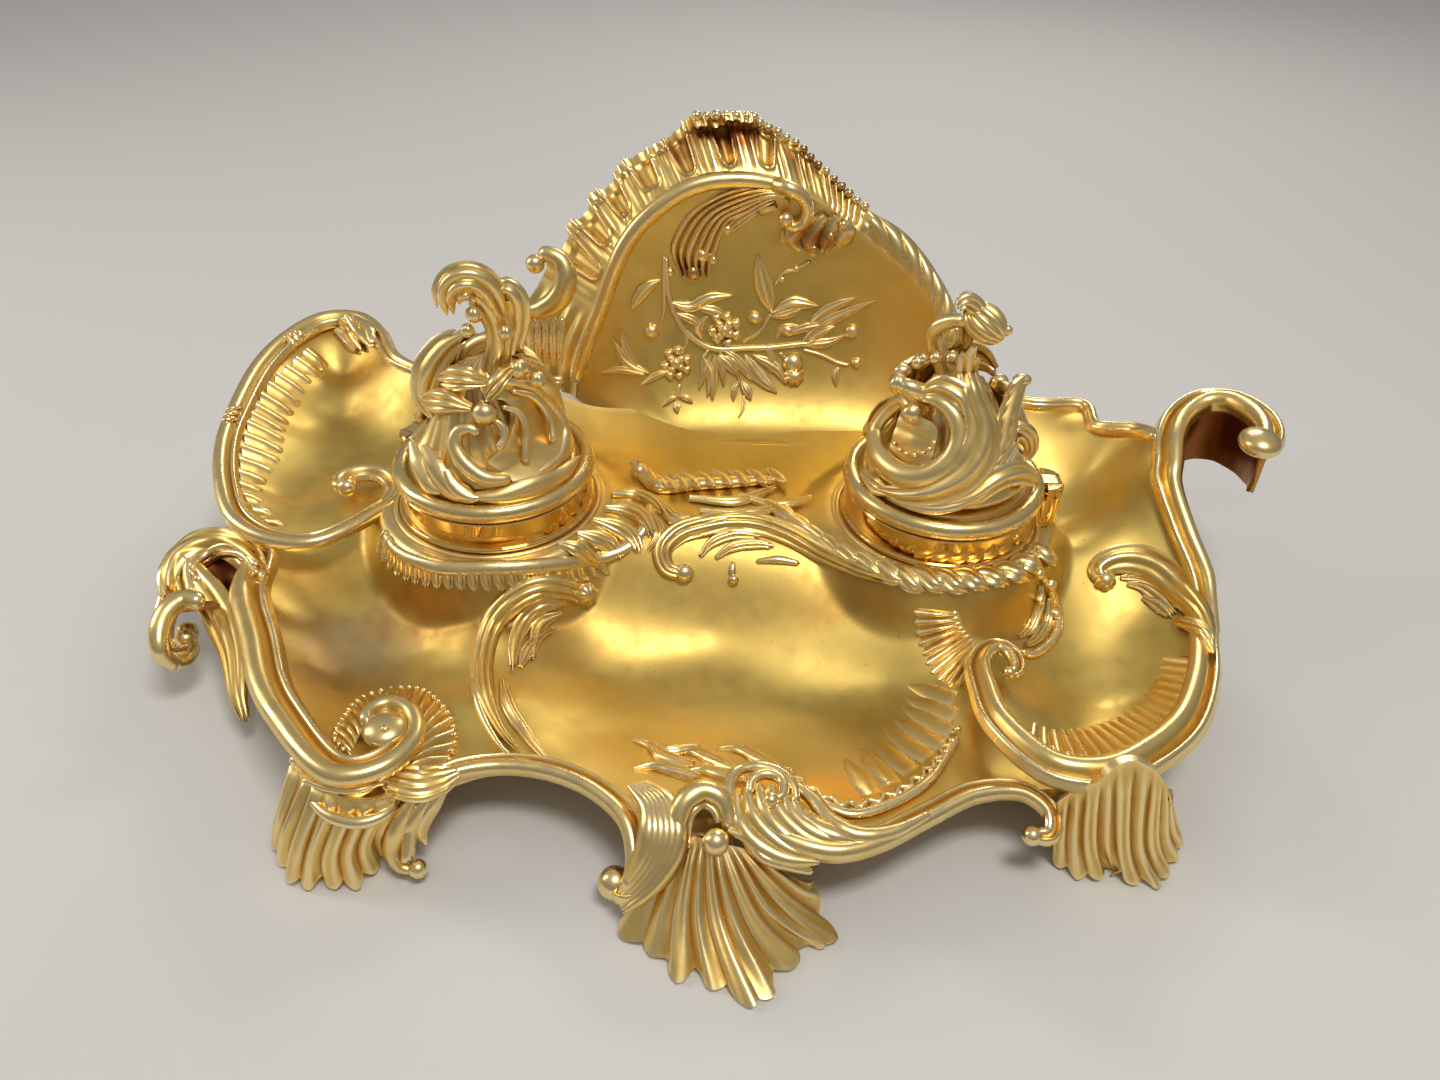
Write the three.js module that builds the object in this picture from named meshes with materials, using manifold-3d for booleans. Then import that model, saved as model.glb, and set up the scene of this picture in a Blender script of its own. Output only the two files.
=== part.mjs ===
// Gilt-bronze desk inkstand with two hinged ink pots on a cast tray with a fluted back shell.
// Millimetres. x runs to the right, y to the back, z up; the inkstand stands on z = 0.
import * as THREE from "three";
import { mergeVertices } from "three/addons/utils/BufferGeometryUtils.js";
import Module from "manifold-3d";

const wasm = await Module();
wasm.setup();

// Driving sizes of the tray casting: the half width and half depth of its plan, the height of its
// borders above the desk, and the wall that the bronze was cast with
const halfWidth = 200;
const halfDepth = 120;
const borderHeight = 50;
const trayWall = 3.6;
const surfaceCell = 15;
const borderWidth = 8;
const borderThickness = 6;
const rimBead = 5;
const sweepStep = 18;

// Driving sizes of the back shell
const shellCentreX = 16;
const shellFootY = 46;
const shellFootZ = 41;
const shellWallY = 80;
const shellWrap = 14;
const shellHalfWidth = 72;
const shellInnerHeight = 128;
const shellFlare = 17;
const shellWall = 3.4;
const gougeDepth = 2.2;
const shellBead = 3.6;
const shellLeaf = 9;
const shellStem = 5;

// Driving sizes of the ink pots and of what holds them
const potSpacing = 148;
const seatHeight = 45;
const seatRadius = 37;
const seatFall = 10;
const bandRadius = 31.5;
const bandHeight = 10.5;
const barrelRadius = 27.5;
const barrelDepth = 26;
const potWall = 1.6;
const nutRadius = 33.5;
const nutHeight = 5;
const linerWall = 2.4;
const linerRise = 8;

// Driving sizes of the lids, hinges and finials
const lidRadius = 33;
const lidHeight = 6.4;
const lidSkirt = 3;
const lidWall = 2;
const hingeReach = 37.4;
const lugRadius = 7;
const tongueWidth = 5;
const tongueRadius = 2.6;
const pinRadius = 1.2;
const leftHingeTurn = THREE.MathUtils.degToRad(150);
const rightHingeTurn = 0;
const finialHeight = 62;
const finialRadius = 27;
const finialTube = 9;

// Driving sizes of the feet and their screws
const footReach = 38;
const smallFootReach = 22;
const footThickness = 4.2;
const footFlute = 1.3;
const footPadWidth = 15;
const footPadHeight = 5.5;
const bossRadius = 6.5;
const bossFloor = 12;
const screwRadius = 2;
const screwHeadRadius = 4;
const screwHeadHeight = 2.2;
const screwEngagement = 5;

// Fits shared by all pieces: the gap between pieces that touch, the running gap of the hinges,
// how far a cut runs past the face that it opens, and how closely facets follow the casting
const seatGap = 0.3;
const hingeGap = 0.35;
const overrun = 5;
const roundSides = 24;
const facetTolerance = 0.2;
const boreSides = 8;

const gilt = new THREE.MeshStandardMaterial({ color: 0xc89b46, roughness: 0.38, metalness: 1 });
const burnished = new THREE.MeshStandardMaterial({ color: 0xd18a1c, roughness: 0.14, metalness: 1 });
const plainBrass = new THREE.MeshStandardMaterial({ color: 0xa98438, roughness: 0.5, metalness: 1 });
const porcelain = new THREE.MeshStandardMaterial({ color: 0xe9e4d6, roughness: 0.25, metalness: 0 });

// A closed geometry as a solid that can be cut and joined
function solidOf(geometry) {
  const bare = geometry.index ? geometry.toNonIndexed() : geometry.clone();
  bare.deleteAttribute("normal");
  bare.deleteAttribute("uv");
  const merged = mergeVertices(bare);
  return new wasm.Manifold(
    new wasm.Mesh({
      numProp: 3,
      vertProperties: merged.attributes.position.array,
      triVerts: new Uint32Array(merged.index.array),
    }),
  );
}

function namedMesh(name, solid, material) {
  const { vertProperties, triVerts } = solid.getMesh();
  const geometry = new THREE.BufferGeometry();
  geometry.setAttribute("position", new THREE.BufferAttribute(vertProperties, 3));
  geometry.setIndex(new THREE.BufferAttribute(triVerts, 1));
  geometry.computeVertexNormals();
  const mesh = new THREE.Mesh(geometry, material);
  mesh.name = name;
  return mesh;
}

const joined = (solids) => solids.reduce((all, solid) => all.add(solid));
const at = (solid, point) => solid.translate([point.x, point.y, point.z]);
const degrees = THREE.MathUtils.radToDeg;

// A turned solid about the z axis, from the radius and height of each profile point
function turned(profile, sides) {
  const points = profile.map(([radius, height]) => new THREE.Vector2(radius, height));
  return solidOf(new THREE.LatheGeometry(points, sides).rotateX(Math.PI / 2));
}

const rod = (radius, low, high, sides) =>
  turned([[0, low], [radius, low], [radius, high], [0, high]], sides);

// A block between two corners
function block(low, high) {
  const size = new THREE.Vector3().subVectors(high, low);
  const centre = new THREE.Vector3().addVectors(low, high).multiplyScalar(1 / 2);
  const box = new THREE.BoxGeometry(size.x, size.y, size.z);
  return solidOf(box.translate(centre.x, centre.y, centre.z));
}

// A closed skin over rows of points; each row is a ring unless the rows are the two faces of a sheet
function skin(rows) {
  const across = rows[0].length;
  const corners = rows.flat();
  const faces = [];
  for (let row = 0; row + 1 < rows.length; row += 1) {
    for (let column = 0; column < across; column += 1) {
      const next = (column + 1) % across;
      const a = row * across + column;
      const b = row * across + next;
      faces.push(a, b + across, b, a, a + across, b + across);
    }
  }
  for (let column = 1; column + 1 < across; column += 1) {
    const last = (rows.length - 1) * across;
    faces.push(0, column, column + 1, last, last + column + 1, last + column);
  }
  return closedSolid(corners, faces);
}

// A sheet with a thickness: top and bottom grids of the same size, joined round their edges
function sheet(top, bottom) {
  const rows = top.length;
  const across = top[0].length;
  const corners = [...top.flat(), ...bottom.flat()];
  const under = rows * across;
  const faces = [];
  for (let row = 0; row + 1 < rows; row += 1) {
    for (let column = 0; column + 1 < across; column += 1) {
      const a = row * across + column;
      const b = a + 1;
      const c = b + across;
      const d = a + across;
      faces.push(a, b, c, a, c, d, under + a, under + c, under + b, under + a, under + d, under + c);
    }
  }
  const edge = [];
  for (let column = 0; column + 1 < across; column += 1) edge.push(column);
  for (let row = 0; row + 1 < rows; row += 1) edge.push(row * across + across - 1);
  for (let column = across - 1; column > 0; column -= 1) edge.push((rows - 1) * across + column);
  for (let row = rows - 1; row > 0; row -= 1) edge.push(row * across);
  edge.forEach((a, index) => {
    const b = edge[(index + 1) % edge.length];
    faces.push(a, under + a, under + b, a, under + b, b);
  });
  return closedSolid(corners, faces);
}

function closedSolid(corners, faces) {
  const geometry = new THREE.BufferGeometry().setFromPoints(corners);
  geometry.setIndex(faces);
  return solidOf(geometry);
}

// A moulding swept along a path, with a width and a height that may change on the way.
// Its section is a half round over a flat back, or a full round for stalks and scrolls.
const mouldingShares = [[-1, -0.6], [1, -0.6], [0.9, 0.35], [0, 0.85], [-0.9, 0.35]];
const stalkSides = 5;
const stalkShares = Array.from({ length: stalkSides }, (_, side) => {
  const turn = (side / stalkSides) * Math.PI * 2;
  return [Math.cos(turn), Math.sin(turn)];
});

function swept(path, width, height, sectionShares, taperShares, step = sweepStep) {
  const steps = Math.max(2, Math.round(path.getLength() / step));
  const rings = [];
  for (let index = 0; index <= steps; index += 1) {
    const along = index / steps;
    const point = path.getPointAt(along);
    const forward = path.getTangentAt(along);
    const level = Math.hypot(forward.x, forward.y) > Math.abs(forward.z) / 3;
    const aside = new THREE.Vector3(forward.y, -forward.x, 0);
    const side = level ? aside.normalize() : new THREE.Vector3(1, 0, 0);
    const up = new THREE.Vector3().crossVectors(side, forward).normalize();
    const across = new THREE.Vector3().crossVectors(forward, up);
    const taper = shareAt(taperShares, along);
    rings.push(
      sectionShares.map(([sideShare, upShare]) =>
        point
          .clone()
          .addScaledVector(across, (sideShare * width * taper) / 2)
          .addScaledVector(up, (upShare * height * taper) / 2),
      ),
    );
  }
  return skin(rings);
}

// The value at a share of the way along an evenly spaced list of shares
function shareAt(shares, along) {
  const place = along * (shares.length - 1);
  const index = Math.min(Math.floor(place), shares.length - 2);
  return THREE.MathUtils.lerp(shares[index], shares[index + 1], place - index);
}

const smoothPath = (points) => new THREE.CatmullRomCurve3(points, false, "centripetal");
const trayPoint = ([x, y, z]) => new THREE.Vector3(x * halfWidth, y * halfDepth, z * borderHeight);

// A volute: a spiral that winds in from its first radius to its eye and rises a little
const voluteSteps = 8;
const eyeShare = 0.16;
function volute(eye, radius, startTurn, turns, rise) {
  return Array.from({ length: voluteSteps }, (_, index) => {
    const along = (index + 1) / voluteSteps;
    const reach = radius * THREE.MathUtils.lerp(1, eyeShare, along);
    const turn = startTurn + turns * along * Math.PI * 2;
    const height = eye.z + rise * along;
    return new THREE.Vector3(eye.x + reach * Math.cos(turn), eye.y + reach * Math.sin(turn), height);
  });
}

// Plan of the tray's edge with the height of its top, as shares of the half width, the half depth
// and the border height: left upper dish, left border, front arches, right border, back edge
const edgeShares = [
  [-0.559, 0.514, 1.12], [-0.632, 0.601, 1.12], [-0.681, 0.747, 1.14], [-0.745, 0.883, 1.14],
  [-0.804, 0.863, 1.14], [-0.848, 0.718, 1.12], [-0.872, 0.553, 1.08], [-0.872, 0.339, 1.02],
  [-0.862, 0.175, 0.96], [-0.823, 0, 0.9], [-0.794, -0.107, 0.78], [-0.764, -0.194, 0.68],
  [-0.73, -0.339, 0.63], [-0.676, -0.514, 0.62], [-0.632, -0.66, 0.62], [-0.564, -0.795, 0.62],
  [-0.491, -0.848, 0.58], [-0.42, -0.87, 0.5], [-0.375, -0.872, 0.45], [-0.31, -0.825, 0.44],
  [-0.22, -0.825, 0.44], [-0.14, -0.875, 0.44], [-0.09, -0.945, 0.46], [0.01, -0.94, 0.5],
  [0.09, -0.93, 0.49], [0.16, -1, 0.45], [0.225, -0.99, 0.44], [0.295, -0.92, 0.44],
  [0.37, -0.845, 0.44], [0.445, -0.835, 0.45], [0.495, -0.847, 0.52], [0.549, -0.815, 0.58],
  [0.617, -0.776, 0.62], [0.686, -0.679, 0.62], [0.735, -0.533, 0.64], [0.774, -0.369, 0.66],
  [0.779, -0.213, 0.76], [0.759, -0.078, 0.92], [0.74, 0.029, 1.12], [0.74, 0.145, 1.28],
  [0.73, 0.262, 1.2], [0.671, 0.349, 1.12], [0.671, 0.456, 1.12], [0.588, 0.456, 1.12],
  [0.53, 0.486, 1.1], [0.45, 0.5, 0.96], [0.28, 0.52, 0.92], [0.08, 0.52, 0.92],
  [-0.12, 0.5, 0.92], [-0.25, 0.48, 0.96], [-0.35, 0.52, 1.06], [-0.459, 0.548, 1.12],
];

// Spot heights inside the edge, in the same shares: back floor, left upper dish, left front dish,
// pen basin, bridge between the pots, right front dish and right side
const spotShares = [
  [0.09, 0.38, 0.81], [-0.2, 0.35, 0.82], [0.35, 0.35, 0.82], [0.55, 0.28, 0.8], [0.67, 0.12, 0.82],
  [-0.5, 0.34, 0.82],
  [-0.73, 0.5, 0.74], [-0.72, 0.22, 0.72], [-0.8, 0.4, 0.8], [-0.76, 0.7, 0.86],
  [-0.63, 0.4, 0.8], [-0.64, 0.1, 0.78], [-0.76, 0.06, 0.74], [-0.7, -0.06, 0.74],
  [-0.58, -0.16, 0.62], [-0.52, -0.26, 0.52], [-0.65, -0.3, 0.48], [-0.6, -0.5, 0.4],
  [-0.49, -0.58, 0.38], [-0.45, -0.42, 0.42], [-0.46, -0.74, 0.44], [-0.7, -0.24, 0.56],
  [-0.37, -0.4, 0.58], [-0.33, -0.64, 0.5],
  [0, -0.45, 0.26], [-0.19, -0.44, 0.3], [0.18, -0.46, 0.28], [0, -0.68, 0.3],
  [0, -0.3, 0.4], [0.19, -0.72, 0.34], [-0.17, -0.66, 0.34], [0.28, -0.46, 0.36],
  [-0.24, -0.26, 0.5], [0.02, -0.83, 0.44],
  [0, 0.02, 0.86], [-0.15, 0.03, 0.87], [0.17, 0.01, 0.87], [-0.12, -0.15, 0.82], [0.02, -0.16, 0.8],
  [0.14, -0.15, 0.82],
  [0.35, -0.4, 0.56], [0.43, -0.26, 0.64], [0.44, -0.56, 0.5], [0.6, -0.5, 0.3],
  [0.54, -0.66, 0.36], [0.68, -0.48, 0.4], [0.6, -0.33, 0.38], [0.65, -0.66, 0.48],
  [0.5, -0.42, 0.42], [0.7, -0.24, 0.54],
  [0.6, -0.06, 0.72], [0.7, -0.08, 0.78], [0.66, 0.24, 0.88],
];

const potCentres = {
  left: new THREE.Vector3(-potSpacing / 2, 0, 0),
  right: new THREE.Vector3(potSpacing / 2, 0, 0),
};

// The tray's surface is the thin-plate surface through the edge and the spot heights.
// bend is its kernel, and the weights come from one linear system.
const bend = (squared) => (squared > 0 ? squared * Math.log(squared) : 0);

function solveLinear(matrix, values) {
  const size = values.length;
  const rows = matrix.map((row, index) => [...row, values[index]]);
  for (let column = 0; column < size; column += 1) {
    let best = column;
    for (let row = column + 1; row < size; row += 1) {
      if (Math.abs(rows[row][column]) > Math.abs(rows[best][column])) best = row;
    }
    [rows[column], rows[best]] = [rows[best], rows[column]];
    for (let row = column + 1; row < size; row += 1) {
      const factor = rows[row][column] / rows[column][column];
      for (let entry = column; entry <= size; entry += 1) {
        rows[row][entry] -= factor * rows[column][entry];
      }
    }
  }
  const solution = new Array(size).fill(0);
  for (let row = size - 1; row >= 0; row -= 1) {
    let sum = rows[row][size];
    for (let entry = row + 1; entry < size; entry += 1) sum -= rows[row][entry] * solution[entry];
    solution[row] = sum / rows[row][row];
  }
  return solution;
}

function thinPlate(spots) {
  const matrix = spots.map(([x, y]) => [
    ...spots.map(([u, v]) => bend((x - u) ** 2 + (y - v) ** 2)), 1, x, y,
  ]);
  const edges = [() => 1, ([x]) => x, ([, y]) => y];
  edges.forEach((term) => matrix.push([...spots.map(term), 0, 0, 0]));
  const weights = solveLinear(matrix, [...spots.map(([, , z]) => z), 0, 0, 0]);
  const [level, slopeX, slopeY] = weights.slice(-edges.length);
  return (x, y) =>
    spots.reduce(
      (sum, [u, v], index) => sum + weights[index] * bend((x - u) ** 2 + (y - v) ** 2),
      level + slopeX * x + slopeY * y,
    );
}

const plateShare = thinPlate([...edgeShares, ...spotShares]);

// Height of the tray's upper surface, with the two round platforms blended in
function trayTop(x, y) {
  const open = plateShare(x / halfWidth, y / halfDepth) * borderHeight;
  return Object.values(potCentres).reduce((height, centre) => {
    const away = Math.hypot(x - centre.x, y - centre.y);
    const fade = THREE.MathUtils.smoothstep(away, seatRadius, seatRadius + seatFall);
    return THREE.MathUtils.lerp(seatHeight, height, fade);
  }, open);
}

// The dished sheet of the tray, cut to its plan
function trayDish() {
  const acrossCells = Math.ceil((2 * halfWidth) / surfaceCell);
  const deepCells = Math.ceil((2 * halfDepth) / surfaceCell);
  const grid = (drop) =>
    Array.from({ length: deepCells + 1 }, (_, row) =>
      Array.from({ length: acrossCells + 1 }, (_, column) => {
        const x = (column / acrossCells) * 2 * halfWidth - halfWidth;
        const y = (row / deepCells) * 2 * halfDepth - halfDepth;
        return new THREE.Vector3(x, y, trayTop(x, y) - drop);
      }),
    );
  const plan = new THREE.Shape(
    edgeShares.map(([x, y]) => new THREE.Vector2(x * halfWidth, y * halfDepth)),
  );
  const prism = new THREE.ExtrudeGeometry(plan, { depth: 2 * borderHeight, bevelEnabled: false });
  return sheet(grid(0), grid(trayWall)).intersect(solidOf(prism));
}

// The borders and scrolls of the tray, in the same shares as its edge. Each is one moulding
// that ends in a volute or dies away where its taper says.
const borderTable = {
  upperDish: {
    shares: [
      [-0.559, 0.514, 1.13], [-0.632, 0.601, 1.14], [-0.681, 0.747, 1.16], [-0.745, 0.883, 1.17],
      [-0.804, 0.863, 1.17], [-0.848, 0.718, 1.14], [-0.872, 0.553, 1.1], [-0.872, 0.339, 1.04],
      [-0.862, 0.175, 0.99], [-0.828, 0, 0.93], [-0.779, -0.136, 0.88], [-0.711, -0.204, 0.86],
      [-0.642, -0.204, 0.86],
    ],
    eyeShares: [-0.617, 0.029, 0.86],
    radius: 15,
    startTurn: -0.9,
    turns: 1.05,
    taperShares: [0.6, 1, 1.1, 1, 0.9, 0.8, 0.6],
  },
  leftBorder: {
    shares: [
      [-0.843, -0.31, 0.54], [-0.867, -0.213, 0.62], [-0.843, -0.116, 0.66], [-0.794, -0.107, 0.67],
      [-0.75, -0.175, 0.66], [-0.73, -0.339, 0.65], [-0.676, -0.514, 0.64], [-0.632, -0.66, 0.64],
      [-0.564, -0.805, 0.64], [-0.495, -0.886, 0.64],
    ],
    eyeShares: [-0.459, -0.758, 0.64],
    radius: 14,
    startTurn: -1.6,
    turns: 1.15,
    taperShares: [0.5, 0.9, 1.1, 1.1, 1, 0.9, 0.55],
  },
  rightBorder: {
    shares: [
      [0.784, -0.272, 0.7], [0.764, -0.388, 0.67], [0.735, -0.533, 0.66], [0.686, -0.679, 0.64],
      [0.617, -0.786, 0.64], [0.539, -0.854, 0.64], [0.468, -0.84, 0.64], [0.41, -0.75, 0.64],
      [0.385, -0.64, 0.64], [0.405, -0.51, 0.64],
    ],
    eyeShares: [0.459, -0.459, 0.64],
    radius: 11,
    startTurn: 2.6,
    turns: -1.1,
    taperShares: [0.9, 1, 1.1, 1.1, 1, 0.8, 0.55],
  },
  rightCrook: {
    shares: [
      [0.784, -0.272, 0.72], [0.784, -0.194, 0.8], [0.764, -0.078, 0.96], [0.745, 0.029, 1.16],
      [0.745, 0.136, 1.32], [0.769, 0.242, 1.4],
    ],
    eyeShares: [0.848, 0.145, 1.42],
    radius: 19,
    startTurn: 2,
    turns: -0.95,
    taperShares: [1, 1.1, 1.2, 1.2, 1.1, 0.9, 0.6],
  },
  frontLeftArch: {
    shares: [
      [-0.41, -1.005, 0.14], [-0.405, -0.947, 0.3], [-0.39, -0.895, 0.42], [-0.355, -0.845, 0.46],
      [-0.29, -0.815, 0.46], [-0.22, -0.825, 0.46], [-0.15, -0.875, 0.45], [-0.1, -0.955, 0.42],
      [-0.09, -1.055, 0.32], [-0.11, -1.105, 0.2],
    ],
    taperShares: [0.7, 0.9, 1, 1, 1, 1, 1.1],
  },
  frontRightArch: {
    shares: [
      [0.06, -0.95, 0.5], [0.11, -1, 0.48], [0.17, -1.02, 0.46], [0.225, -0.99, 0.45],
      [0.295, -0.92, 0.45], [0.37, -0.85, 0.46], [0.44, -0.84, 0.45], [0.468, -0.89, 0.38],
      [0.464, -0.94, 0.32],
    ],
    taperShares: [0.9, 1.2, 1.1, 1, 1, 0.9, 0.7],
  },
  backLeftEdge: {
    shares: [[-0.559, 0.514, 1.13], [-0.459, 0.548, 1.13], [-0.36, 0.53, 1.08], [-0.3, 0.54, 1.06]],
    taperShares: [0.7, 0.7],
  },
  backRightEdge: {
    shares: [
      [0.74, 0.145, 1.34], [0.73, 0.262, 1.22], [0.676, 0.339, 1.13], [0.671, 0.456, 1.13],
      [0.588, 0.456, 1.13], [0.53, 0.486, 1.11], [0.468, 0.507, 1.02],
    ],
    taperShares: [0.8, 0.7, 0.7, 0.7],
  },
  leftBracket: {
    shares: [
      [-0.72, -0.3, 0.66], [-0.77, -0.19, 0.66], [-0.83, -0.13, 0.64], [-0.868, -0.155, 0.61],
      [-0.882, -0.24, 0.55], [-0.885, -0.325, 0.47], [-0.878, -0.4, 0.39], [-0.855, -0.43, 0.32],
      [-0.842, -0.385, 0.28], [-0.855, -0.334, 0.3],
    ],
    taperShares: [0.8, 1.3, 1.3, 1.1, 1, 0.8, 0.6],
  },
  leftLeaf: {
    shares: [[-0.81, -0.15, 0.6], [-0.77, -0.28, 0.54], [-0.745, -0.4, 0.46], [-0.71, -0.53, 0.3]],
    taperShares: [0.6, 1.4, 1.3, 0.7],
  },
};

function borderSolid({ shares, eyeShares, radius, startTurn, turns, taperShares }) {
  const points = shares.map(trayPoint);
  if (eyeShares) points.push(...volute(trayPoint(eyeShares), radius, startTurn, turns, rimBead / 2));
  return swept(smoothPath(points), borderWidth, borderThickness, mouldingShares, taperShares);
}

// Leaves and scrolls that lie on the tray's surface. The third number of each place is how far
// its path stands above the surface, as a share of the thickness of the borders.
const reliefTable = {
  basinScroll: {
    shares: [
      [-0.21, -0.262, 0.3], [-0.238, -0.278, 0.3], [-0.278, -0.31, 0.2], [-0.32, -0.347, 0.2],
      [-0.345, -0.399, 0.2], [-0.349, -0.496, 0.2], [-0.331, -0.629, 0.2], [-0.301, -0.72, 0.2],
      [-0.264, -0.795, 0.2],
    ],
    widthShare: 1.4,
    taperShares: [0.6, 0.9, 1, 1, 1, 0.8, 0.5],
  },
  bridgeLeaf: {
    shares: [
      [-0.047, -0.206, 0.2], [-0.063, -0.167, 0.2], [-0.044, -0.125, 0.2], [-0.002, -0.096, 0.2],
      [0.055, -0.094, 0.2], [0.117, -0.124, 0.2], [0.173, -0.17, 0.2], [0.23, -0.248, 0.2],
      [0.294, -0.308, 0.2],
    ],
    widthShare: 1.2,
    taperShares: [0.6, 0.8, 1, 1.1, 1.1, 1, 0.8, 0.6],
  },
  platformRuffle: {
    shares: [
      [-0.535, -0.18, 0.1], [-0.512, -0.233, 0.1], [-0.489, -0.266, 0.1], [-0.447, -0.302, 0.1],
      [-0.413, -0.318, 0.1], [-0.36, -0.324, 0.1], [-0.304, -0.307, 0.1], [-0.246, -0.26, 0.1],
      [-0.188, -0.189, 0.1], [-0.144, -0.156, 0.1], [-0.118, -0.108, 0.1],
    ],
    widthShare: 0.8,
    taperShares: [0.6, 0.8, 0.8, 0.8, 0.8, 1, 1.1, 0.8],
  },
  topLeaf: {
    shares: [
      [0.631, -0.137, 0.3], [0.678, -0.095, 0.3], [0.719, -0.121, 0.3], [0.751, -0.178, 0.3],
      [0.772, -0.265, 0.3], [0.776, -0.353, 0.3],
    ],
    widthShare: 1.2,
    taperShares: [0.6, 1.1, 1.2, 1.1, 1, 0.8],
  },
};

function reliefSolid({ shares, widthShare, taperShares }) {
  const points = shares.map(([x, y, proudShare]) => {
    const [plainX, plainY] = [x * halfWidth, y * halfDepth];
    return new THREE.Vector3(plainX, plainY, trayTop(plainX, plainY) + proudShare * borderThickness);
  });
  return swept(smoothPath(points), borderWidth * widthShare, borderThickness, mouldingShares, taperShares);
}

// The wall that hangs below the curled end of the right border
const crookWallHeight = 15;
function crookWall() {
  const { shares, eyeShares, radius, startTurn } = borderTable.rightCrook;
  const curl = volute(trayPoint(eyeShares), radius, startTurn, -0.75, 0);
  const path = smoothPath([...shares.slice(-2).map(trayPoint), ...curl]);
  const drop = new THREE.Vector3(0, 0, -crookWallHeight / 2);
  const lowered = smoothPath(path.getPoints(voluteSteps).map((point) => point.add(drop)));
  const squareShares = [[-1, -1], [1, -1], [1, 1], [-1, 1]];
  return swept(lowered, trayWall, crookWallHeight, squareShares, [1, 0.7]);
}

// The back shell: stations round its arch from the left foot to the right. Each gives the inner
// rim and the outer edge as shares of the half width of the dish and of its height.
const shellStations = [
  { innerShares: [-1, 0.36], outerShares: [-1.39, 0.39] },
  { innerShares: [-0.97, 0.485], outerShares: [-1.35, 0.515] },
  { innerShares: [-0.85, 0.655], outerShares: [-1.14, 0.7] },
  { innerShares: [-0.76, 0.79], outerShares: [-0.96, 0.86] },
  { innerShares: [-0.64, 0.89], outerShares: [-0.79, 0.975] },
  { innerShares: [-0.43, 0.975], outerShares: [-0.57, 1.08] },
  { innerShares: [-0.22, 1], outerShares: [-0.33, 1.155] },
  { innerShares: [0, 0.99], outerShares: [-0.11, 1.165] },
  { innerShares: [0.21, 0.95], outerShares: [0.14, 1.055] },
  { innerShares: [0.4, 0.885], outerShares: [0.42, 0.93] },
  { innerShares: [0.61, 0.805], outerShares: [0.67, 0.845] },
  { innerShares: [0.79, 0.71], outerShares: [0.86, 0.735] },
  { innerShares: [0.9, 0.6], outerShares: [0.99, 0.61] },
  { innerShares: [0.97, 0.485], outerShares: [1.06, 0.485] },
  { innerShares: [1, 0.36], outerShares: [1.08, 0.36] },
];
const dishRingShares = [0, 0.22, 0.42, 0.62, 0.82, 1];
const flareRingShares = [0.3, 0.65, 1];
const footSpreadShare = 0.4;

// The columns of the shell from its left foot to its right: the share of the way round, the reach
// past the drawn edge, then how far the border is hollowed at each ring of the flare. Seven gouges
// lie between ridges, the crest folds forward at its edge, and the right side is a rope roll.
const shellColumnShares = [
  [0, 1, 0, 0, 0], [0.06, 1, 0, 0, 0], [0.12, 1.02, -0.2, -0.3, -0.3], [0.15, 1.08, -0.3, -0.4, -0.4],
  [0.164, 1.1, 0.5, 1, 0.6], [0.182, 1.1, 0.5, 1, 0.6], [0.195, 1.13, -0.4, -0.4, -0.4],
  [0.208, 1.1, 0.5, 1, 0.8], [0.226, 1.1, 0.5, 1, 0.8], [0.244, 1.12, -0.4, -0.4, -0.4],
  [0.26, 1.08, 0.5, 1, 0.8], [0.28, 1.06, 0.5, 1, 0.8], [0.296, 1.08, -0.4, -0.4, -0.4],
  [0.31, 1.12, 0.5, 1, 0.8], [0.33, 1, 0.5, 1, 0.8], [0.347, 0.92, -0.4, -0.4, -0.4],
  [0.362, 0.96, 0.5, 1, 0.6], [0.384, 1, 0.5, 1, 0.4], [0.404, 1, -0.4, -0.4, -1],
  [0.424, 1, 0.4, 1, -1], [0.448, 1, 0.4, 1, -1], [0.47, 1, -0.4, -0.4, -1], [0.492, 1, 0.5, 1, -1],
  [0.508, 0.8, 0.5, 1, 0.6], [0.53, 0.86, -0.4, -0.3, -0.3], [0.57, 0.98, -0.2, -0.3, 0],
  [0.62, 1.1, -0.6, -0.7, 0], [0.69, 1.2, -0.9, -1, 0], [0.76, 1.2, -0.9, -1, 0], [0.83, 1.2, -0.9, -1, 0],
  [0.9, 1.1, -0.9, -1, 0], [1, 1, -0.5, -0.5, 0],
];

function shellWallAt(x) {
  return shellWallY - shellWrap * ((x - shellCentreX) / shellHalfWidth) ** 2;
}

function shellRim(share, key) {
  const place = share * (shellStations.length - 1);
  const index = Math.min(Math.floor(place), shellStations.length - 2);
  const [from, to] = [shellStations[index][key], shellStations[index + 1][key]];
  const x = THREE.MathUtils.lerp(from[0], to[0], place - index) * shellHalfWidth + shellCentreX;
  const z = THREE.MathUtils.lerp(from[1], to[1], place - index) * shellInnerHeight;
  return new THREE.Vector3(x, shellWallAt(x), z);
}

// A point of the shell's dish, which rises from the floor to the inner rim in quarter ellipses
function shellDish(share, ringShare) {
  const rim = shellRim(share, "innerShares");
  const spread = shellCentreX + (rim.x - shellCentreX) * footSpreadShare;
  const turn = (ringShare * Math.PI) / 2;
  return new THREE.Vector3(
    THREE.MathUtils.lerp(spread, rim.x, Math.sin(turn)),
    THREE.MathUtils.lerp(shellFootY, rim.y, Math.sin(turn)),
    THREE.MathUtils.lerp(shellFootZ, rim.z, 1 - Math.cos(turn)),
  );
}

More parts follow.
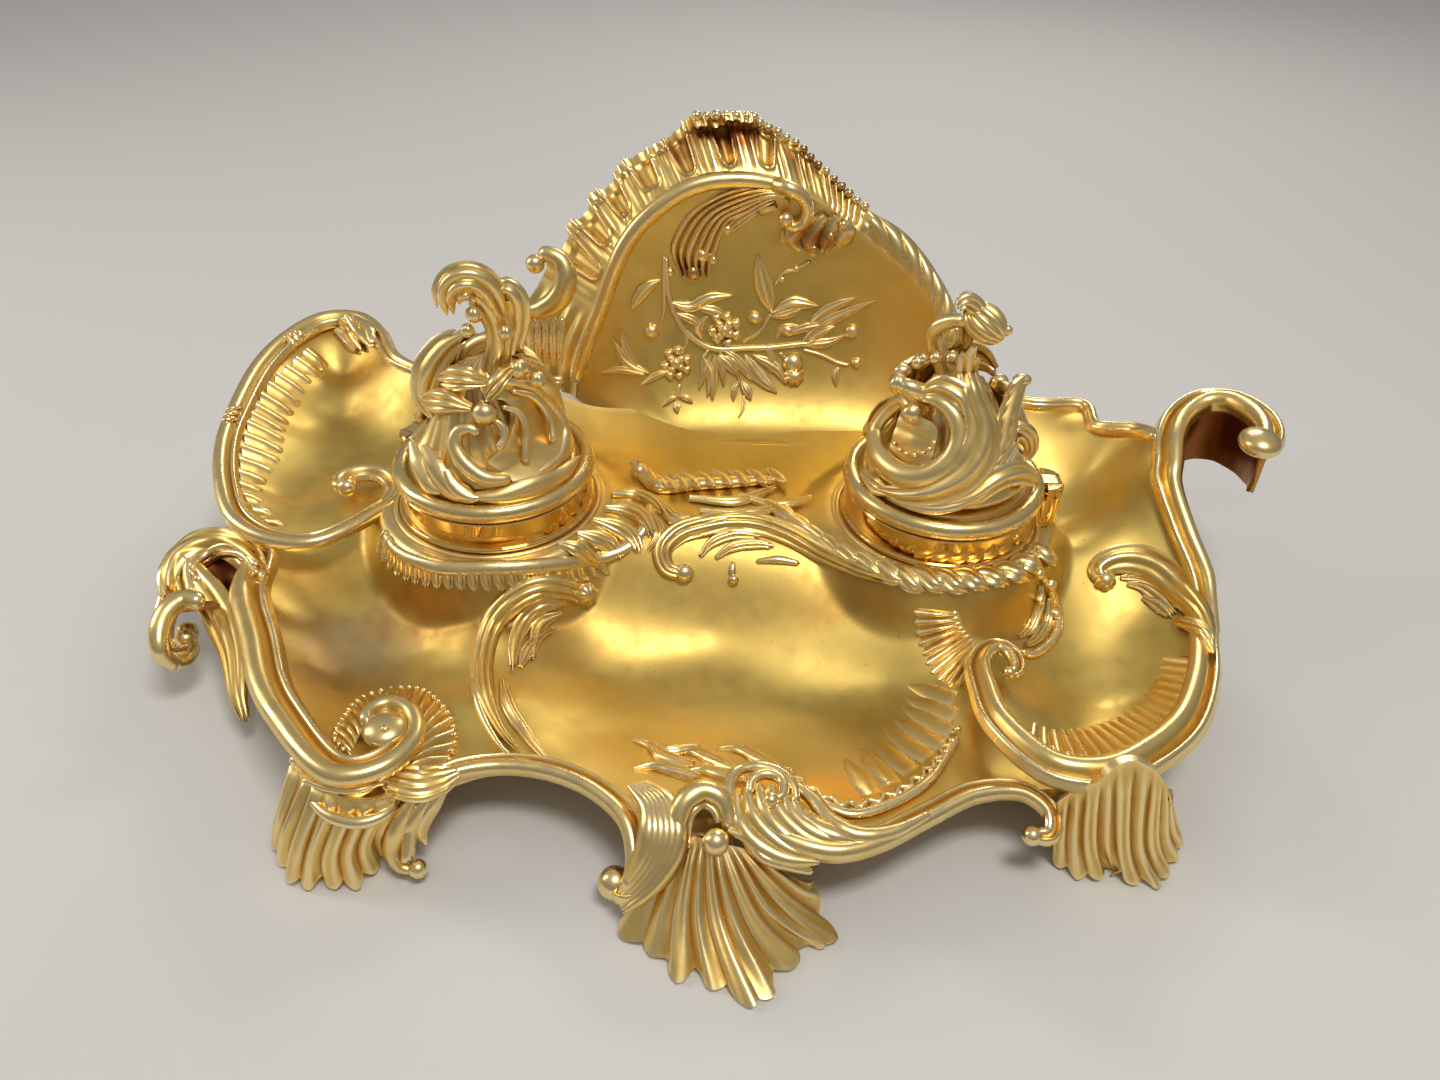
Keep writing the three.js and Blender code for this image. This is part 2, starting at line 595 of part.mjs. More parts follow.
// A point of the flaring border outside the rim, at one of its rings
function shellBorder([share, reachShare, ...hollowShares], ring) {
  const rim = shellRim(share, "innerShares");
  const edge = shellRim(share, "outerShares");
  edge.y = rim.y + Math.min(shellFlare, edge.distanceTo(rim));
  const point = new THREE.Vector3().lerpVectors(rim, edge, flareRingShares[ring] * reachShare);
  point.y += gougeDepth * hollowShares[ring];
  return point;
}

function backShell() {
  const front = [
    ...dishRingShares.map((ringShare) => shellColumnShares.map(([share]) => shellDish(share, ringShare))),
    ...flareRingShares.map((_, ring) => shellColumnShares.map((column) => shellBorder(column, ring))),
  ];
  // the back follows the front at the wall's thickness, down from the floor and back from the wall
  const back = front.map((row, ring) =>
    row.map((point) => {
      const turn = ((dishRingShares[ring] ?? 1) * Math.PI) / 2;
      const inward = new THREE.Vector3(0, Math.sin(turn), -Math.cos(turn));
      return point.clone().addScaledVector(inward, shellWall);
    }),
  );
  return sheet(front, back);
}

// Relief on the shell's dish: the leaf that sweeps under its rim and the stem of the branch.
// Each place is the share of the way round and the share of the way up the dish.
const shellReliefTable = {
  rimLeaf: {
    shares: [
      [0.525, 0.957], [0.482, 0.946], [0.438, 0.916], [0.4, 0.88], [0.373, 0.833], [0.364, 0.789],
      [0.375, 0.746],
    ],
    thickness: shellLeaf,
    taperShares: [0.4, 0.9, 1.2, 1.2, 1, 0.8, 0.5],
  },
  branch: {
    shares: [
      [0.309, 0.819], [0.318, 0.686], [0.346, 0.582], [0.387, 0.525], [0.479, 0.505], [0.58, 0.548],
      [0.646, 0.649], [0.669, 0.679],
    ],
    thickness: shellStem,
    taperShares: [0.6, 1, 1.2, 1.2, 1, 0.8, 0.5],
  },
};

function shellRelief({ shares, thickness, taperShares }) {
  const points = shares.map(([share, ringShare]) => shellDish(share, ringShare));
  return swept(smoothPath(points), thickness, thickness, stalkShares, taperShares);
}

// The moulding round the shell's dish, which curls over into a volute at the top right
const rimScroll = { startShare: 0.03, endShare: 0.54, eyeShares: [0.2, 0.86], radius: 11, turns: 1.1 };
function shellRimMoulding() {
  const samples = 12;
  const points = Array.from({ length: samples }, (_, index) => {
    const along = index / (samples - 1);
    return shellRim(THREE.MathUtils.lerp(rimScroll.startShare, rimScroll.endShare, along), "innerShares");
  });
  const [eyeX, eyeZ] = rimScroll.eyeShares;
  const eye = new THREE.Vector3(shellCentreX + eyeX * shellHalfWidth, 0, eyeZ * shellInnerHeight);
  const startTurn = 2.2;
  for (let index = 0; index <= voluteSteps; index += 1) {
    const along = index / voluteSteps;
    const reach = rimScroll.radius * THREE.MathUtils.lerp(1, eyeShare, along);
    const turn = startTurn - rimScroll.turns * along * Math.PI * 2;
    const x = eye.x + reach * Math.cos(turn);
    points.push(new THREE.Vector3(x, shellWallAt(x) - shellBead / 2, eye.z + reach * Math.sin(turn)));
  }
  return swept(smoothPath(points), shellBead * 2, shellBead * 2, stalkShares, [1, 1, 1, 0.9, 0.7]);
}

// The small scroll that stands out from the shell's left edge
const sideScroll = { startShare: 0.02, endShare: 0.12 };
function shellSideScroll() {
  const samples = 5;
  const plainShares = flareRingShares.map(() => 0);
  const stem = Array.from({ length: samples }, (_, index) => {
    const share = THREE.MathUtils.lerp(sideScroll.startShare, sideScroll.endShare, index / (samples - 1));
    return shellBorder([share, 1, ...plainShares], flareRingShares.length - 1);
  });
  const top = stem[samples - 1];
  const hook = [[-0.04, 0.04], [-0.1, 0.06], [-0.14, 0.03], [-0.12, 0]].map(
    ([x, z]) => new THREE.Vector3(top.x + x * shellHalfWidth, top.y, top.z + z * shellInnerHeight),
  );
  return swept(smoothPath([...stem, ...hook]), shellBead * 2, shellBead * 2, stalkShares, [1, 0.9]);
}

// Places of the feet: the focus of each shell on the tray's edge, its heading and its reach
const footTable = {
  front_left_foot: { focusShares: [-0.51, -0.84, 0.5], heading: -100, reach: smallFootReach },
  front_centre_foot: { focusShares: [0.02, -0.99, 0.46], heading: -78, reach: footReach },
  front_right_foot: { focusShares: [0.57, -0.82, 0.52], heading: -72, reach: smallFootReach },
  rear_left_foot: { focusShares: [-0.77, 0.33, 0.6], heading: 165, reach: smallFootReach },
  rear_right_foot: { focusShares: [0.8, 0.16, 0.6], heading: 28, reach: smallFootReach },
};
const fluteCount = 6;
const fanHalfTurn = THREE.MathUtils.degToRad(62);
// Section of a foot from its focus to its toe: shares of its reach and of its focus height.
// Past the sole share the underside lies flat on the desk.
const footProfileShares = [[0.06, 1], [0.22, 0.9], [0.45, 0.55], [0.7, 0.24], [1, 0.1]];
const soleShare = 0.7;

// How far out under the shell of a foot the web of its pad runs
const webReachShare = 0.5;

// The screw of a foot stands inside the tray, behind the focus of the foot's shell
const screwInset = 15;
function footFrame({ focusShares, heading, reach }) {
  const focus = trayPoint(focusShares);
  const turn = THREE.MathUtils.degToRad(heading);
  const out = new THREE.Vector3(Math.cos(turn), Math.sin(turn), 0);
  const screw = focus.clone().addScaledVector(out, -screwInset);
  screw.z = 0;
  return { focus, turn, out, reach, screw };
}

function footSolid(place, tray) {
  const { focus, turn, reach, screw } = footFrame(place);
  const columns = fluteCount * 2;
  const surface = (below) =>
    footProfileShares.map(([outShare, heightShare]) =>
      Array.from({ length: columns + 1 }, (_, column) => {
        const spread = (column / columns) * 2 - 1;
        const lobe = column % 2 ? 1 : -1;
        const angle = turn - spread * fanHalfTurn;
        const long = reach * (1 - 0.22 * spread ** 2 + 0.03 * lobe * outShare);
        const x = focus.x + Math.cos(angle) * long * outShare;
        const y = focus.y + Math.sin(angle) * long * outShare;
        const flute = footFlute * lobe * Math.min(1, outShare * 2);
        const top = Math.max(focus.z * heightShare + flute, footThickness * heightShare + footFlute);
        const under = outShare < soleShare ? Math.max(top - footThickness, 0) : 0;
        return new THREE.Vector3(x, y, below ? under : Math.max(top, footThickness / 2));
      }),
    );
  const fan = sheet(surface(false), surface(true));
  const padTop = bossFloor - seatGap;
  const pad = rod(footPadWidth / 2, padTop - footPadHeight, padTop, boreSides).translate([screw.x, screw.y, 0]);
  const reachIn = screwInset + webReachShare * reach;
  const web = block(
    new THREE.Vector3(0, -footPadWidth / 2, padTop - footPadHeight),
    new THREE.Vector3(reachIn, footPadWidth / 2, padTop),
  )
    .rotate([0, 0, degrees(turn)])
    .translate([screw.x, screw.y, 0]);
  const clearance = screwRadius + hingeGap;
  const hole = rod(clearance, -overrun, padTop + overrun, boreSides).translate([screw.x, screw.y, 0]);
  const shifts = [[0, 0, -seatGap], [Math.cos(turn) * seatGap, Math.sin(turn) * seatGap, 0]];
  const body = fan.add(web).add(pad).subtract(hole);
  return shifts.reduce((foot, shift) => foot.subtract(tray.translate(shift)), body);
}

function footScrew(place) {
  const { screw } = footFrame(place);
  const under = bossFloor - seatGap - footPadHeight - seatGap;
  const top = bossFloor + screwEngagement;
  const profile = [
    [0, under - screwHeadHeight], [screwHeadRadius, under - screwHeadHeight],
    [screwHeadRadius, under], [screwRadius, under], [screwRadius, top], [0, top],
  ];
  return turned(profile, boreSides).translate([screw.x, screw.y, 0]);
}

function footBoss(place) {
  const { screw } = footFrame(place);
  const top = trayTop(screw.x, screw.y) - trayWall / 2;
  return rod(bossRadius, bossFloor, top, boreSides).translate([screw.x, screw.y, 0]);
}

function bossHole(place) {
  const { screw } = footFrame(place);
  const top = bossFloor + screwEngagement + seatGap;
  return rod(screwRadius + seatGap, bossFloor - overrun, top, boreSides).translate([screw.x, screw.y, 0]);
}

// A pot's seat in the tray: flat above and below, with a round hole for the barrel
function cutSeats(tray) {
  const under = seatHeight - trayWall;
  return Object.values(potCentres).reduce((solid, centre) => {
    const above = rod(seatRadius, seatHeight, seatHeight + borderHeight, roundSides);
    const below = rod(seatRadius - trayWall / 2, 0, under, roundSides);
    const disc = rod(seatRadius, under, seatHeight, roundSides);
    const hole = rod(barrelRadius + seatGap, under - overrun, seatHeight + overrun, roundSides);
    const cuts = at(above, centre).add(at(below, centre));
    return solid.subtract(cuts).add(at(disc, centre)).subtract(at(hole, centre));
  }, tray);
}

function trayCasting() {
  const places = Object.values(footTable);
  const dish = cutSeats(joined([trayDish(), ...places.map(footBoss)]));
  const borders = [...Object.values(borderTable).map(borderSolid), crookWall()];
  const ornament = Object.values(reliefTable).map(reliefSolid);
  const relief = Object.values(shellReliefTable).map(shellRelief);
  const shell = [backShell(), shellRimMoulding(), shellSideScroll(), ...relief];
  const casting = joined([dish, ...borders, ...ornament, ...shell]);
  return casting.subtract(joined(places.map(bossHole))).simplify(facetTolerance);
}

// Heights shared by a pot, its liner and its lid
const potFloor = seatHeight - barrelDepth;
const bandFoot = seatHeight + seatGap;
const bandTop = bandFoot + bandHeight;
const lidFoot = bandTop + seatGap;
const lidTop = lidFoot + lidHeight;
const hingeAxisHeight = lidFoot + tongueRadius / 2;
const lugTop = hingeAxisHeight + tongueRadius;

// How far out the lid's edge swings as it rises past the ears of the hinge
const lidSwing = 3 * hingeGap;

// A pot is drawn with its hinge towards +x and then turned to its place
function potSolid() {
  const bore = barrelRadius - potWall;
  const body = turned(
    [
      [0, potFloor], [barrelRadius, potFloor], [barrelRadius, bandFoot], [bandRadius, bandFoot],
      [bandRadius, bandTop], [bore, bandTop], [bore, potFloor + potWall], [0, potFloor + potWall],
    ],
    roundSides,
  );
  const lug = rod(lugRadius, bandFoot, lugTop, roundSides / 2).translate([lidRadius, 0, 0]);
  const room = rod(lidRadius + lidSwing, bandTop, lidTop + overrun, roundSides);
  const inside = rod(bore + potWall, bandFoot - overrun, lidTop, roundSides);
  const slotHalf = tongueWidth / 2 + hingeGap;
  const slot = block(
    new THREE.Vector3(bandRadius + hingeGap, -slotHalf, hingeAxisHeight - tongueRadius - 2 * hingeGap),
    new THREE.Vector3(lidRadius + lugRadius + overrun, slotHalf, lugTop + overrun),
  );
  const pinHole = hingeRod(pinRadius + seatGap, 2 * lugRadius + overrun);
  return body.add(lug.subtract(room).subtract(inside)).subtract(slot).subtract(pinHole);
}

// A rod on the hinge axis
function hingeRod(radius, length) {
  const rodSolid = rod(radius, -length / 2, length / 2, boreSides).rotate([90, 0, 0]);
  return rodSolid.translate([hingeReach, 0, hingeAxisHeight]);
}

const pinLength = 11.4;
const hingePin = () => hingeRod(pinRadius, pinLength);

function linerSolid() {
  const outer = barrelRadius - potWall - seatGap;
  const foot = potFloor + potWall + seatGap;
  const top = bandTop - linerRise / 2;
  return turned(
    [
      [0, foot], [outer, foot], [outer, top], [outer - linerWall, top],
      [outer - linerWall, foot + linerWall], [0, foot + linerWall],
    ],
    roundSides,
  );
}

function nutSolid() {
  const inner = barrelRadius + seatGap;
  const top = seatHeight - trayWall - seatGap;
  const ring = [[inner, top - nutHeight], [nutRadius, top - nutHeight], [nutRadius, top], [inner, top]];
  return turned([...ring, ring[0]], roundSides);
}

// The lid: a half-round rim over a recess, a shallow crown, and the tongue of its hinge
const rimRoundShares = [[1, 0.12], [1, 0.5], [0.97, 0.82], [0.9, 1]];
const crownRise = 1.2;
function lidSolid() {
  const recess = barrelRadius - potWall - lidSkirt;
  const rim = rimRoundShares.map(([out, up]) => [lidRadius * out, lidFoot + lidHeight * up]);
  const plate = turned(
    [
      [0, lidTop - lidWall], [recess, lidTop - lidWall], [recess, lidFoot], [lidRadius - lidWall, lidFoot],
      ...rim, [finialRadius, lidTop], [finialRadius / 2, lidTop + crownRise], [0, lidTop + crownRise],
    ],
    roundSides,
  );
  const knuckle = hingeRod(tongueRadius, tongueWidth);
  const arm = block(
    new THREE.Vector3(lidRadius - lidWall, -tongueWidth / 2, hingeAxisHeight),
    new THREE.Vector3(hingeReach, tongueWidth / 2, hingeAxisHeight + tongueRadius),
  );
  const screwHole = rod(screwRadius + seatGap, lidFoot, lidTop + overrun, boreSides);
  return plate.add(arm).add(knuckle).subtract(hingeRod(pinRadius + seatGap, tongueWidth + overrun)).subtract(screwHole);
}

// Height of the underside of the finial, above the crown of the lid
const finialFoot = lidTop + crownRise + seatGap;

// Scrolls and leaves of a finial, as shares of its radius across and of its height, drawn for
// the right pot. Each is one tapering stalk.
const finialTable = [
  { // the front scroll
    shares: [
      [0.7, -0.55, 0.1], [0.1, -0.85, 0.06], [-0.45, -0.75, 0.12], [-0.7, -0.5, 0.3],
      [-0.55, -0.3, 0.5], [-0.15, -0.25, 0.56], [0.08, -0.35, 0.42], [-0.1, -0.5, 0.3],
    ],
    taperShares: [0.5, 1, 1, 0.9, 0.8, 0.6],
  },
  { // the leaf that climbs from the front scroll to the head
    shares: [
      [-0.3, -0.7, 0.1], [0.25, -0.6, 0.14], [0.5, -0.35, 0.34], [0.42, -0.1, 0.56],
      [0.28, 0, 0.76], [0.2, 0, 0.92],
    ],
    taperShares: [0.6, 1.3, 1.4, 1, 0.8, 1.1],
  },
  { // the right leaf, which curls out at its tip
    shares: [[0.3, -0.3, 0.08], [0.6, -0.1, 0.26], [0.66, 0.05, 0.46], [0.85, 0.05, 0.54]],
    taperShares: [0.7, 1.2, 0.9, 0.6],
  },
  { // the low leaf that lies on the crown at the right
    shares: [[0.2, -0.2, 0.1], [0.72, -0.3, 0.16], [0.9, -0.1, 0.3], [0.98, -0.05, 0.22]],
    taperShares: [0.7, 1.1, 0.7, 0.4],
  },
  { // the rear scroll
    shares: [
      [0.55, 0.6, 0.08], [0, 0.85, 0.1], [-0.5, 0.65, 0.24], [-0.5, 0.35, 0.5], [-0.2, 0.2, 0.62],
      [-0.55, 0.1, 0.68],
    ],
    taperShares: [0.6, 1.2, 1.1, 0.9, 0.7],
  },
  { // the rear stalk behind the head
    shares: [[0.5, 0.45, 0.08], [0.45, 0.5, 0.34], [0.25, 0.3, 0.6], [0.3, 0.2, 0.84]],
    taperShares: [1.2, 1.3, 0.9, 0.6],
  },
  { // the left leaf
    shares: [[-0.2, 0, 0.1], [-0.66, -0.05, 0.16], [-0.8, 0.1, 0.34], [-0.62, 0.15, 0.46]],
    taperShares: [0.9, 1.2, 0.9, 0.5],
  },
];
const finialMoundShares = [[0, 0], [0.96, 0], [0.98, 0.06], [0.8, 0.13], [0.5, 0.3], [0.2, 0.5], [0, 0.52]];
const headShares = { place: [0.2, 0, 0.9], radii: [0.34, 0.28, 0.1] };
const finialStep = 12;
const ballSides = 6;

function finialSolid(mirror) {
  const place = ([x, y, z]) =>
    new THREE.Vector3(x * mirror * finialRadius, y * finialRadius, z * finialHeight);
  const mound = turned(
    finialMoundShares.map(([out, up]) => [out * finialRadius, up * finialHeight]),
    roundSides / 2,
  );
  const leaves = finialTable.map(({ shares, taperShares }) =>
    swept(smoothPath(shares.map(place)), finialTube, finialTube, stalkShares, taperShares, finialStep),
  );
  const [acrossShare, deepShare, tallShare] = headShares.radii;
  const ball = new THREE.SphereGeometry(1, ballSides * 2, ballSides);
  ball.scale(acrossShare * finialRadius, deepShare * finialRadius, tallShare * finialHeight);
  const head = at(solidOf(ball), place(headShares.place));
  const floor = rod(2 * finialRadius, -finialHeight, 0, roundSides);
  const hole = rod(screwRadius + seatGap, -overrun, screwEngagement + seatGap, boreSides);
  return joined([mound, ...leaves, head]).subtract(floor).subtract(hole).translate([0, 0, finialFoot]);
}

function finialScrew() {
  const headTop = lidTop - lidWall - seatGap;
  const tip = finialFoot + screwEngagement;
  return turned(
    [
      [0, headTop - screwHeadHeight], [screwHeadRadius, headTop - screwHeadHeight],
      [screwHeadRadius, headTop], [screwRadius, headTop], [screwRadius, tip], [0, tip],
    ],
    boreSides,
  );
}

// Assembly: the tray and its feet, then each pot with its lid, all in the inkstand's own frame
const inkstand = new THREE.Group();
const tray = trayCasting();
inkstand.add(namedMesh("tray_casting", tray, gilt));
for (const [name, place] of Object.entries(footTable)) {
  inkstand.add(namedMesh(name, footSolid(place, tray), gilt));
  inkstand.add(namedMesh(name + "_screw", footScrew(place), plainBrass));
}
for (const [side, hingeTurn] of [["left", leftHingeTurn], ["right", rightHingeTurn]]) {
  const turnToHinge = (solid) => at(solid.rotate([0, 0, degrees(hingeTurn)]), potCentres[side]);
  const mirror = side === "right" ? 1 : -1;
  const pieces = [
    ["pot", turnToHinge(potSolid()), burnished],
    ["pot_nut", at(nutSolid(), potCentres[side]), plainBrass],
    ["liner", at(linerSolid(), potCentres[side]), porcelain],
    ["lid", turnToHinge(lidSolid()), gilt],
    ["hinge_pin", turnToHinge(hingePin()), plainBrass],
    ["finial", at(finialSolid(mirror), potCentres[side]), gilt],
    ["finial_screw", at(finialScrew(), potCentres[side]), plainBrass],
  ];
  pieces.forEach(([piece, solid, material]) =>
    inkstand.add(namedMesh(side + "_" + piece, solid, material)),
  );
}

// The frame's origin is the middle of the inkstand's box, on the desk
const box = new THREE.Box3().setFromObject(inkstand);
const middle = box.getCenter(new THREE.Vector3());
inkstand.position.set(-middle.x, -middle.y, -box.min.z);
inkstand.updateMatrixWorld(true);

const group = new THREE.Group();
group.add(inkstand);
export default group;
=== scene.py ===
import math

import bmesh
import bpy
import numpy as np
from mathutils import Matrix, Vector, kdtree


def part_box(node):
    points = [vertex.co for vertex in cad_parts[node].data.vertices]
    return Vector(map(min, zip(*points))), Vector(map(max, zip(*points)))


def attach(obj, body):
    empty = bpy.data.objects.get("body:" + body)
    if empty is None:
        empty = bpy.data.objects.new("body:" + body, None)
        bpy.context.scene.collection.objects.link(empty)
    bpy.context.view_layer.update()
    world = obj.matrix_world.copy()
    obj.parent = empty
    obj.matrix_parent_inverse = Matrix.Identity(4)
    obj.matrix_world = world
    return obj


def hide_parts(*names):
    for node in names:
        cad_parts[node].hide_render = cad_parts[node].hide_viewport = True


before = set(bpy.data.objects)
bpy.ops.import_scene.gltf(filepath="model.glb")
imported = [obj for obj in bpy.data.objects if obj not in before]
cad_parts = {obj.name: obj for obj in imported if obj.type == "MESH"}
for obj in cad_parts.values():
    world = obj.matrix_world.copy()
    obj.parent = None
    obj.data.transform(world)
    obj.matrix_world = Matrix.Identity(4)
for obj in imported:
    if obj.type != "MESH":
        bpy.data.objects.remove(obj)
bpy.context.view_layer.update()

# The inkstand is drawn in millimetres with its ink pots at x = -74 and x = 74 on y = 0, and the
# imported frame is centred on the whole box, so every piece is moved by the same small shift.
POT_REACH = 74.0
nut_low, nut_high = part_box("right_pot_nut")
nut_middle = (nut_low + nut_high) * 500.0
FRAME_SHIFT = np.array([nut_middle.x - POT_REACH, nut_middle.y, 0.0])


def metres(points):
    return (np.asarray(points, float) + FRAME_SHIFT) / 1000.0


# Camera: a phone held in front of the inkstand and above it, tilted 37 degrees down and rolled
# two degrees, as the photograph shows it. Picture points are in the 1440 by 1080 picture.
PICTURE_WIDTH, PICTURE_HEIGHT = 1440, 1080
FOCAL_PIXELS = 1100.0
EYE = np.array([1.2, -303.9, 259.7])
tilt, roll = math.radians(37.1), math.radians(2.01)
AHEAD = np.array([0.0, math.cos(tilt), -math.sin(tilt)])
level_right, level_up = np.array([1.0, 0.0, 0.0]), np.array([0.0, math.sin(tilt), math.cos(tilt)])
RIGHT = level_right * math.cos(roll) + level_up * math.sin(roll)
UP = level_up * math.cos(roll) - level_right * math.sin(roll)

camera_data = bpy.data.cameras.new("camera")
camera_data.sensor_width = 36.0
camera_data.lens = 36.0 * FOCAL_PIXELS / PICTURE_WIDTH
camera_data.clip_start = 0.01
camera = bpy.data.objects.new("camera", camera_data)
bpy.context.scene.collection.objects.link(camera)
axes = Matrix([RIGHT, UP, -AHEAD]).transposed().to_4x4()
camera.matrix_world = Matrix.Translation(Vector(metres(EYE))) @ axes
bpy.context.scene.camera = camera
bpy.context.scene.view_settings.view_transform = "Standard"


def picture_place(points):
    away = np.asarray(points, float) - EYE
    depth = away @ AHEAD
    across = PICTURE_WIDTH / 2 + FOCAL_PIXELS * (away @ RIGHT) / depth
    down = PICTURE_HEIGHT / 2 - FOCAL_PIXELS * (away @ UP) / depth
    return np.stack([across, down], -1)


def sight(place):
    across, down = place
    line = AHEAD + RIGHT * (across - PICTURE_WIDTH / 2) / FOCAL_PIXELS
    return line - UP * (down - PICTURE_HEIGHT / 2) / FOCAL_PIXELS


# Studio: a wide pale floor, a soft world that is lighter overhead, one broad lamp above the
# camera and two side lamps that draw long highlights along the gilt rolls.
def plain_material(name, color, roughness):
    material = bpy.data.materials.new(name)
    material.use_nodes = True
    shader = material.node_tree.nodes["Principled BSDF"]
    shader.inputs["Base Color"].default_value = (*color, 1.0)
    shader.inputs["Roughness"].default_value = roughness
    return material


floor_mesh = bpy.data.meshes.new("studio_floor")
floor_mesh.from_pydata([(-4, -3, 0), (4, -3, 0), (4, 6, 0), (-4, 6, 0)], [], [(0, 1, 2, 3)])
studio_floor = bpy.data.objects.new("studio_floor", floor_mesh)
bpy.context.scene.collection.objects.link(studio_floor)
floor_mesh.materials.append(plain_material("pale_floor", (0.72, 0.71, 0.69), 0.8))

world = bpy.data.worlds.new("studio")
bpy.context.scene.world = world
world.use_nodes = True
sky = world.node_tree
sky_shader = sky.nodes["Background"]
sky_place = sky.nodes.new("ShaderNodeTexCoord")
sky_split = sky.nodes.new("ShaderNodeSeparateXYZ")
sky_ramp = sky.nodes.new("ShaderNodeValToRGB")
sky.links.new(sky_place.outputs["Generated"], sky_split.inputs[0])
sky.links.new(sky_split.outputs["Z"], sky_ramp.inputs[0])
sky.links.new(sky_ramp.outputs["Color"], sky_shader.inputs["Color"])
sky_ramp.color_ramp.elements[0].position = 0.0
sky_ramp.color_ramp.elements[0].color = (0.36, 0.345, 0.33, 1)
sky_ramp.color_ramp.elements[1].position = 0.95
sky_ramp.color_ramp.elements[1].color = (0.75, 0.73, 0.70, 1)
sky_shader.inputs["Strength"].default_value = 0.5


def soft_lamp(name, place, target, size, watts):
    lamp = bpy.data.lights.new(name, "AREA")
    lamp.shape = "RECTANGLE"
    lamp.size, lamp.size_y = size
    lamp.energy = watts
    lamp.color = (1.0, 0.97, 0.92)
    lamp_object = bpy.data.objects.new(name, lamp)
    bpy.context.scene.collection.objects.link(lamp_object)
    place, target = Vector(place), Vector(target)
    turn = (place - target).to_track_quat("Z", "Y").to_matrix().to_4x4()
    lamp_object.matrix_world = Matrix.Translation(place) @ turn


soft_lamp("key_lamp", (0.15, -0.35, 0.95), (0.0, 0.0, 0.04), (0.30, 0.22), 4.2)
soft_lamp("left_lamp", (-0.9, 0.1, 0.5), (0.0, 0.0, 0.05), (0.16, 0.5), 2.0)
soft_lamp("back_lamp", (0.25, 0.95, 0.75), (0.0, 0.05, 0.04), (0.5, 0.12), 2.4)


# Casting kit, first used by the tray: shapes are gathered as points and faces and poured as one
# piece. A sheet is closed by its underside, and a moulding by its rounded ends.
class Casting:
    def __init__(self):
        self.points, self.faces, self.count = [], [], 0

    def add(self, points, faces):
        points = np.asarray(points, float).reshape(-1, 3)
        self.points.append(points)
        self.faces.extend([tuple(int(corner) + self.count for corner in face) for face in faces])
        self.count += len(points)


def grid_normals(grid):
    along, across = np.gradient(grid, axis=0), np.gradient(grid, axis=1)
    normal = np.cross(along, across)
    length = np.linalg.norm(normal, axis=-1, keepdims=True)
    return normal / np.maximum(length, 1e-9)


def closed_sheet(top, bottom):
    rows, across = top.shape[:2]
    index = np.arange(rows * across).reshape(rows, across)
    under = rows * across
    corners = [index[:-1, :-1], index[:-1, 1:], index[1:, 1:], index[1:, :-1]]
    upper = np.stack([corner.ravel() for corner in corners], -1)
    faces = upper.tolist() + (upper[:, ::-1] + under).tolist()
    ring = np.concatenate([index[0, :-1], index[:-1, -1], index[-1, :0:-1], index[:0:-1, 0]])
    after = np.roll(ring, -1)
    faces += np.stack([ring, ring + under, after + under, after], -1).tolist()
    return np.concatenate([top.reshape(-1, 3), bottom.reshape(-1, 3)]), faces


def spline(controls, step=1.0, closed=False):
    """A smooth path through the controls, with points a step apart."""
    controls = np.asarray(controls, float)
    if closed:
        controls = np.concatenate([controls[-3:], controls, controls[:4]])
    gaps = np.maximum(np.linalg.norm(np.diff(controls, axis=0), axis=1), 1e-6)
    knots = np.concatenate([[0.0], np.cumsum(np.sqrt(gaps))])
    slopes = np.gradient(controls, knots, axis=0)
    samples = []
    for start in range(len(controls) - 1):
        if closed and (start < 3 or start >= len(controls) - 4):
            continue
        span = knots[start + 1] - knots[start]
        share = np.linspace(0.0, 1.0, 25)[:-1, None]
        cube, square = share ** 3, share ** 2
        samples.append((2 * cube - 3 * square + 1) * controls[start]
                       + (cube - 2 * square + share) * span * slopes[start]
                       + (3 * square - 2 * cube) * controls[start + 1]
                       + (cube - square) * span * slopes[start + 1])
    if not closed:
        samples.append(controls[-1:])
    dense = np.concatenate(samples)
    if closed:
        dense = np.concatenate([dense, dense[:1]])
    return even_steps(dense, step)


def lengths_along(path):
    return np.concatenate([[0.0], np.cumsum(np.linalg.norm(np.diff(path, axis=0), axis=1))])


def even_steps(path, step=None, count=None):
    lengths = lengths_along(path)
    count = count or max(4, int(round(lengths[-1] / step)) + 1)
    marks = np.linspace(0.0, lengths[-1], count)
    return np.stack([np.interp(marks, lengths, path[:, axis]) for axis in range(path.shape[1])], -1)


def shares_along(values, count):
    return np.interp(np.linspace(0, 1, count), np.linspace(0, 1, len(values)), values)


def unit(vectors):
    return vectors / np.maximum(np.linalg.norm(vectors, axis=-1, keepdims=True), 1e-9)


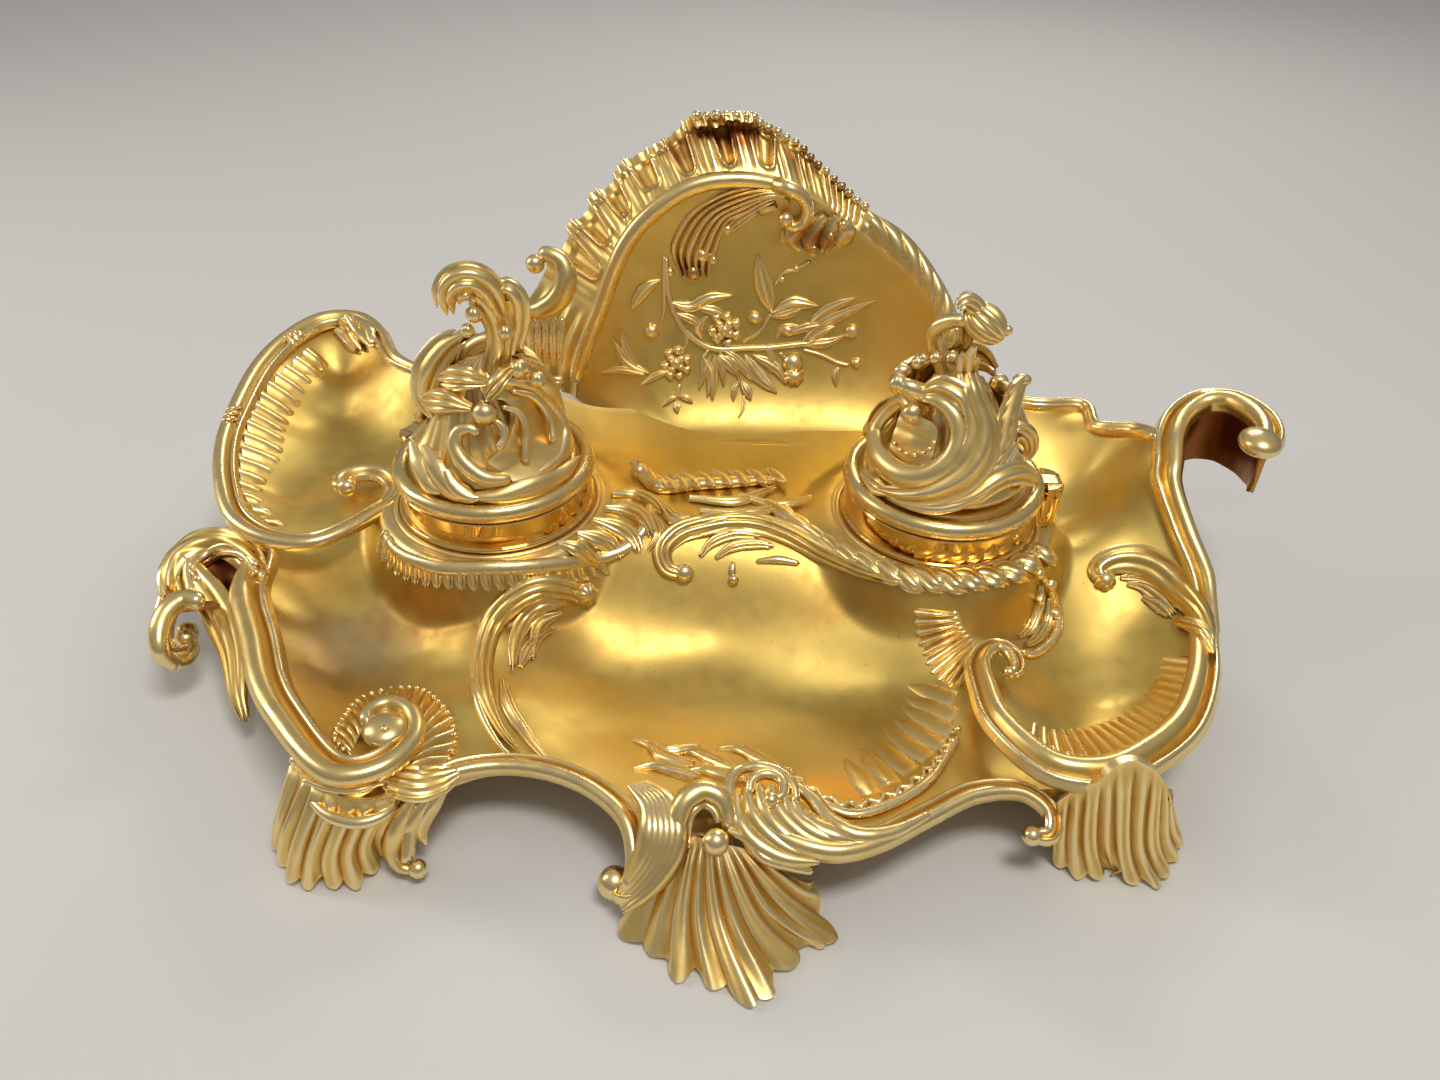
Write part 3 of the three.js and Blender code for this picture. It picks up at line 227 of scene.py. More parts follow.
def moulding(path, section, width, thickness, up=(0, 0, 1), taper=(1, 1), end_round=1.0):
    """A section swept along a path. Section points are shares of half the width and thickness."""
    count = len(path)
    forward = unit(np.gradient(path, axis=0))
    up = np.broadcast_to(np.asarray(up, float), path.shape)
    side = np.cross(forward, up)
    weak = np.linalg.norm(side, axis=1) < 0.25
    if weak.any() and not weak.all():
        strong = np.flatnonzero(~weak)
        for place in np.flatnonzero(weak):
            side[place] = side[strong[np.argmin(abs(strong - place))]]
    side = unit(side - forward * (side * forward).sum(1, keepdims=True))
    rise = np.cross(side, forward)
    lengths = lengths_along(path)
    scale = shares_along(taper, count)
    near = np.minimum(lengths, lengths[-1] - lengths)
    reach = np.maximum(end_round * width / 2 * scale, 0.05)
    fade = np.sqrt(np.clip(1 - (1 - np.clip(near / reach, 0, 1)) ** 2, 0.0004, 1))
    scale = (scale * fade)[:, None, None]
    section = np.asarray(section, float)
    if section.ndim == 2:
        section = np.broadcast_to(section, (count, *section.shape))
    points = (path[:, None] + side[:, None] * section[..., :1] * scale * width / 2
              + rise[:, None] * section[..., 1:] * scale * thickness / 2)
    return closed_rings(points)


def closed_rings(points):
    count, around = points.shape[:2]
    index = np.arange(count * around).reshape(count, around)
    ahead = np.roll(index, -1, axis=1)
    faces = np.stack([index[:-1], ahead[:-1], ahead[1:], index[1:]], -1).reshape(-1, 4).tolist()
    faces += [index[0, ::-1].tolist(), index[-1].tolist()]
    return points.reshape(-1, 3), faces


def turned(profile, sides=96, lobes=0, lobe_depth=0.0):
    """A turned solid about z from radius and height pairs, with optional lobes round it."""
    turn = np.linspace(0, 2 * math.pi, sides, endpoint=False)
    profile = np.asarray(profile, float)
    wave = 1 - lobe_depth * (1 - abs(np.cos(turn * lobes / 2))) if lobes else np.ones(sides)
    radius = profile[:, 0][:, None] * wave[None]
    rings = np.stack([radius * np.cos(turn), radius * np.sin(turn),
                      np.broadcast_to(profile[:, 1][:, None], radius.shape)], -1)
    return closed_rings(rings)


def ball(centre, radii, turn=None, rings=10, lobes=0, lobe_depth=0.0):
    lift = np.linspace(-math.pi / 2, math.pi / 2, rings + 1)
    profile = np.stack([np.maximum(np.cos(lift), 0.004), np.sin(lift)], -1)
    points, faces = turned(profile, 2 * rings if not lobes else 6 * lobes, lobes, lobe_depth)
    points = points * np.asarray(radii, float)
    if turn is not None:
        points = points @ np.asarray(turn, float).T
    return points + np.asarray(centre, float), faces


def rounded(count=14, flat=0.25):
    """A half round over a softly curved back."""
    turn = np.linspace(0, 2 * math.pi, count, endpoint=False)
    high = np.sin(turn)
    return np.stack([np.cos(turn), np.where(high < 0, high * flat, high)], -1)


# default colour of the painted shade in the hollows of the gilding
HOLLOW_SHADE_COLOR = (0.165, 0.052, 0.012)


def hollow_shares(points, edges, normals):
    """How hollow the surface is round each point: 1 in a groove, 0 on a crest, 0.5 on a flat."""
    first, second = edges[:, 0], edges[:, 1]
    span = points[second] - points[first]
    square = np.maximum((span ** 2).sum(1), 1e-4)
    total, number = np.zeros(len(points)), np.zeros(len(points))
    for here, sign in ((first, 1.0), (second, -1.0)):
        bend = sign * (normals[here] * span).sum(1) * 2 / square
        np.add.at(total, here, np.clip(bend, -1.5, 1.5))
        np.add.at(number, here, 1)
    bend = total / np.maximum(number, 1)
    for _ in range(3):
        spread = bend.copy()
        np.add.at(spread, first, bend[second])
        np.add.at(spread, second, bend[first])
        bend = spread / (number + 1)
    return 0.5 + 0.5 * np.tanh(bend * 2.2)


def outward_mesh(name, points, faces):
    """A mesh whose faces look outward."""
    mesh = bpy.data.meshes.new(name)
    mesh.from_pydata(points.tolist(), [], faces)
    shape = bmesh.new()
    shape.from_mesh(mesh)
    bmesh.ops.recalc_face_normals(shape, faces=shape.faces)
    shape.to_mesh(mesh)
    shape.free()
    return mesh


def pour(casting, name, material, **finish):
    """Makes one finished piece of a casting and hands it to the frame."""
    mesh = outward_mesh(name, metres(np.concatenate(casting.points)), casting.faces)
    return finish_piece(mesh, name, material, **finish)


def finish_piece(mesh, name, material, body="stand", slot="gilt_tray", nodes=("tray_casting",),
                 smooth_angle=50):
    mesh.shade_smooth()
    mesh.set_sharp_from_angle(angle=math.radians(smooth_angle))
    total = len(mesh.vertices)
    points, normals = np.empty(total * 3), np.empty(total * 3)
    edges = np.empty(len(mesh.edges) * 2, int)
    mesh.vertices.foreach_get("co", points)
    mesh.vertices.foreach_get("normal", normals)
    mesh.edges.foreach_get("vertices", edges)
    # how hollow each point is, which the gilding uses to paint shade in the hollows and a highlight on the
    # crests
    hollow = hollow_shares(points.reshape(-1, 3) * 1000, edges.reshape(-1, 2), normals.reshape(-1, 3))
    layer = mesh.attributes.new("hollow", "FLOAT", "POINT")
    layer.data.foreach_set("value", hollow.astype(np.float32))
    piece = bpy.data.objects.new(name, mesh)
    bpy.context.scene.collection.objects.link(piece)
    mesh.materials.clear()
    mesh.materials.append(material)
    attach(piece, body)
    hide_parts(*nodes)
    return piece


# Fire gilding, the finish of every cast piece: satin gold over bronze, smoother where hands polish the
# crests, painted paler there as a highlight and red-brown in the hollows as painted shade, with fine casting
# grain and pits.
def gilding_group():
    group = bpy.data.node_groups.new("fire_gilding", "ShaderNodeTree")
    for socket, kind, value in (
            ("Gold", "NodeSocketColor", (0.84, 0.58, 0.16, 1)),
            ("Olive", "NodeSocketColor", (0.66, 0.48, 0.13, 1)),
            ("Crest", "NodeSocketColor", (0.98, 0.78, 0.40, 1)),
            ("Hollow Color", "NodeSocketColor", (*HOLLOW_SHADE_COLOR, 1)),
            ("Hollow Strength", "NodeSocketFloat", 0.8),
            ("Satin", "NodeSocketFloat", 0.43),
            ("Grain", "NodeSocketFloat", 0.4)):
        made = group.interface.new_socket(name=socket, in_out="INPUT", socket_type=kind)
        made.default_value = value
    for socket, kind in (("Color", "NodeSocketColor"), ("Roughness", "NodeSocketFloat"),
                         ("Height", "NodeSocketFloat")):
        group.interface.new_socket(name=socket, in_out="OUTPUT", socket_type=kind)
    nodes, links = group.nodes, group.links
    given, out = nodes.new("NodeGroupInput"), nodes.new("NodeGroupOutput")
    place = nodes.new("ShaderNodeTexCoord")

    def noise(scale, detail, roughness=0.55):
        texture = nodes.new("ShaderNodeTexNoise")
        texture.inputs["Scale"].default_value = scale
        texture.inputs["Detail"].default_value = detail
        texture.inputs["Roughness"].default_value = roughness
        links.new(place.outputs["Object"], texture.inputs["Vector"])
        return texture.outputs["Fac"]

    def ranged(value, low, high, to_low=0.0, to_high=1.0):
        node = nodes.new("ShaderNodeMapRange")
        node.clamp = True
        for socket, amount in (
                ("From Min", low), ("From Max", high), ("To Min", to_low), ("To Max", to_high)):
            node.inputs[socket].default_value = amount
        links.new(value, node.inputs["Value"])
        return node.outputs["Result"]

    def math_of(operation, first, second):
        node = nodes.new("ShaderNodeMath")
        node.operation = operation
        for socket, value in enumerate((first, second)):
            if isinstance(value, float):
                node.inputs[socket].default_value = value
            else:
                links.new(value, node.inputs[socket])
        return node.outputs[0]

    def blend(amount, first, second):
        node = nodes.new("ShaderNodeMix")
        node.data_type = "RGBA"
        links.new(amount, node.inputs["Factor"])
        links.new(first, node.inputs["A"])
        links.new(second, node.inputs["B"])
        return node.outputs["Result"]

    cloud = ranged(noise(22.0, 3.0), 0.40, 0.62)
    mottle = noise(160.0, 4.0)
    grain = noise(900.0, 3.0, 0.6)
    tone = blend(cloud, given.outputs["Gold"], given.outputs["Olive"])
    hollow = nodes.new("ShaderNodeAttribute")
    hollow.attribute_name = "hollow"
    uneven = math_of("MULTIPLY_ADD", mottle, 0.16)
    uneven.node.inputs[2].default_value = -0.08
    bent = math_of("ADD", hollow.outputs["Fac"], uneven)
    # painted highlight: crests blend towards the paler Crest colour; painted shade: hollows blend towards the
    # dark Hollow Color
    crest = ranged(bent, 0.44, 0.22)
    low = math_of("MULTIPLY", ranged(bent, 0.54, 0.86), given.outputs["Hollow Strength"])
    tone = blend(crest, tone, given.outputs["Crest"])
    tone = blend(low, tone, given.outputs["Hollow Color"])
    pits = nodes.new("ShaderNodeTexVoronoi")
    pits.inputs["Scale"].default_value = 260.0
    links.new(place.outputs["Object"], pits.inputs["Vector"])
    pit = math_of("MULTIPLY", ranged(pits.outputs["Distance"], 0.10, 0.03), ranged(mottle, 0.5, 0.62))
    tone = blend(math_of("MULTIPLY", pit, 0.6), tone, given.outputs["Hollow Color"])
    links.new(tone, out.inputs["Color"])
    rough = math_of("ADD", given.outputs["Satin"], ranged(mottle, 0.3, 0.7, -0.05, 0.09))
    rough = math_of("ADD", rough, math_of("MULTIPLY", low, 0.25))
    links.new(math_of("SUBTRACT", rough, math_of("MULTIPLY", crest, 0.08)), out.inputs["Roughness"])
    height = math_of("MULTIPLY", grain, given.outputs["Grain"])
    height = math_of("ADD", height, math_of("MULTIPLY", mottle, 0.5))
    links.new(math_of("SUBTRACT", height, pit), out.inputs["Height"])
    return group


fire_gilding = gilding_group()


def stain_and_shade_group():
    """A soft-edged patch round one place of the gilding, used both for stains and for patches of painted
    shade.
    """
    group = bpy.data.node_groups.new("stain_and_shade_patch", "ShaderNodeTree")
    for socket, kind in (
            ("Color", "NodeSocketColor"), ("Patch Color", "NodeSocketColor"), ("Centre", "NodeSocketVector"),
            ("Reach", "NodeSocketVector"), ("Strength", "NodeSocketFloat")):
        group.interface.new_socket(name=socket, in_out="INPUT", socket_type=kind)
    group.interface.new_socket(name="Color", in_out="OUTPUT", socket_type="NodeSocketColor")
    nodes, links = group.nodes, group.links
    given, out = nodes.new("NodeGroupInput"), nodes.new("NodeGroupOutput")
    place, cloud = nodes.new("ShaderNodeTexCoord"), nodes.new("ShaderNodeTexNoise")
    away, scaled, length = (nodes.new("ShaderNodeVectorMath") for _ in range(3))
    away.operation, scaled.operation, length.operation = "SUBTRACT", "DIVIDE", "LENGTH"
    ragged, share = (nodes.new("ShaderNodeMath") for _ in range(2))
    soft = nodes.new("ShaderNodeMapRange")
    ragged.operation, share.operation = "MULTIPLY_ADD", "MULTIPLY"
    cloud.inputs["Scale"].default_value, cloud.inputs["Detail"].default_value = 85.0, 4.0
    ragged.inputs[1].default_value = 1.5
    for socket, amount in (("From Min", 2.05), ("From Max", 1.25), ("To Min", 0.0), ("To Max", 1.0)):
        soft.inputs[socket].default_value = amount
    mixed = nodes.new("ShaderNodeMix")
    mixed.data_type = "RGBA"
    links.new(place.outputs["Object"], away.inputs[0])
    links.new(given.outputs["Centre"], away.inputs[1])
    links.new(away.outputs["Vector"], scaled.inputs[0])
    links.new(given.outputs["Reach"], scaled.inputs[1])
    links.new(scaled.outputs["Vector"], length.inputs[0])
    links.new(place.outputs["Object"], cloud.inputs["Vector"])
    links.new(cloud.outputs["Fac"], ragged.inputs[0])
    links.new(length.outputs["Value"], ragged.inputs[2])
    links.new(ragged.outputs[0], soft.inputs["Value"])
    links.new(soft.outputs["Result"], share.inputs[0])
    links.new(given.outputs["Strength"], share.inputs[1])
    links.new(share.outputs[0], mixed.inputs["Factor"])
    links.new(given.outputs["Color"], mixed.inputs["A"])
    links.new(given.outputs["Patch Color"], mixed.inputs["B"])
    links.new(mixed.outputs["Result"], out.inputs["Color"])
    return group


stain_and_shade_patch = stain_and_shade_group()


def stain_and_shade(material, view, patches):
    """Stains and patches of painted shade on a finish, each with its place in the picture, its reach, a color
    and a strength.
    """
    tree = material.node_tree
    shader = tree.nodes["Principled BSDF"]
    for place, reach, color, strength in patches:
        before = shader.inputs["Base Color"].links[0].from_socket
        node = tree.nodes.new("ShaderNodeGroup")
        node.node_tree = stain_and_shade_patch
        node.inputs["Patch Color"].default_value = (*color, 1)
        node.inputs["Centre"].default_value = tuple(metres(view.at([place])[0])[0])
        node.inputs["Reach"].default_value = tuple(np.array(reach) / 1000)
        node.inputs["Strength"].default_value = strength
        tree.links.new(before, node.inputs["Color"])
        tree.links.new(node.outputs["Color"], shader.inputs["Base Color"])


def gilt_material(name, bump=0.12, **values):
    material = bpy.data.materials.new(name)
    material.use_nodes = True
    tree = material.node_tree
    shader = tree.nodes["Principled BSDF"]
    shader.inputs["Metallic"].default_value = 1.0
    finish = tree.nodes.new("ShaderNodeGroup")
    finish.node_tree = fire_gilding
    for socket, value in values.items():
        socket = socket.replace("_", " ").title()
        finish.inputs[socket].default_value = (*value, 1) if isinstance(value, tuple) else value
    relief = tree.nodes.new("ShaderNodeBump")
    relief.inputs["Strength"].default_value = bump
    relief.inputs["Distance"].default_value = 0.0004
    tree.links.new(finish.outputs["Color"], shader.inputs["Base Color"])
    tree.links.new(finish.outputs["Roughness"], shader.inputs["Roughness"])
    tree.links.new(finish.outputs["Height"], relief.inputs["Height"])
    tree.links.new(relief.outputs["Normal"], shader.inputs["Normal"])
    return material


gilt_tray = gilt_material("gilt_tray")
gilt_border = gilt_material("gilt_border", gold=(0.90, 0.64, 0.21), olive=(0.80, 0.56, 0.17), satin=0.34,
                            grain=0.3, hollow_color=(0.40, 0.19, 0.04), hollow_strength=0.75)


# Tray casting, the dished sheet: one bronze casting, 3.6 mm thick, whose surface dips into the
# pen basin and the side dishes and rises to two round platforms that carry the ink pots.
HALF_WIDTH, HALF_DEPTH, BORDER_HEIGHT = 200.0, 120.0, 50.0
TRAY_WALL, SEAT_HEIGHT, SEAT_RADIUS, SEAT_FALL = 3.6, 45.0, 37.0, 10.0
TRAY_CELL = 1.25
TRAY_SCALE = np.array([HALF_WIDTH, HALF_DEPTH, BORDER_HEIGHT])
EDGE_SHARES = [
    (-0.559, 0.514, 1.12), (-0.632, 0.601, 1.12), (-0.681, 0.747, 1.14), (-0.745, 0.878, 1.14),
    (-0.804, 0.859, 1.14), (-0.848, 0.718, 1.12), (-0.872, 0.553, 1.08), (-0.872, 0.339, 1.02),
    (-0.862, 0.175, 0.96), (-0.823, 0, 0.9), (-0.794, -0.107, 0.78), (-0.764, -0.194, 0.68),
    (-0.73, -0.339, 0.63), (-0.676, -0.514, 0.62), (-0.632, -0.66, 0.62), (-0.564, -0.795, 0.62),
    (-0.491, -0.848, 0.58), (-0.42, -0.87, 0.5), (-0.375, -0.872, 0.45), (-0.31, -0.825, 0.44),
    (-0.22, -0.825, 0.44), (-0.14, -0.875, 0.44), (-0.09, -0.945, 0.46), (0.01, -0.94, 0.5),
    (0.09, -0.93, 0.49), (0.16, -1, 0.45), (0.225, -0.99, 0.44), (0.295, -0.92, 0.44),
    (0.37, -0.845, 0.44), (0.445, -0.835, 0.45), (0.495, -0.847, 0.52), (0.549, -0.815, 0.58),
    (0.617, -0.776, 0.62), (0.686, -0.679, 0.62), (0.735, -0.533, 0.64), (0.774, -0.369, 0.66),
    (0.779, -0.213, 0.76), (0.759, -0.078, 0.92), (0.74, 0.029, 1.12), (0.74, 0.145, 1.28),
    (0.73, 0.262, 1.2), (0.671, 0.349, 1.12), (0.671, 0.456, 1.12), (0.588, 0.456, 1.12),
    (0.53, 0.486, 1.1), (0.45, 0.5, 0.96), (0.28, 0.52, 0.92), (0.08, 0.52, 0.92),
    (-0.12, 0.5, 0.92), (-0.25, 0.48, 0.96), (-0.35, 0.52, 1.06), (-0.459, 0.548, 1.12),
]
SPOT_SHARES = [
    (0.09, 0.38, 0.81), (-0.2, 0.35, 0.82), (0.35, 0.35, 0.82), (0.55, 0.28, 0.8), (0.67, 0.12, 0.82),
    (-0.5, 0.34, 0.82),
    (-0.73, 0.5, 0.74), (-0.72, 0.22, 0.72), (-0.8, 0.4, 0.8), (-0.76, 0.7, 0.86),
    (-0.63, 0.4, 0.8), (-0.64, 0.1, 0.78), (-0.76, 0.06, 0.74), (-0.7, -0.06, 0.74),
    (-0.58, -0.16, 0.62), (-0.52, -0.26, 0.52), (-0.65, -0.3, 0.48), (-0.6, -0.5, 0.4),
    (-0.49, -0.58, 0.38), (-0.45, -0.42, 0.42), (-0.46, -0.74, 0.44), (-0.7, -0.24, 0.56),
    (-0.37, -0.4, 0.58), (-0.33, -0.64, 0.5),
    (0, -0.45, 0.26), (-0.19, -0.44, 0.3), (0.18, -0.46, 0.28), (0, -0.68, 0.3),
    (0, -0.3, 0.4), (0.19, -0.72, 0.34), (-0.17, -0.66, 0.34), (0.28, -0.46, 0.36),
    (-0.24, -0.26, 0.5), (0.02, -0.83, 0.44),
    (0, 0.02, 0.86), (-0.15, 0.03, 0.87), (0.17, 0.01, 0.87), (-0.12, -0.15, 0.82), (0.02, -0.16, 0.8),
    (0.14, -0.15, 0.82),
    (0.35, -0.4, 0.56), (0.43, -0.26, 0.64), (0.44, -0.56, 0.5), (0.6, -0.5, 0.3),
    (0.54, -0.66, 0.36), (0.68, -0.48, 0.4), (0.6, -0.33, 0.38), (0.65, -0.66, 0.48),
    (0.5, -0.42, 0.42), (0.7, -0.24, 0.54),
    (0.6, -0.06, 0.72), (0.7, -0.08, 0.78), (0.66, 0.24, 0.88),
]
EDGE = np.array(EDGE_SHARES)
SPOTS = np.concatenate([EDGE, np.array(SPOT_SHARES)])


def bend_kernel(places, centres):
    square = ((places[:, None, :2] - centres[None, :, :2]) ** 2).sum(-1)
    return square * np.log(np.maximum(square, 1e-12))


spot_terms = np.concatenate([np.ones((len(SPOTS), 1)), SPOTS[:, :2]], 1)
plate_matrix = np.zeros((len(SPOTS) + 3, len(SPOTS) + 3))
plate_matrix[:-3, :-3] = bend_kernel(SPOTS, SPOTS)
plate_matrix[:-3, -3:] = spot_terms
plate_matrix[-3:, :-3] = spot_terms.T
PLATE_WEIGHTS = np.linalg.solve(plate_matrix, np.concatenate([SPOTS[:, 2], np.zeros(3)]))


def smooth_step(value, low, high):
    share = np.clip((value - low) / (high - low), 0, 1)
    return share * share * (3 - 2 * share)


def tray_height(x, y):
    """Height of the tray's upper surface."""
    x, y = np.asarray(x, float), np.asarray(y, float)
    places = np.stack([x.ravel() / HALF_WIDTH, y.ravel() / HALF_DEPTH], -1)
    terms = np.concatenate([bend_kernel(places, SPOTS), np.ones((len(places), 1)), places], 1)
    height = (terms @ PLATE_WEIGHTS).reshape(x.shape) * BORDER_HEIGHT
    for side in (-1, 1):
        away = np.hypot(x - side * POT_REACH, y)
        fade = smooth_step(away, SEAT_RADIUS, SEAT_RADIUS + SEAT_FALL)
        height = SEAT_HEIGHT + (height - SEAT_HEIGHT) * fade
    return height


def on_tray(x, y, proud=0.0):
    return np.stack([np.asarray(x, float), np.asarray(y, float), tray_height(x, y) + proud], -1)


tray_outline = spline(EDGE * TRAY_SCALE, 1.2, closed=True)[:, :2]


def inside_outline(x, y, outline):
    inside = np.zeros(x.shape, bool)
    for start, end in zip(outline, np.roll(outline, -1, axis=0)):
        crosses = (start[1] > y) != (end[1] > y)
        reach = start[0] + (y - start[1]) * (end[0] - start[0]) / (end[1] - start[1] + 1e-12)
        inside ^= crosses & (x < reach)
    return inside


def nearest_on_outline(places, outline):
    starts, ends = outline, np.roll(outline, -1, axis=0)
    best, result = np.full(len(places), 1e9), places.copy()
    for start, end in zip(starts, ends):
        span = end - start
        share = np.clip(((places - start) @ span) / max(span @ span, 1e-9), 0, 1)
        spot = start + share[:, None] * span
        away = np.linalg.norm(places - spot, axis=1)
        closer = away < best
        best[closer], result[closer] = away[closer], spot[closer]
    return result


tray_casting = Casting()
columns = np.arange(-HALF_WIDTH, HALF_WIDTH + TRAY_CELL, TRAY_CELL)
lines = np.arange(-HALF_DEPTH - 2, HALF_DEPTH + TRAY_CELL, TRAY_CELL)
cell_x, cell_y = np.meshgrid(columns, lines)
middle_x, middle_y = cell_x[:-1, :-1] + TRAY_CELL / 2, cell_y[:-1, :-1] + TRAY_CELL / 2
keep = inside_outline(middle_x, middle_y, tray_outline)
for side in (-1, 1):
    keep &= np.hypot(middle_x - side * POT_REACH, middle_y) > SEAT_RADIUS - 1.5
index = np.arange(cell_x.size).reshape(cell_x.shape)
cells = np.stack([index[:-1, :-1], index[:-1, 1:], index[1:, 1:], index[1:, :-1]], -1)[keep]
used, cells = np.unique(cells, return_inverse=True)
cells = cells.reshape(-1, 4)
plan = np.stack([cell_x.ravel()[used], cell_y.ravel()[used]], -1)
sides_of = np.sort(np.concatenate([cells[:, [corner, (corner + 1) % 4]] for corner in range(4)]), 1)
side_keys, side_counts = np.unique(sides_of, axis=0, return_counts=True)
rim_sides = side_keys[side_counts == 1]
rim = np.unique(rim_sides)
for side in (-1, 1):
    centre = np.array([side * POT_REACH, 0.0])
    around = rim[np.linalg.norm(plan[rim] - centre, axis=1) < SEAT_RADIUS + 3]
    plan[around] = centre + unit(plan[around] - centre) * (SEAT_RADIUS - 1.5)
    rim = np.setdiff1d(rim, around)
plan[rim] = nearest_on_outline(plan[rim], tray_outline)
upper = on_tray(plan[:, 0], plan[:, 1])
lower = upper - np.array([0, 0, TRAY_WALL])
directed = {(cell[corner], cell[(corner + 1) % 4]) for cell in cells.tolist() for corner in range(4)}
total = len(upper)
walls = []
for first, second in rim_sides.tolist():
    if (first, second) not in directed:
        first, second = second, first
    walls.append((second, first, first + total, second + total))
faces = cells.tolist() + (cells[:, ::-1] + total).tolist() + walls
tray_casting.add(np.concatenate([upper, lower]), faces)

# the turned seats, each a flat ring with a raised bead round the foot of its pot
SEAT_BORE = 27.8
for side in (-1, 1):
    turn = np.linspace(0, math.pi, 8)
    bead = [(33.6 - 0.9 * math.cos(angle), SEAT_HEIGHT + 0.7 * math.sin(angle)) for angle in turn]
    seat = [(SEAT_BORE, SEAT_HEIGHT - TRAY_WALL), (SEAT_BORE, SEAT_HEIGHT), *bead,
            (SEAT_RADIUS - 1.2, SEAT_HEIGHT + 0.02), (SEAT_RADIUS - 0.6, SEAT_HEIGHT - 0.5),
            (SEAT_RADIUS - 0.6, SEAT_HEIGHT - TRAY_WALL)]
    points, faces = turned(seat + seat[:1])
    tray_casting.add(points + np.array([side * POT_REACH, 0, 0]), faces[:-2])


class Carrier:
    """A view of a casting that tells where a place of the picture lies on it, and the way up there."""

    def __init__(self, points, normals, near=4, layer=1e6):
        facing = ((EYE - points) * normals).sum(1) > 0
        self.points, self.normals, self.near, self.layer = points[facing], normals[facing], near, layer
        self.away = np.linalg.norm(self.points - EYE, axis=1)
        places = picture_place(self.points)
        self.tree = kdtree.KDTree(len(places))
        for number, place in enumerate(places):
            self.tree.insert((place[0], place[1], 0), number)
        self.tree.balance()

    def at(self, places):
        found, normals = [], []
        for place in places:
            near = self.tree.find_n((place[0], place[1], 0), self.near)
            numbers = [number for _, number, _ in near]
            weights = np.array([1 / (away + 0.15) for _, _, away in near])
            weights *= self.away[numbers] < self.away[numbers].min() + self.layer
            weights /= weights.sum()
            found.append((self.points[numbers] * weights[:, None]).sum(0))
            normals.append((self.normals[numbers] * weights[:, None]).sum(0))
        return np.array(found), unit(np.array(normals))


step = 0.5
slope_x = (tray_height(plan[:, 0] + step, plan[:, 1]) - tray_height(plan[:, 0] - step, plan[:, 1]))
slope_y = (tray_height(plan[:, 0], plan[:, 1] + step) - tray_height(plan[:, 0], plan[:, 1] - step))
tray_normals = unit(np.stack([-slope_x, -slope_y, np.ones(len(plan))], -1))
tray_view = Carrier(upper, tray_normals)

tray_dish = pour(tray_casting, "tray_dish", gilt_tray)
TRAY_STAINS = (
    ((340, 655), (24, 20, 14), (0.40, 0.30, 0.24), 0.45), ((432, 598), (26, 12, 16), (0.46, 0.20, 0.04), 0.7),
    ((862, 590), (34, 9, 14), (0.44, 0.22, 0.05), 0.6), ((828, 796), (26, 9, 14), (0.98, 0.46, 0.05), 0.7),
    ((560, 640), (22, 20, 12), (0.60, 0.36, 0.09), 0.5), ((1010, 610), (16, 10, 12), (0.50, 0.26, 0.06), 0.5))
stain_and_shade(gilt_tray, tray_view, TRAY_STAINS)


# Ornament kit, first used by the borders: ridged leaves, fluted fans and lobed buds, laid on the
# casting where the picture shows them.
def window(left, top, zoom):
    """Places read in an enlarged part of the picture, as places of the whole picture."""
    return lambda *places: [(left + x / zoom, top + y / zoom) for x, y in places]


LAID_STEP = 0.7


def laid(view, places, proud=0.0):
    """A path over the casting through places of the picture, with the way up along it."""
    points, normals = view.at(places)
    path = spline(points + normals * np.asarray(proud, float).reshape(-1, 1), LAID_STEP)
    return path, unit(even_steps(normals, count=len(path)))


def leaf(path, ups, half_widths, ridges=5, ridge=0.5, camber=1.0, scallop=0.12, thickness=1.1, slant=0.0,
         tip=0.35, detail=8):
    """A ridged leaf along a midrib, whose ridges end in a scalloped tip."""
    path = np.asarray(path, float)
    count = len(path)
    ups = unit(np.broadcast_to(np.asarray(ups, float), path.shape).copy())
    forward = unit(np.gradient(path, axis=0))
    side = unit(np.cross(forward, ups))
    ups = unit(np.cross(side, forward))
    rows = max(16, min(count, 90))
    across = np.linspace(-1, 1, ridges * detail + 1)
    along = np.linspace(0, 1, rows)
    v, u = np.meshgrid(across, along)
    wave = abs(np.cos(v * ridges * math.pi / 2 + slant * u * math.pi))
    reach = 1 - scallop * (1 - wave) - tip * 0.5 * v ** 4 * (1 - 0.5 * wave)
    u = u * reach
    marks = np.linspace(0, 1, count)

    def at(values):
        return np.stack([np.interp(u, marks, values[:, axis]) for axis in range(3)], -1)

    width = np.interp(u, np.linspace(0, 1, len(half_widths)), half_widths)
    ease = np.sqrt(np.clip(width / max(half_widths), 0, 1))
    high = camber * (1 - v ** 2) * ease + ridge * (wave - 0.5) * ease
    spine, rise, aside = at(path), unit(at(ups)), unit(at(side))
    top = spine + aside * (v * width)[..., None] + rise * high[..., None]
    under = thickness * (0.3 + 0.7 * np.sqrt(np.clip(1 - v ** 2, 0, 1))) * np.clip(ease, 0.25, 1)
    return closed_sheet(top, top - rise * under[..., None])


def fan(inner, outer, ups, flutes, depth=0.8, scallop=0.06, lift=(0, 0.6, 0.4), thickness=1.2, rows=16,
        detail=8):
    """A fluted fan between two curves, with a scalloped outer edge."""
    columns = flutes * detail + 1
    inner, outer = (even_steps(np.asarray(edge, float), count=columns) for edge in (inner, outer))
    t, s = np.meshgrid(np.linspace(0, 1, columns), np.linspace(0, 1, rows))
    wave = abs(np.sin(t * flutes * math.pi))
    s = s * (1 - scallop * (1 - wave))
    flat = inner[None] * (1 - s[..., None]) + outer[None] * s[..., None]
    high = np.interp(s, np.linspace(0, 1, len(lift)), lift) + depth * (wave - 0.5) * smooth_step(s, 0, 0.25)
    ups = unit(np.broadcast_to(np.asarray(ups, float), (columns, 3)).copy())
    top = flat + ups[None] * high[..., None]
    return closed_sheet(top, top - ups[None] * thickness)


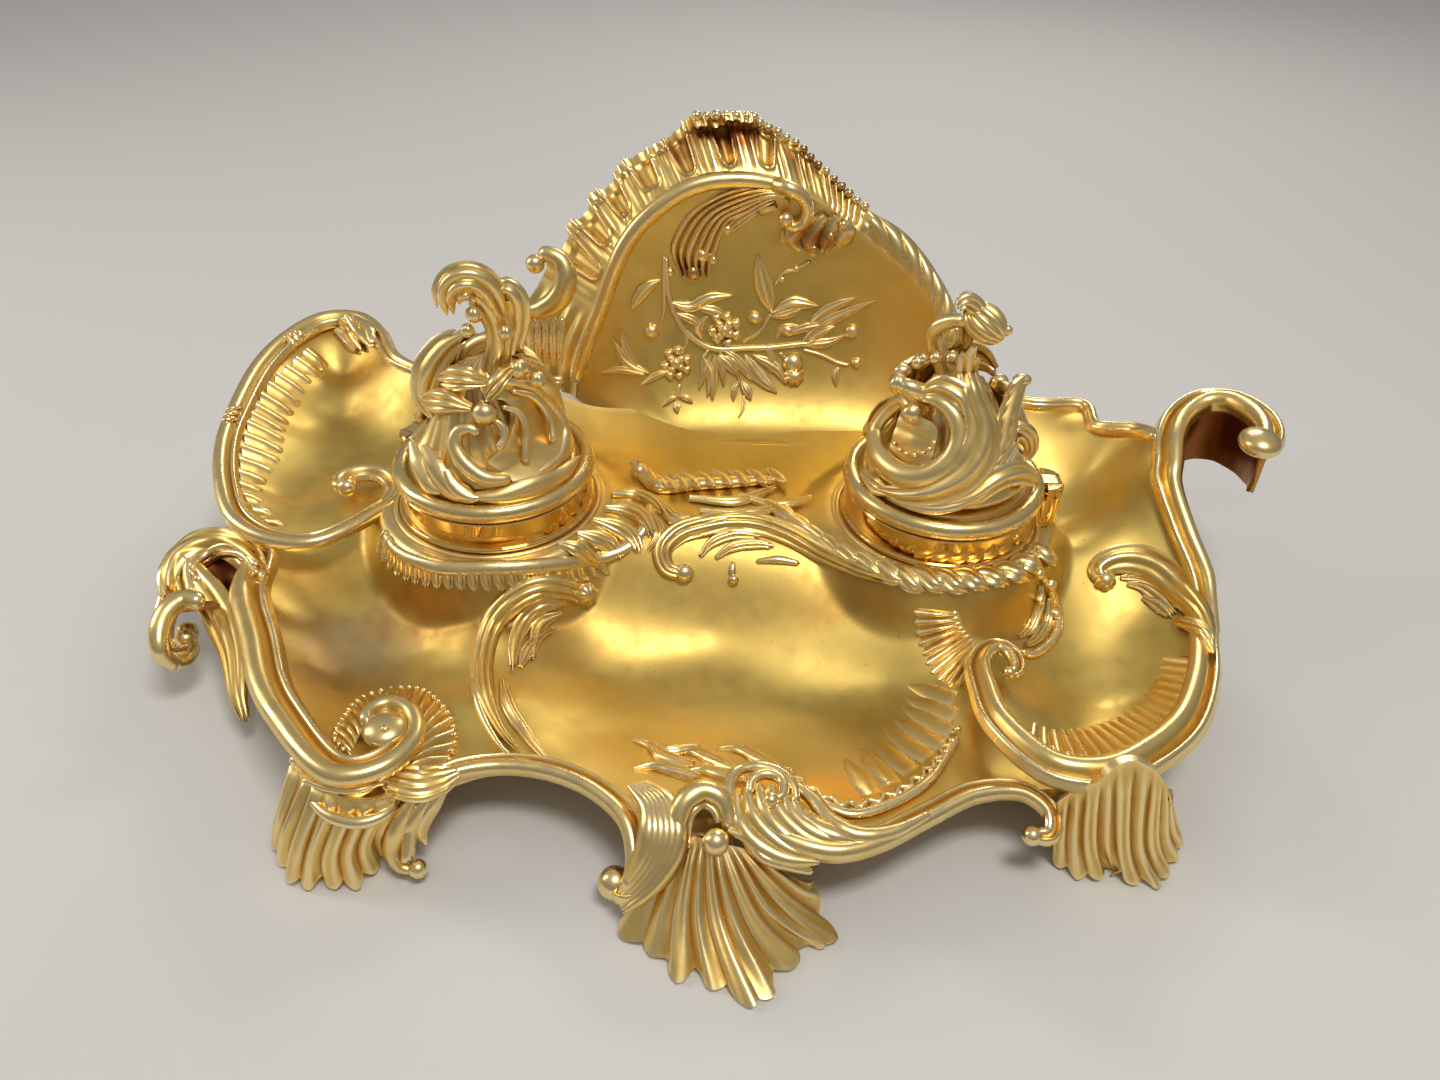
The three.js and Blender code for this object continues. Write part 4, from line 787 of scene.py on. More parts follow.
def table_at(table, share):
    """A smooth value between the evenly spaced rows of a table."""
    place = np.clip(share, 0, 1) * (len(table) - 1)
    row = np.minimum(place.astype(int), len(table) - 2)
    part = (place - row)[..., None]
    padded = np.concatenate([2 * table[:1] - table[1:2], table, 2 * table[-1:] - table[-2:-1]])
    before, start, end, after = (padded[row + shift] for shift in range(4))
    return start + 0.5 * part * (end - before + part * (2 * before - 5 * start + 4 * end - after
                                                          + part * (3 * (start - end) + after - before)))


def shell_between(curves, flutes, behind, depth=1.2, scallop=0.06, thickness=2.4, rows=40, detail=12,
                  fade=0.2, fine=0.12):
    """A fluted shell through cross curves from its hinge to its toe, which faces away from a point."""
    columns = flutes * detail + 1
    table = np.stack([even_steps(spline(curve, 1.0), count=columns) for curve in curves])
    across, out = np.meshgrid(np.linspace(0, 1, columns), np.linspace(0, 1, rows))
    wave = abs(np.sin(across * flutes * math.pi))
    out = out * (1 - scallop * (1 - wave) * smooth_step(out, 0.5, 1))
    sheet = np.stack([table_at(table[:, column], out[:, column]) for column in range(columns)], 1)
    normals = grid_normals(sheet)
    normals *= np.sign(((sheet - np.asarray(behind, float)) * normals).sum(-1, keepdims=True))
    lean = np.sin(across * math.pi * flutes * 3) * fine * smooth_step(out, 0, fade)
    front = sheet + normals * (depth * (wave - 0.55) * smooth_step(out, 0, fade) + lean)[..., None]
    back = sheet - normals * thickness
    front[..., 2], back[..., 2] = np.maximum(front[..., 2], 0.5), np.maximum(back[..., 2], 0)
    return closed_sheet(front, back)


def seen_on(places, values, axis):
    values = np.broadcast_to(np.asarray(values, float), (len(places),))
    lines = [sight(place) for place in places]
    return np.array([EYE + line * (value - EYE[axis]) / line[axis] for line, value in zip(lines, values)])


def seen_at(places, heights):
    """Where lines of sight through places of the picture meet the given heights."""
    return seen_on(places, heights, 2)


def seen_upright(places, depths):
    """Where lines of sight through places of the picture meet upright planes."""
    return seen_on(places, depths, 1)


def raised(view_of, places):
    """Points seen through places of an enlarged part of the picture that carry their heights."""
    return seen_at(view_of(*[(x, y) for x, y, _ in places]), [high for _, _, high in places])


def even_row(view_of, places, high, count):
    return even_steps(spline(seen_at(view_of(*places), high), 1.0), count=count)


def sheet_between(rows, steps):
    """A sheet through rows of points that are divided alike."""
    rows = np.stack(rows)
    return np.stack([table_at(rows[:, place], np.linspace(0, 1, steps)) for place in range(rows.shape[1])], 1)


def carrier_of(*pieces, near=12, layer=4.0):
    """The picture's view of finished pieces, with the nearest of them in front."""
    points, normals = [], []
    for piece in pieces:
        place, normal = np.empty(len(piece.data.vertices) * 3), np.empty(len(piece.data.vertices) * 3)
        piece.data.vertices.foreach_get("co", place)
        piece.data.vertices.foreach_get("normal", normal)
        points.append(place.reshape(-1, 3) * 1000 - FRAME_SHIFT)
        normals.append(normal.reshape(-1, 3))
    return Carrier(np.concatenate(points), np.concatenate(normals), near, layer)


def stand_leaf(into, view_of, places, widths, up=(0, -0.75, 0.66), **shape):
    """A leaf through places of the picture that carry their heights."""
    into.add(*leaf(spline(raised(view_of, places), 0.8), up, widths, **shape))


def stand_roll(into, view_of, places, width, height, up=(0, -0.6, 0.8), taper=(0.6, 1, 0.6), end_ball=0.0):
    path = spline(raised(view_of, places), 0.8)
    into.add(*moulding(path, rounded(14, 0.8), width, height, up=up, taper=taper))
    if end_ball:
        into.add(*ball(path[-1], (end_ball,) * 3))


def bead_nodes():
    tree = bpy.data.node_groups.new("bead_row", "GeometryNodeTree")
    tree.interface.new_socket(name="Line", in_out="INPUT", socket_type="NodeSocketGeometry")
    sockets = {}
    for socket, kind in (("Bead Radius", "NodeSocketFloat"), ("Bead Pitch", "NodeSocketFloat"),
                         ("Seed", "NodeSocketInt"), ("Metal", "NodeSocketMaterial")):
        sockets[socket] = tree.interface.new_socket(name=socket, in_out="INPUT", socket_type=kind).identifier
    tree.interface.new_socket(name="Beads", in_out="OUTPUT", socket_type="NodeSocketGeometry")
    nodes, links = tree.nodes, tree.links
    given, out = nodes.new("NodeGroupInput"), nodes.new("NodeGroupOutput")
    curve, spread = nodes.new("GeometryNodeMeshToCurve"), nodes.new("GeometryNodeResampleCurve")
    bead, uneven = nodes.new("GeometryNodeMeshUVSphere"), nodes.new("FunctionNodeRandomValue")
    place, real = nodes.new("GeometryNodeInstanceOnPoints"), nodes.new("GeometryNodeRealizeInstances")
    metal = nodes.new("GeometryNodeSetMaterial")
    spread.mode = "LENGTH"
    bead.inputs["Segments"].default_value, bead.inputs["Rings"].default_value = 9, 6
    uneven.data_type = "FLOAT"
    low, high = [socket for socket in uneven.inputs if socket.type == "VALUE"][:2]
    low.default_value, high.default_value = 0.85, 1.12
    links.new(given.outputs["Line"], curve.inputs["Mesh"])
    links.new(curve.outputs["Curve"], spread.inputs["Curve"])
    links.new(given.outputs["Bead Pitch"], spread.inputs["Length"])
    links.new(given.outputs["Bead Radius"], bead.inputs["Radius"])
    links.new(given.outputs["Seed"], uneven.inputs["Seed"])
    links.new(spread.outputs["Curve"], place.inputs["Points"])
    links.new(bead.outputs["Mesh"], place.inputs["Instance"])
    links.new([socket for socket in uneven.outputs if socket.type == "VALUE"][0], place.inputs["Scale"])
    links.new(place.outputs["Instances"], real.inputs["Geometry"])
    links.new(real.outputs["Geometry"], metal.inputs["Geometry"])
    links.new(given.outputs["Metal"], metal.inputs["Material"])
    links.new(metal.outputs["Geometry"], out.inputs["Beads"])
    return tree, sockets


bead_tree, bead_sockets = bead_nodes()


def bead_rows(name, paths, radius, pitch, material):
    """Rows of small beads along paths over the tray casting, one piece for each call."""
    points, edges = [], []
    for path in paths:
        edges.extend((len(points) + place, len(points) + place + 1) for place in range(len(path) - 1))
        points.extend(metres(path).tolist())
    line_mesh = bpy.data.meshes.new(name + "_line")
    line_mesh.from_pydata(points, edges, [])
    line = bpy.data.objects.new(name + "_line", line_mesh)
    bpy.context.scene.collection.objects.link(line)
    growth = line.modifiers.new("beads", "NODES")
    growth.node_group = bead_tree
    for socket, value in (
            ("Bead Radius", radius / 1000), ("Bead Pitch", pitch / 1000), ("Seed", 4), ("Metal", material)):
        growth[bead_sockets[socket]] = value
    bpy.context.view_layer.update()
    mesh = bpy.data.meshes.new_from_object(line.evaluated_get(bpy.context.evaluated_depsgraph_get()))
    bpy.data.objects.remove(line)
    bpy.data.meshes.remove(line_mesh)
    return finish_piece(mesh, name, material)


def lay_leaf(into, view, places, widths, proud=0.6, **shape):
    path, ups = laid(view, places, proud)
    into.add(*leaf(path, ups, widths, **shape))


def lay_roll(into, view, places, width, height, proud=0.3, taper=(0.5, 1, 0.6), end_ball=0.0, start_ball=0.0):
    path, ups = laid(view, places, proud)
    into.add(*moulding(path, rounded(12, 0.6), width, height, up=ups, taper=taper))
    for radius, end in ((start_ball, 0), (end_ball, -1)):
        if radius:
            into.add(*ball(path[end] + ups[end] * 0.5, (radius,) * 3))


def lay_fan(into, view, inner, outer, flutes, **shape):
    inner_path, inner_up = laid(view, inner, 0.0)
    outer_path, outer_up = laid(view, outer, 0.0)
    ups = even_steps(inner_up, count=flutes * 8 + 1) + even_steps(outer_up, count=flutes * 8 + 1)
    into.add(*fan(inner_path, outer_path, ups, flutes, **shape))


def lay_ball(into, view, place, radius, proud=0.4, flat=0.8, lobes=0, lobe_depth=0.15):
    points, normals = view.at([place])
    frame_z = normals[0]
    frame_x = unit(np.cross(frame_z, (0.3, 0.2, 1.0)))
    turn = np.stack([frame_x, np.cross(frame_z, frame_x), frame_z], -1)
    into.add(*ball(points[0] + frame_z * proud, (radius, radius, radius * flat), turn=turn, lobes=lobes,
                   lobe_depth=lobe_depth))


# Borders of the tray, cast with it: fat polished rolls on the outside, a groove and a thin bright
# fillet inside, each running out into a volute round a small ball.
BORDER_WIDTH, BORDER_THICKNESS = 8.0, 6.0


def grooved_section(outer):
    """An outer roll, a groove and an inner fillet over a rounded back."""
    arc = [(-0.42 + 0.58 * math.cos(turn), 0.12 + 0.85 * math.sin(turn))
           for turn in np.linspace(math.pi, 0.45, 9)]
    groove = [(0.22, 0.22), (0.34, 0.10)]
    fillet = [(0.58 + 0.2 * math.cos(turn), 0.22 + 0.34 * math.sin(turn))
              for turn in np.linspace(math.pi * 0.9, 0.1, 5)]
    back = [(0.92, -0.2), (0.7, -0.75), (0.1, -0.95), (-0.5, -0.9), (-0.9, -0.45)]
    section = np.array(arc + groove + fillet + back)
    if outer > 0:
        section = section[::-1] * np.array([-1, 1])
    return section


borders = Casting()
VOLUTE_STEPS, VOLUTE_EYE_SHARE, VOLUTE_RISE = 16, 0.2, 2.5


def volute(eye, radius, start_turn, turns):
    along = np.linspace(0, 1, VOLUTE_STEPS)[1:]
    reach = radius * (1 + (VOLUTE_EYE_SHARE - 1) * along)
    turn = start_turn + turns * along * 2 * math.pi
    return np.stack([eye[0] + reach * np.cos(turn), eye[1] + reach * np.sin(turn),
                     np.full_like(along, eye[2]) + VOLUTE_RISE * along], -1)


def add_border(controls, outer=1, width=BORDER_WIDTH, thickness=BORDER_THICKNESS, taper=(1, 1), tail=None,
               ball_radius=0):
    """A border through shares of the tray's size, which may end in a tail and a ball."""
    path = np.array(controls) * TRAY_SCALE
    if tail is not None:
        path = np.concatenate([path, tail])
    path = spline(path)
    borders.add(*moulding(path, grooved_section(outer), width, thickness, taper=taper))
    if ball_radius:
        borders.add(*ball(path[-1], (ball_radius,) * 3))


volute_window, basin_window = window(140, 530, 2.38), window(880, 530, 2.778)
crook_curl = seen_at(
    window(990, 370, 3.235)((572, 300), (575, 225), (612, 145), (690, 98), (780, 98), (862, 138), (908, 195),
                            (900, 240), (860, 246)),
    (62, 66, 69, 72, 74, 75, 75.5, 75.5, 75.5))
add_border(
    [(-0.559, 0.514, 1.13), (-0.632, 0.601, 1.14), (-0.681, 0.735, 1.16), (-0.745, 0.838, 1.17),
     (-0.804, 0.824, 1.17), (-0.848, 0.718, 1.14), (-0.872, 0.553, 1.1), (-0.872, 0.339, 1.04),
     (-0.862, 0.175, 0.99), (-0.828, 0, 0.93), (-0.779, -0.136, 0.88), (-0.711, -0.204, 0.86),
     (-0.642, -0.204, 0.86)],
    width=8.6, taper=(0.6, 1, 1.1, 1, 1, 0.9, 0.8), ball_radius=3.2,
    tail=volute(np.array((-0.617, 0.029, 0.86)) * TRAY_SCALE, 15, -0.9, 0.75))
add_border(
    [(-0.843, -0.31, 0.54), (-0.867, -0.213, 0.62), (-0.843, -0.116, 0.66), (-0.794, -0.107, 0.67),
     (-0.75, -0.175, 0.66), (-0.73, -0.339, 0.65), (-0.676, -0.514, 0.64), (-0.632, -0.66, 0.64),
     (-0.59, -0.755, 0.64)],
    width=11.5, thickness=8, taper=(0.5, 0.9, 1.1, 1.1, 1, 0.9, 0.6),
    tail=raised(volute_window, ((470, 570, 32), (540, 566, 32), (598, 538, 32), (640, 490, 32),
                                (632, 442, 32.4), (590, 423, 32.8), (556, 440, 33), (552, 470, 33))))
borders.add(*ball(raised(volute_window, ((584, 474, 33),))[0], (6.4, 6.4, 3.2)))
borders.add(*ball(raised(volute_window, ((583, 472, 36.3),))[0], (1.1, 1.1, 0.8)))
add_border(
    [(0.784, -0.272, 0.7), (0.764, -0.388, 0.67), (0.735, -0.533, 0.66), (0.686, -0.679, 0.64),
     (0.617, -0.786, 0.64), (0.539, -0.854, 0.64), (0.468, -0.84, 0.64)],
    width=10.5, thickness=7.5, taper=(0.9, 1, 1.1, 1.1, 1, 0.8, 0.45), ball_radius=2.0,
    tail=seen_at(basin_window((325, 535), (284, 440), (270, 375), (290, 336), (325, 320), (360, 336),
                              (380, 364), (378, 392), (358, 396)), 32))
add_border(
    [(0.775, -0.39, 0.68), (0.784, -0.272, 0.72), (0.784, -0.194, 0.8), (0.764, -0.078, 0.96),
     (0.745, 0.029, 1.16)],
    width=9.2, thickness=7, taper=(0.5, 1.0, 1.1, 1.2, 1.25, 1.25, 0.9), tail=crook_curl)
borders.add(*ball(crook_curl[-1] + np.array([2.4, 2.6, -0.2]), (6.8, 7.4, 4.2)))
add_border(
    [(-0.41, -1.005, 0.14), (-0.405, -0.947, 0.3), (-0.39, -0.895, 0.42), (-0.355, -0.845, 0.46),
     (-0.29, -0.815, 0.46), (-0.22, -0.825, 0.46), (-0.15, -0.875, 0.45), (-0.1, -0.955, 0.42),
     (-0.086, -1.035, 0.32), (-0.096, -1.08, 0.22), (-0.118, -1.06, 0.15)],
    width=7.5, taper=(0.7, 0.9, 1, 1, 1, 1, 0.9))
add_border(
    [(0.06, -0.95, 0.5), (0.11, -1, 0.48), (0.17, -1.02, 0.46), (0.225, -0.99, 0.45),
     (0.295, -0.92, 0.45), (0.37, -0.85, 0.46), (0.44, -0.84, 0.45), (0.474, -0.88, 0.4),
     (0.47, -0.93, 0.35), (0.445, -0.93, 0.34)],
    width=7.5, taper=(0.9, 1.2, 1.1, 1, 1, 0.9, 0.7), ball_radius=2.8)
add_border(
    [(-0.559, 0.514, 1.13), (-0.459, 0.548, 1.13), (-0.36, 0.53, 1.08), (-0.3, 0.54, 1.06)],
    outer=-1, width=5.5, thickness=5)
add_border(
    [(0.74, 0.145, 1.34), (0.73, 0.262, 1.22), (0.676, 0.339, 1.13), (0.671, 0.456, 1.13),
     (0.588, 0.456, 1.13), (0.53, 0.486, 1.11), (0.468, 0.507, 1.02)],
    width=5.5, thickness=5)
add_border(
    [(-0.72, -0.3, 0.66), (-0.77, -0.19, 0.66), (-0.83, -0.13, 0.64), (-0.864, -0.155, 0.61),
     (-0.876, -0.24, 0.55), (-0.878, -0.325, 0.47), (-0.872, -0.4, 0.39), (-0.855, -0.43, 0.32),
     (-0.842, -0.385, 0.28), (-0.855, -0.334, 0.3)],
    width=8, thickness=6, taper=(0.8, 1.3, 1.3, 1.1, 1, 0.8, 0.6), ball_radius=3.6)
add_border(
    [(0.46, 0.505, 1.0), (0.4, 0.51, 0.95), (0.28, 0.52, 0.91), (0.08, 0.52, 0.9), (-0.12, 0.51, 0.89)],
    width=6, thickness=6)
# the broad wall that hangs below the curl of the right border, and a sheet in the hollow of the left hood,
# both in a dark red-brown gilding that paints the shade there
crook_path = spline(crook_curl[1:-1] - np.array([0, 0, 12.5]))
plank = np.array([(-1, -1), (1, -1), (1, -0.3), (1, 0.3), (1, 1), (-1, 1), (-1, 0.3), (-1, -0.3)])
# a dark red-brown gilding, painted shade for the wall under the curl and the hollow of the hood
shade_gilding = gilt_material("shade_gilding", gold=(0.34, 0.12, 0.03), olive=(0.17, 0.05, 0.015),
                             crest=(0.58, 0.27, 0.08), hollow_color=(0.09, 0.025, 0.008), satin=0.36,
                             grain=0.5)
recesses = Casting()
recesses.add(*moulding(crook_path, plank, 3.6, 22, end_round=0.3, taper=(0.9, 1, 1, 1, 0.9, 0.6)))
tray_borders = pour(borders, "tray_borders", gilt_border)
crown_view = carrier_of(tray_dish, tray_borders)
HOOD_ROWS = (
    (31.0, ((62, 178), (66, 125), (108, 75), (168, 50), (228, 66), (268, 100))),
    (26.0, ((85, 180), (110, 150), (150, 130), (190, 120), (225, 125), (262, 132))),
    (29.0, ((70, 190), (115, 186), (160, 180), (200, 176), (236, 172), (262, 165))))
hollow_of_hood = sheet_between([even_row(volute_window, row, high, 50) for high, row in HOOD_ROWS], 12)
recesses.add(*closed_sheet(hollow_of_hood, hollow_of_hood - np.array([0, 0, 1.6])))
pour(recesses, "border_recesses", shade_gilding)

# Ornament of the left dish and border, chased on the casting: a fluted hollow under the high border
# with tied ribbons and a bud, the hooded horn at its waist, a fan round the lower volute and a cup.
left_ornament = Casting()
dish_window, waist_window = window(140, 290, 2.941), window(140, 530, 2.941)
left_inner = dish_window((560, 210), (530, 265), (490, 325), (455, 385), (440, 450), (425, 510), (385, 565),
                         (370, 600), (385, 640), (410, 670), (440, 700))
left_outer = dish_window((500, 165), (440, 215), (390, 260), (345, 320), (315, 380), (300, 440), (290, 500),
                         (290, 560), (305, 610), (340, 660), (385, 695))
lay_fan(left_ornament, tray_view, left_inner, left_outer, 17, depth=1.5, lift=(-0.6, 0.4, 0.6), thickness=1.8,
        scallop=0.1)
VOLUTE_INNER = (
    (640, 690), (632, 640), (655, 590), (700, 552), (750, 540), (800, 560), (820, 600), (810, 650),
    (780, 700), (740, 735))
volute_inner = even_row(waist_window, VOLUTE_INNER, 27, 161)
volute_outer = laid(tray_view, waist_window((590, 680), (575, 620), (600, 560), (660, 500), (740, 475),
                                            (820, 475), (880, 510), (915, 560), (928, 620), (910, 680),
                                            (870, 730), (800, 760)))[0]
left_ornament.add(*fan(volute_inner, volute_outer, (0, 0, 1), 20, depth=1.5, lift=(0, 1.2, 1.0),
                       thickness=1.8, scallop=0.08))
for start, end in (
        ((248, 352), (300, 345)), ((243, 368), (292, 362)), ((240, 384), (288, 380)),
        ((425, 135), (455, 165)), ((440, 125), (470, 155)), ((455, 118), (485, 148))):
    middle = ((start[0] + end[0]) / 2, (start[1] + end[1]) / 2)
    lay_roll(left_ornament, crown_view, dish_window(start, middle, end), 2.4, 2.2, proud=0.3,
             taper=(0.7, 1, 0.7))
for places in (
        ((585, 90), (620, 130), (660, 180)), ((610, 80), (645, 120), (680, 170)),
        ((640, 85), (670, 120), (690, 155)), ((575, 110), (600, 145), (640, 185))):
    lay_leaf(left_ornament, crown_view, dish_window(*places), (1.4, 2.4, 2.4, 1.3), proud=1.0,
             ridges=1, ridge=0.4, camber=1.8, thickness=3.0)
hood = ((78, 200), (90, 132), (114, 82), (160, 50), (220, 30), (270, 35), (320, 70), (350, 110))
lay_leaf(left_ornament, crown_view, waist_window(*hood), (2.6, 3.6, 4.4, 4.4, 3.6, 2.0), proud=1.4,
         ridges=2, ridge=0.5, camber=1.8, thickness=3.0)
hood_curl = ((350, 110), (310, 60), (260, 45), (210, 55), (170, 80), (150, 105), (165, 125))
for shift in (0, 18):
    lay_roll(left_ornament, crown_view, waist_window(*[(x, y + shift + 6) for x, y in hood_curl]), 3.2,
             2.8, proud=1.6 - shift / 20, taper=(0.7, 1, 1, 0.7), end_ball=2.0 if shift else 0)
horn_curve = (
    (190, 215, 33), (130, 205, 33), (80, 240, 32), (57, 300, 29), (61, 355, 25), (95, 388, 19),
    (140, 380, 16), (158, 345, 15), (135, 320, 15))
stand_roll(left_ornament, waist_window, horn_curve, 5.4, 5.2, up=(-0.2, -0.7, 0.7),
           taper=(1.1, 1.3, 1.2, 1, 0.8, 0.7), end_ball=3.3)
horn_leaf = spline([(-172, -26, 30), (-166, -33, 28), (-158, -42, 25), (-150, -54, 21),
                    *seen_at([(238, 698), (247, 722)], (15, 11))], 1.0)
left_ornament.add(*leaf(horn_leaf, (-0.35, -0.7, 0.6), (4.0, 6.4, 7.2, 5.8, 4.2, 2.0), ridges=3,
                        ridge=0.8, camber=2.0, thickness=3.0))
CUP_ROWS = (
    (29.5, ((440, 672), (532, 708), (600, 722), (667, 714), (741, 680))),
    (28.5, ((478, 735), (560, 762), (640, 765), (730, 735))),
    (27.0, ((490, 762), (555, 805), (645, 822), (735, 765))),
    (24.0, ((500, 790), (560, 842), (650, 860), (725, 832), (748, 785))))
cup_rows = [even_row(waist_window, row, high, 60) for high, row in CUP_ROWS]
cup_rows[2] = cup_rows[2] + np.array([0, 3.5, -3.0])
cup = sheet_between(cup_rows, 16)
left_ornament.add(*closed_sheet(cup, cup - np.array([0, -0.9, 1.8])))
for row, size in ((cup_rows[3], 3.6), (cup_rows[1], 2.2), (cup_rows[0], 3.0)):
    left_ornament.add(*moulding(row, rounded(14, 1.0), size, size, up=(0, -0.6, 0.8), taper=(0.7, 1, 1, 0.7)))
for places, width in (
        (((665, 625, 23), (630, 665, 20), (607, 715, 15), (600, 765, 9), (620, 800, 5), (655, 812, 4)),
         3.4), (((700, 625, 23), (668, 660, 20), (645, 700, 16), (636, 745, 10), (652, 775, 6)), 3.0),
        (((722, 618, 23), (692, 655, 20), (672, 692, 16), (668, 722, 12), (682, 742, 9)), 2.6)):
    stand_leaf(left_ornament, volute_window, places, (width * 0.5, width, width, width * 0.8,
                                                      width * 0.5), ridges=1, ridge=0.3,
               camber=2.0, thickness=3.0)
left_ornament.add(*ball(seen_at(volute_window((662, 806)), 5)[0], (2.7, 2.7, 2.7)))
stand_leaf(left_ornament, volute_window, ((585, 585, 28), (620, 598, 27.5), (665, 604, 27),
                                          (712, 594, 26), (760, 576, 26)), (3.0, 5.0, 5.4, 4.6, 2.0),
           up=(0, -0.3, 0.95), ridges=4, ridge=0.35, camber=0.4, thickness=2.4)
pour(left_ornament, "left_ornament", gilt_border)

# Ornament of the platform, the bridge between the pots and the pen basin: rolled acanthus edges,
# a rope roll with its carpet of leaves, and a long leaf scroll that turns round the basin.
middle_ornament = Casting()


def place_between(places, share):
    """A place of the picture at a share of the way through evenly counted places."""
    marks = np.linspace(0, 1, len(places))
    return np.array([np.interp(share, marks, [place[axis] for place in places]) for axis in range(2)])


def lay_frill(into, places, pitch, length, lean, width, proud):
    """Small ridged leaves set side by side along a line of the tray, like a frill."""
    path, ups = laid(tray_view, places, 0.0)
    lengths = np.linalg.norm(np.diff(path, axis=0), axis=1).sum()
    marks = even_steps(path, count=max(3, int(lengths / pitch)))
    forward = unit(np.gradient(marks, axis=0))
    for mark, ahead in zip(marks, forward):
        out = np.array([ahead[1], -ahead[0]])
        plan_path = [mark[:2] + (out * share + ahead[:2] * lean * share ** 2) * length
                     for share in (-0.3, 0.1, 0.5, 1.0)]
        points = np.array([on_tray(x, y) for x, y in plan_path])
        points[:, 2] = np.maximum(points[:, 2], mark[2] - 5) + np.array(
            [proud, proud * 1.6, proud * 1.2, 0.2])
        into.add(*leaf(spline(points, 0.8), (0, 0, 1), (width * 0.5, width, width, width * 0.4),
                       ridges=2, ridge=0.4, camber=0.9, thickness=1.6, detail=6))


ruffle = (
    (385, 534), (395, 549), (406, 558), (429, 565), (449, 568), (483, 570), (520, 568), (560, 563),
    (600, 556), (628, 545), (645, 525), (651, 505))
lay_roll(middle_ornament, tray_view, ruffle, 5.0, 3.0, proud=0.4, taper=(0.6, 1, 1, 1, 0.7))
lay_frill(middle_ornament, [(x, y + 4) for x, y in ruffle[:9]], 3.6, 3.4, 0.3, 1.7, proud=0.9)
for places, width in (
        (((556, 540), (575, 548), (590, 560), (600, 566)), 3.0),
        (((575, 532), (600, 540), (616, 550), (622, 558)), 3.4),
        (((592, 522), (618, 528), (634, 540), (640, 552)), 3.4),
        (((604, 510), (630, 512), (648, 524), (654, 538)), 3.4),
        (((612, 496), (636, 496), (655, 504), (664, 516)), 3.0)):
    lay_leaf(middle_ornament, tray_view, places, (width * 0.4, width, width, width * 0.5), proud=1.0,
             ridges=3, ridge=0.5, camber=1.3, thickness=2.0)
bridge_back = ((640, 476), (661, 491), (690, 489), (730, 486), (776, 484))
lay_roll(middle_ornament, tray_view, bridge_back, 6.0, 5.4, proud=1.4,
         taper=(0.8, 1.1, 1.0, 0.9, 0.6), start_ball=3.2)
for share in np.linspace(0, 1, 11):
    spot = place_between(bridge_back, share)
    lay_leaf(middle_ornament, tray_view, [spot + (-9, -7), spot + (0, -2), spot + (9, 8)],
             (1.0, 2.3, 2.3, 0.8), proud=3.0, ridges=1, ridge=0.2, camber=1.4, thickness=2.4)
head = (
    (688, 574), (668, 568), (663, 550), (678, 535), (705, 527), (750, 525), (788, 536), (822, 553),
    (860, 570), (903, 584))
lay_leaf(middle_ornament, tray_view, head, (2.2, 3.4, 4.2, 4.2, 3.8, 3.4, 2.8, 1.2), proud=1.4,
         ridges=3, ridge=0.9, camber=2.2, thickness=2.8, slant=0.8)
for places, width in (
        (((700, 556), (712, 543), (735, 536), (760, 538)), 2.0),
        (((716, 558), (732, 548), (755, 545), (775, 548)), 1.8)):
    lay_leaf(middle_ornament, tray_view, places, (0.8, width, width, 0.8), proud=0.8, ridges=2,
             ridge=0.5, camber=1.2)
lay_ball(middle_ornament, tray_view, (684, 573), 3.2, proud=1.6)
lay_roll(middle_ornament, tray_view, ((733, 562), (732, 572), (733, 580)), 2.6, 2.6, proud=0.8, end_ball=1.8)
lay_roll(middle_ornament, tray_view, ((755, 562), (778, 560), (800, 564)), 3.0, 2.6, proud=0.6)
for places, width in (
        (((690, 500), (735, 503), (775, 490)), 3.2), (((700, 514), (750, 516), (795, 503)), 3.0),
        (((662, 506), (676, 521), (704, 524)), 3.2), (((740, 498), (780, 508), (812, 500)), 2.6),
        (((655, 520), (660, 535), (650, 552)), 2.6)):
    lay_leaf(middle_ornament, tray_view, places, (width * 0.5, width, width * 0.5), proud=1.0,
             ridges=3, ridge=0.6, camber=1.2, scallop=0.2)
platform_edge = ((778, 512), (815, 540), (858, 562), (905, 578), (952, 580), (1000, 571), (1034, 549))
for row in range(15):
    spot = place_between(platform_edge, row / 14)
    lay_leaf(middle_ornament, tray_view, [spot + (-17, -9), spot + (-3, -2), spot + (10, 7),
                                          spot + (21, 12)], (1.6, 3.4, 3.2, 1.0),
             proud=(1.0, 1.2, 1.6, 0.8), ridges=2, ridge=0.5, camber=1.2, thickness=2.2)
scroll = (
    (585, 598), (566, 588), (538, 586), (510, 600), (492, 625), (483, 660), (485, 697), (499, 730),
    (520, 757))
lay_leaf(middle_ornament, tray_view, scroll, (3.0, 4.4, 4.4, 3.8, 3.4, 2.8, 1.8, 0.8), proud=1.2,
         ridges=3, ridge=0.8, camber=2.0, thickness=2.8)
lay_roll(middle_ornament, tray_view, [(x - 8, y + 2) for x, y in scroll[2:]] + [(548, 781)], 2.6, 2.8,
         proud=0.8)
lay_ball(middle_ornament, tray_view, (584, 592), 4.2, proud=1.6, lobes=7)
for places, width in (
        (((565, 602), (540, 606), (524, 620), (514, 645), (512, 675)), 2.8),
        (((560, 612), (541, 622), (534, 642), (532, 662)), 2.4),
        (((502, 680), (510, 712), (530, 742), (552, 768)), 2.2),
        (((520, 668), (528, 650), (542, 636), (556, 630)), 2.2)):
    lay_leaf(middle_ornament, tray_view, places, (0.8, width, width, width * 0.7, 0.5), proud=0.8,
             ridges=2, ridge=0.6, camber=1.4, thickness=2.0)
lay_leaf(middle_ornament, tray_view, ((640, 744), (668, 752), (700, 748)), (1.0, 2.4, 2.6, 1.0),
         proud=0.6, ridges=4, ridge=0.6, camber=0.8, scallop=0.2)
pour(middle_ornament, "middle_ornament", gilt_border)

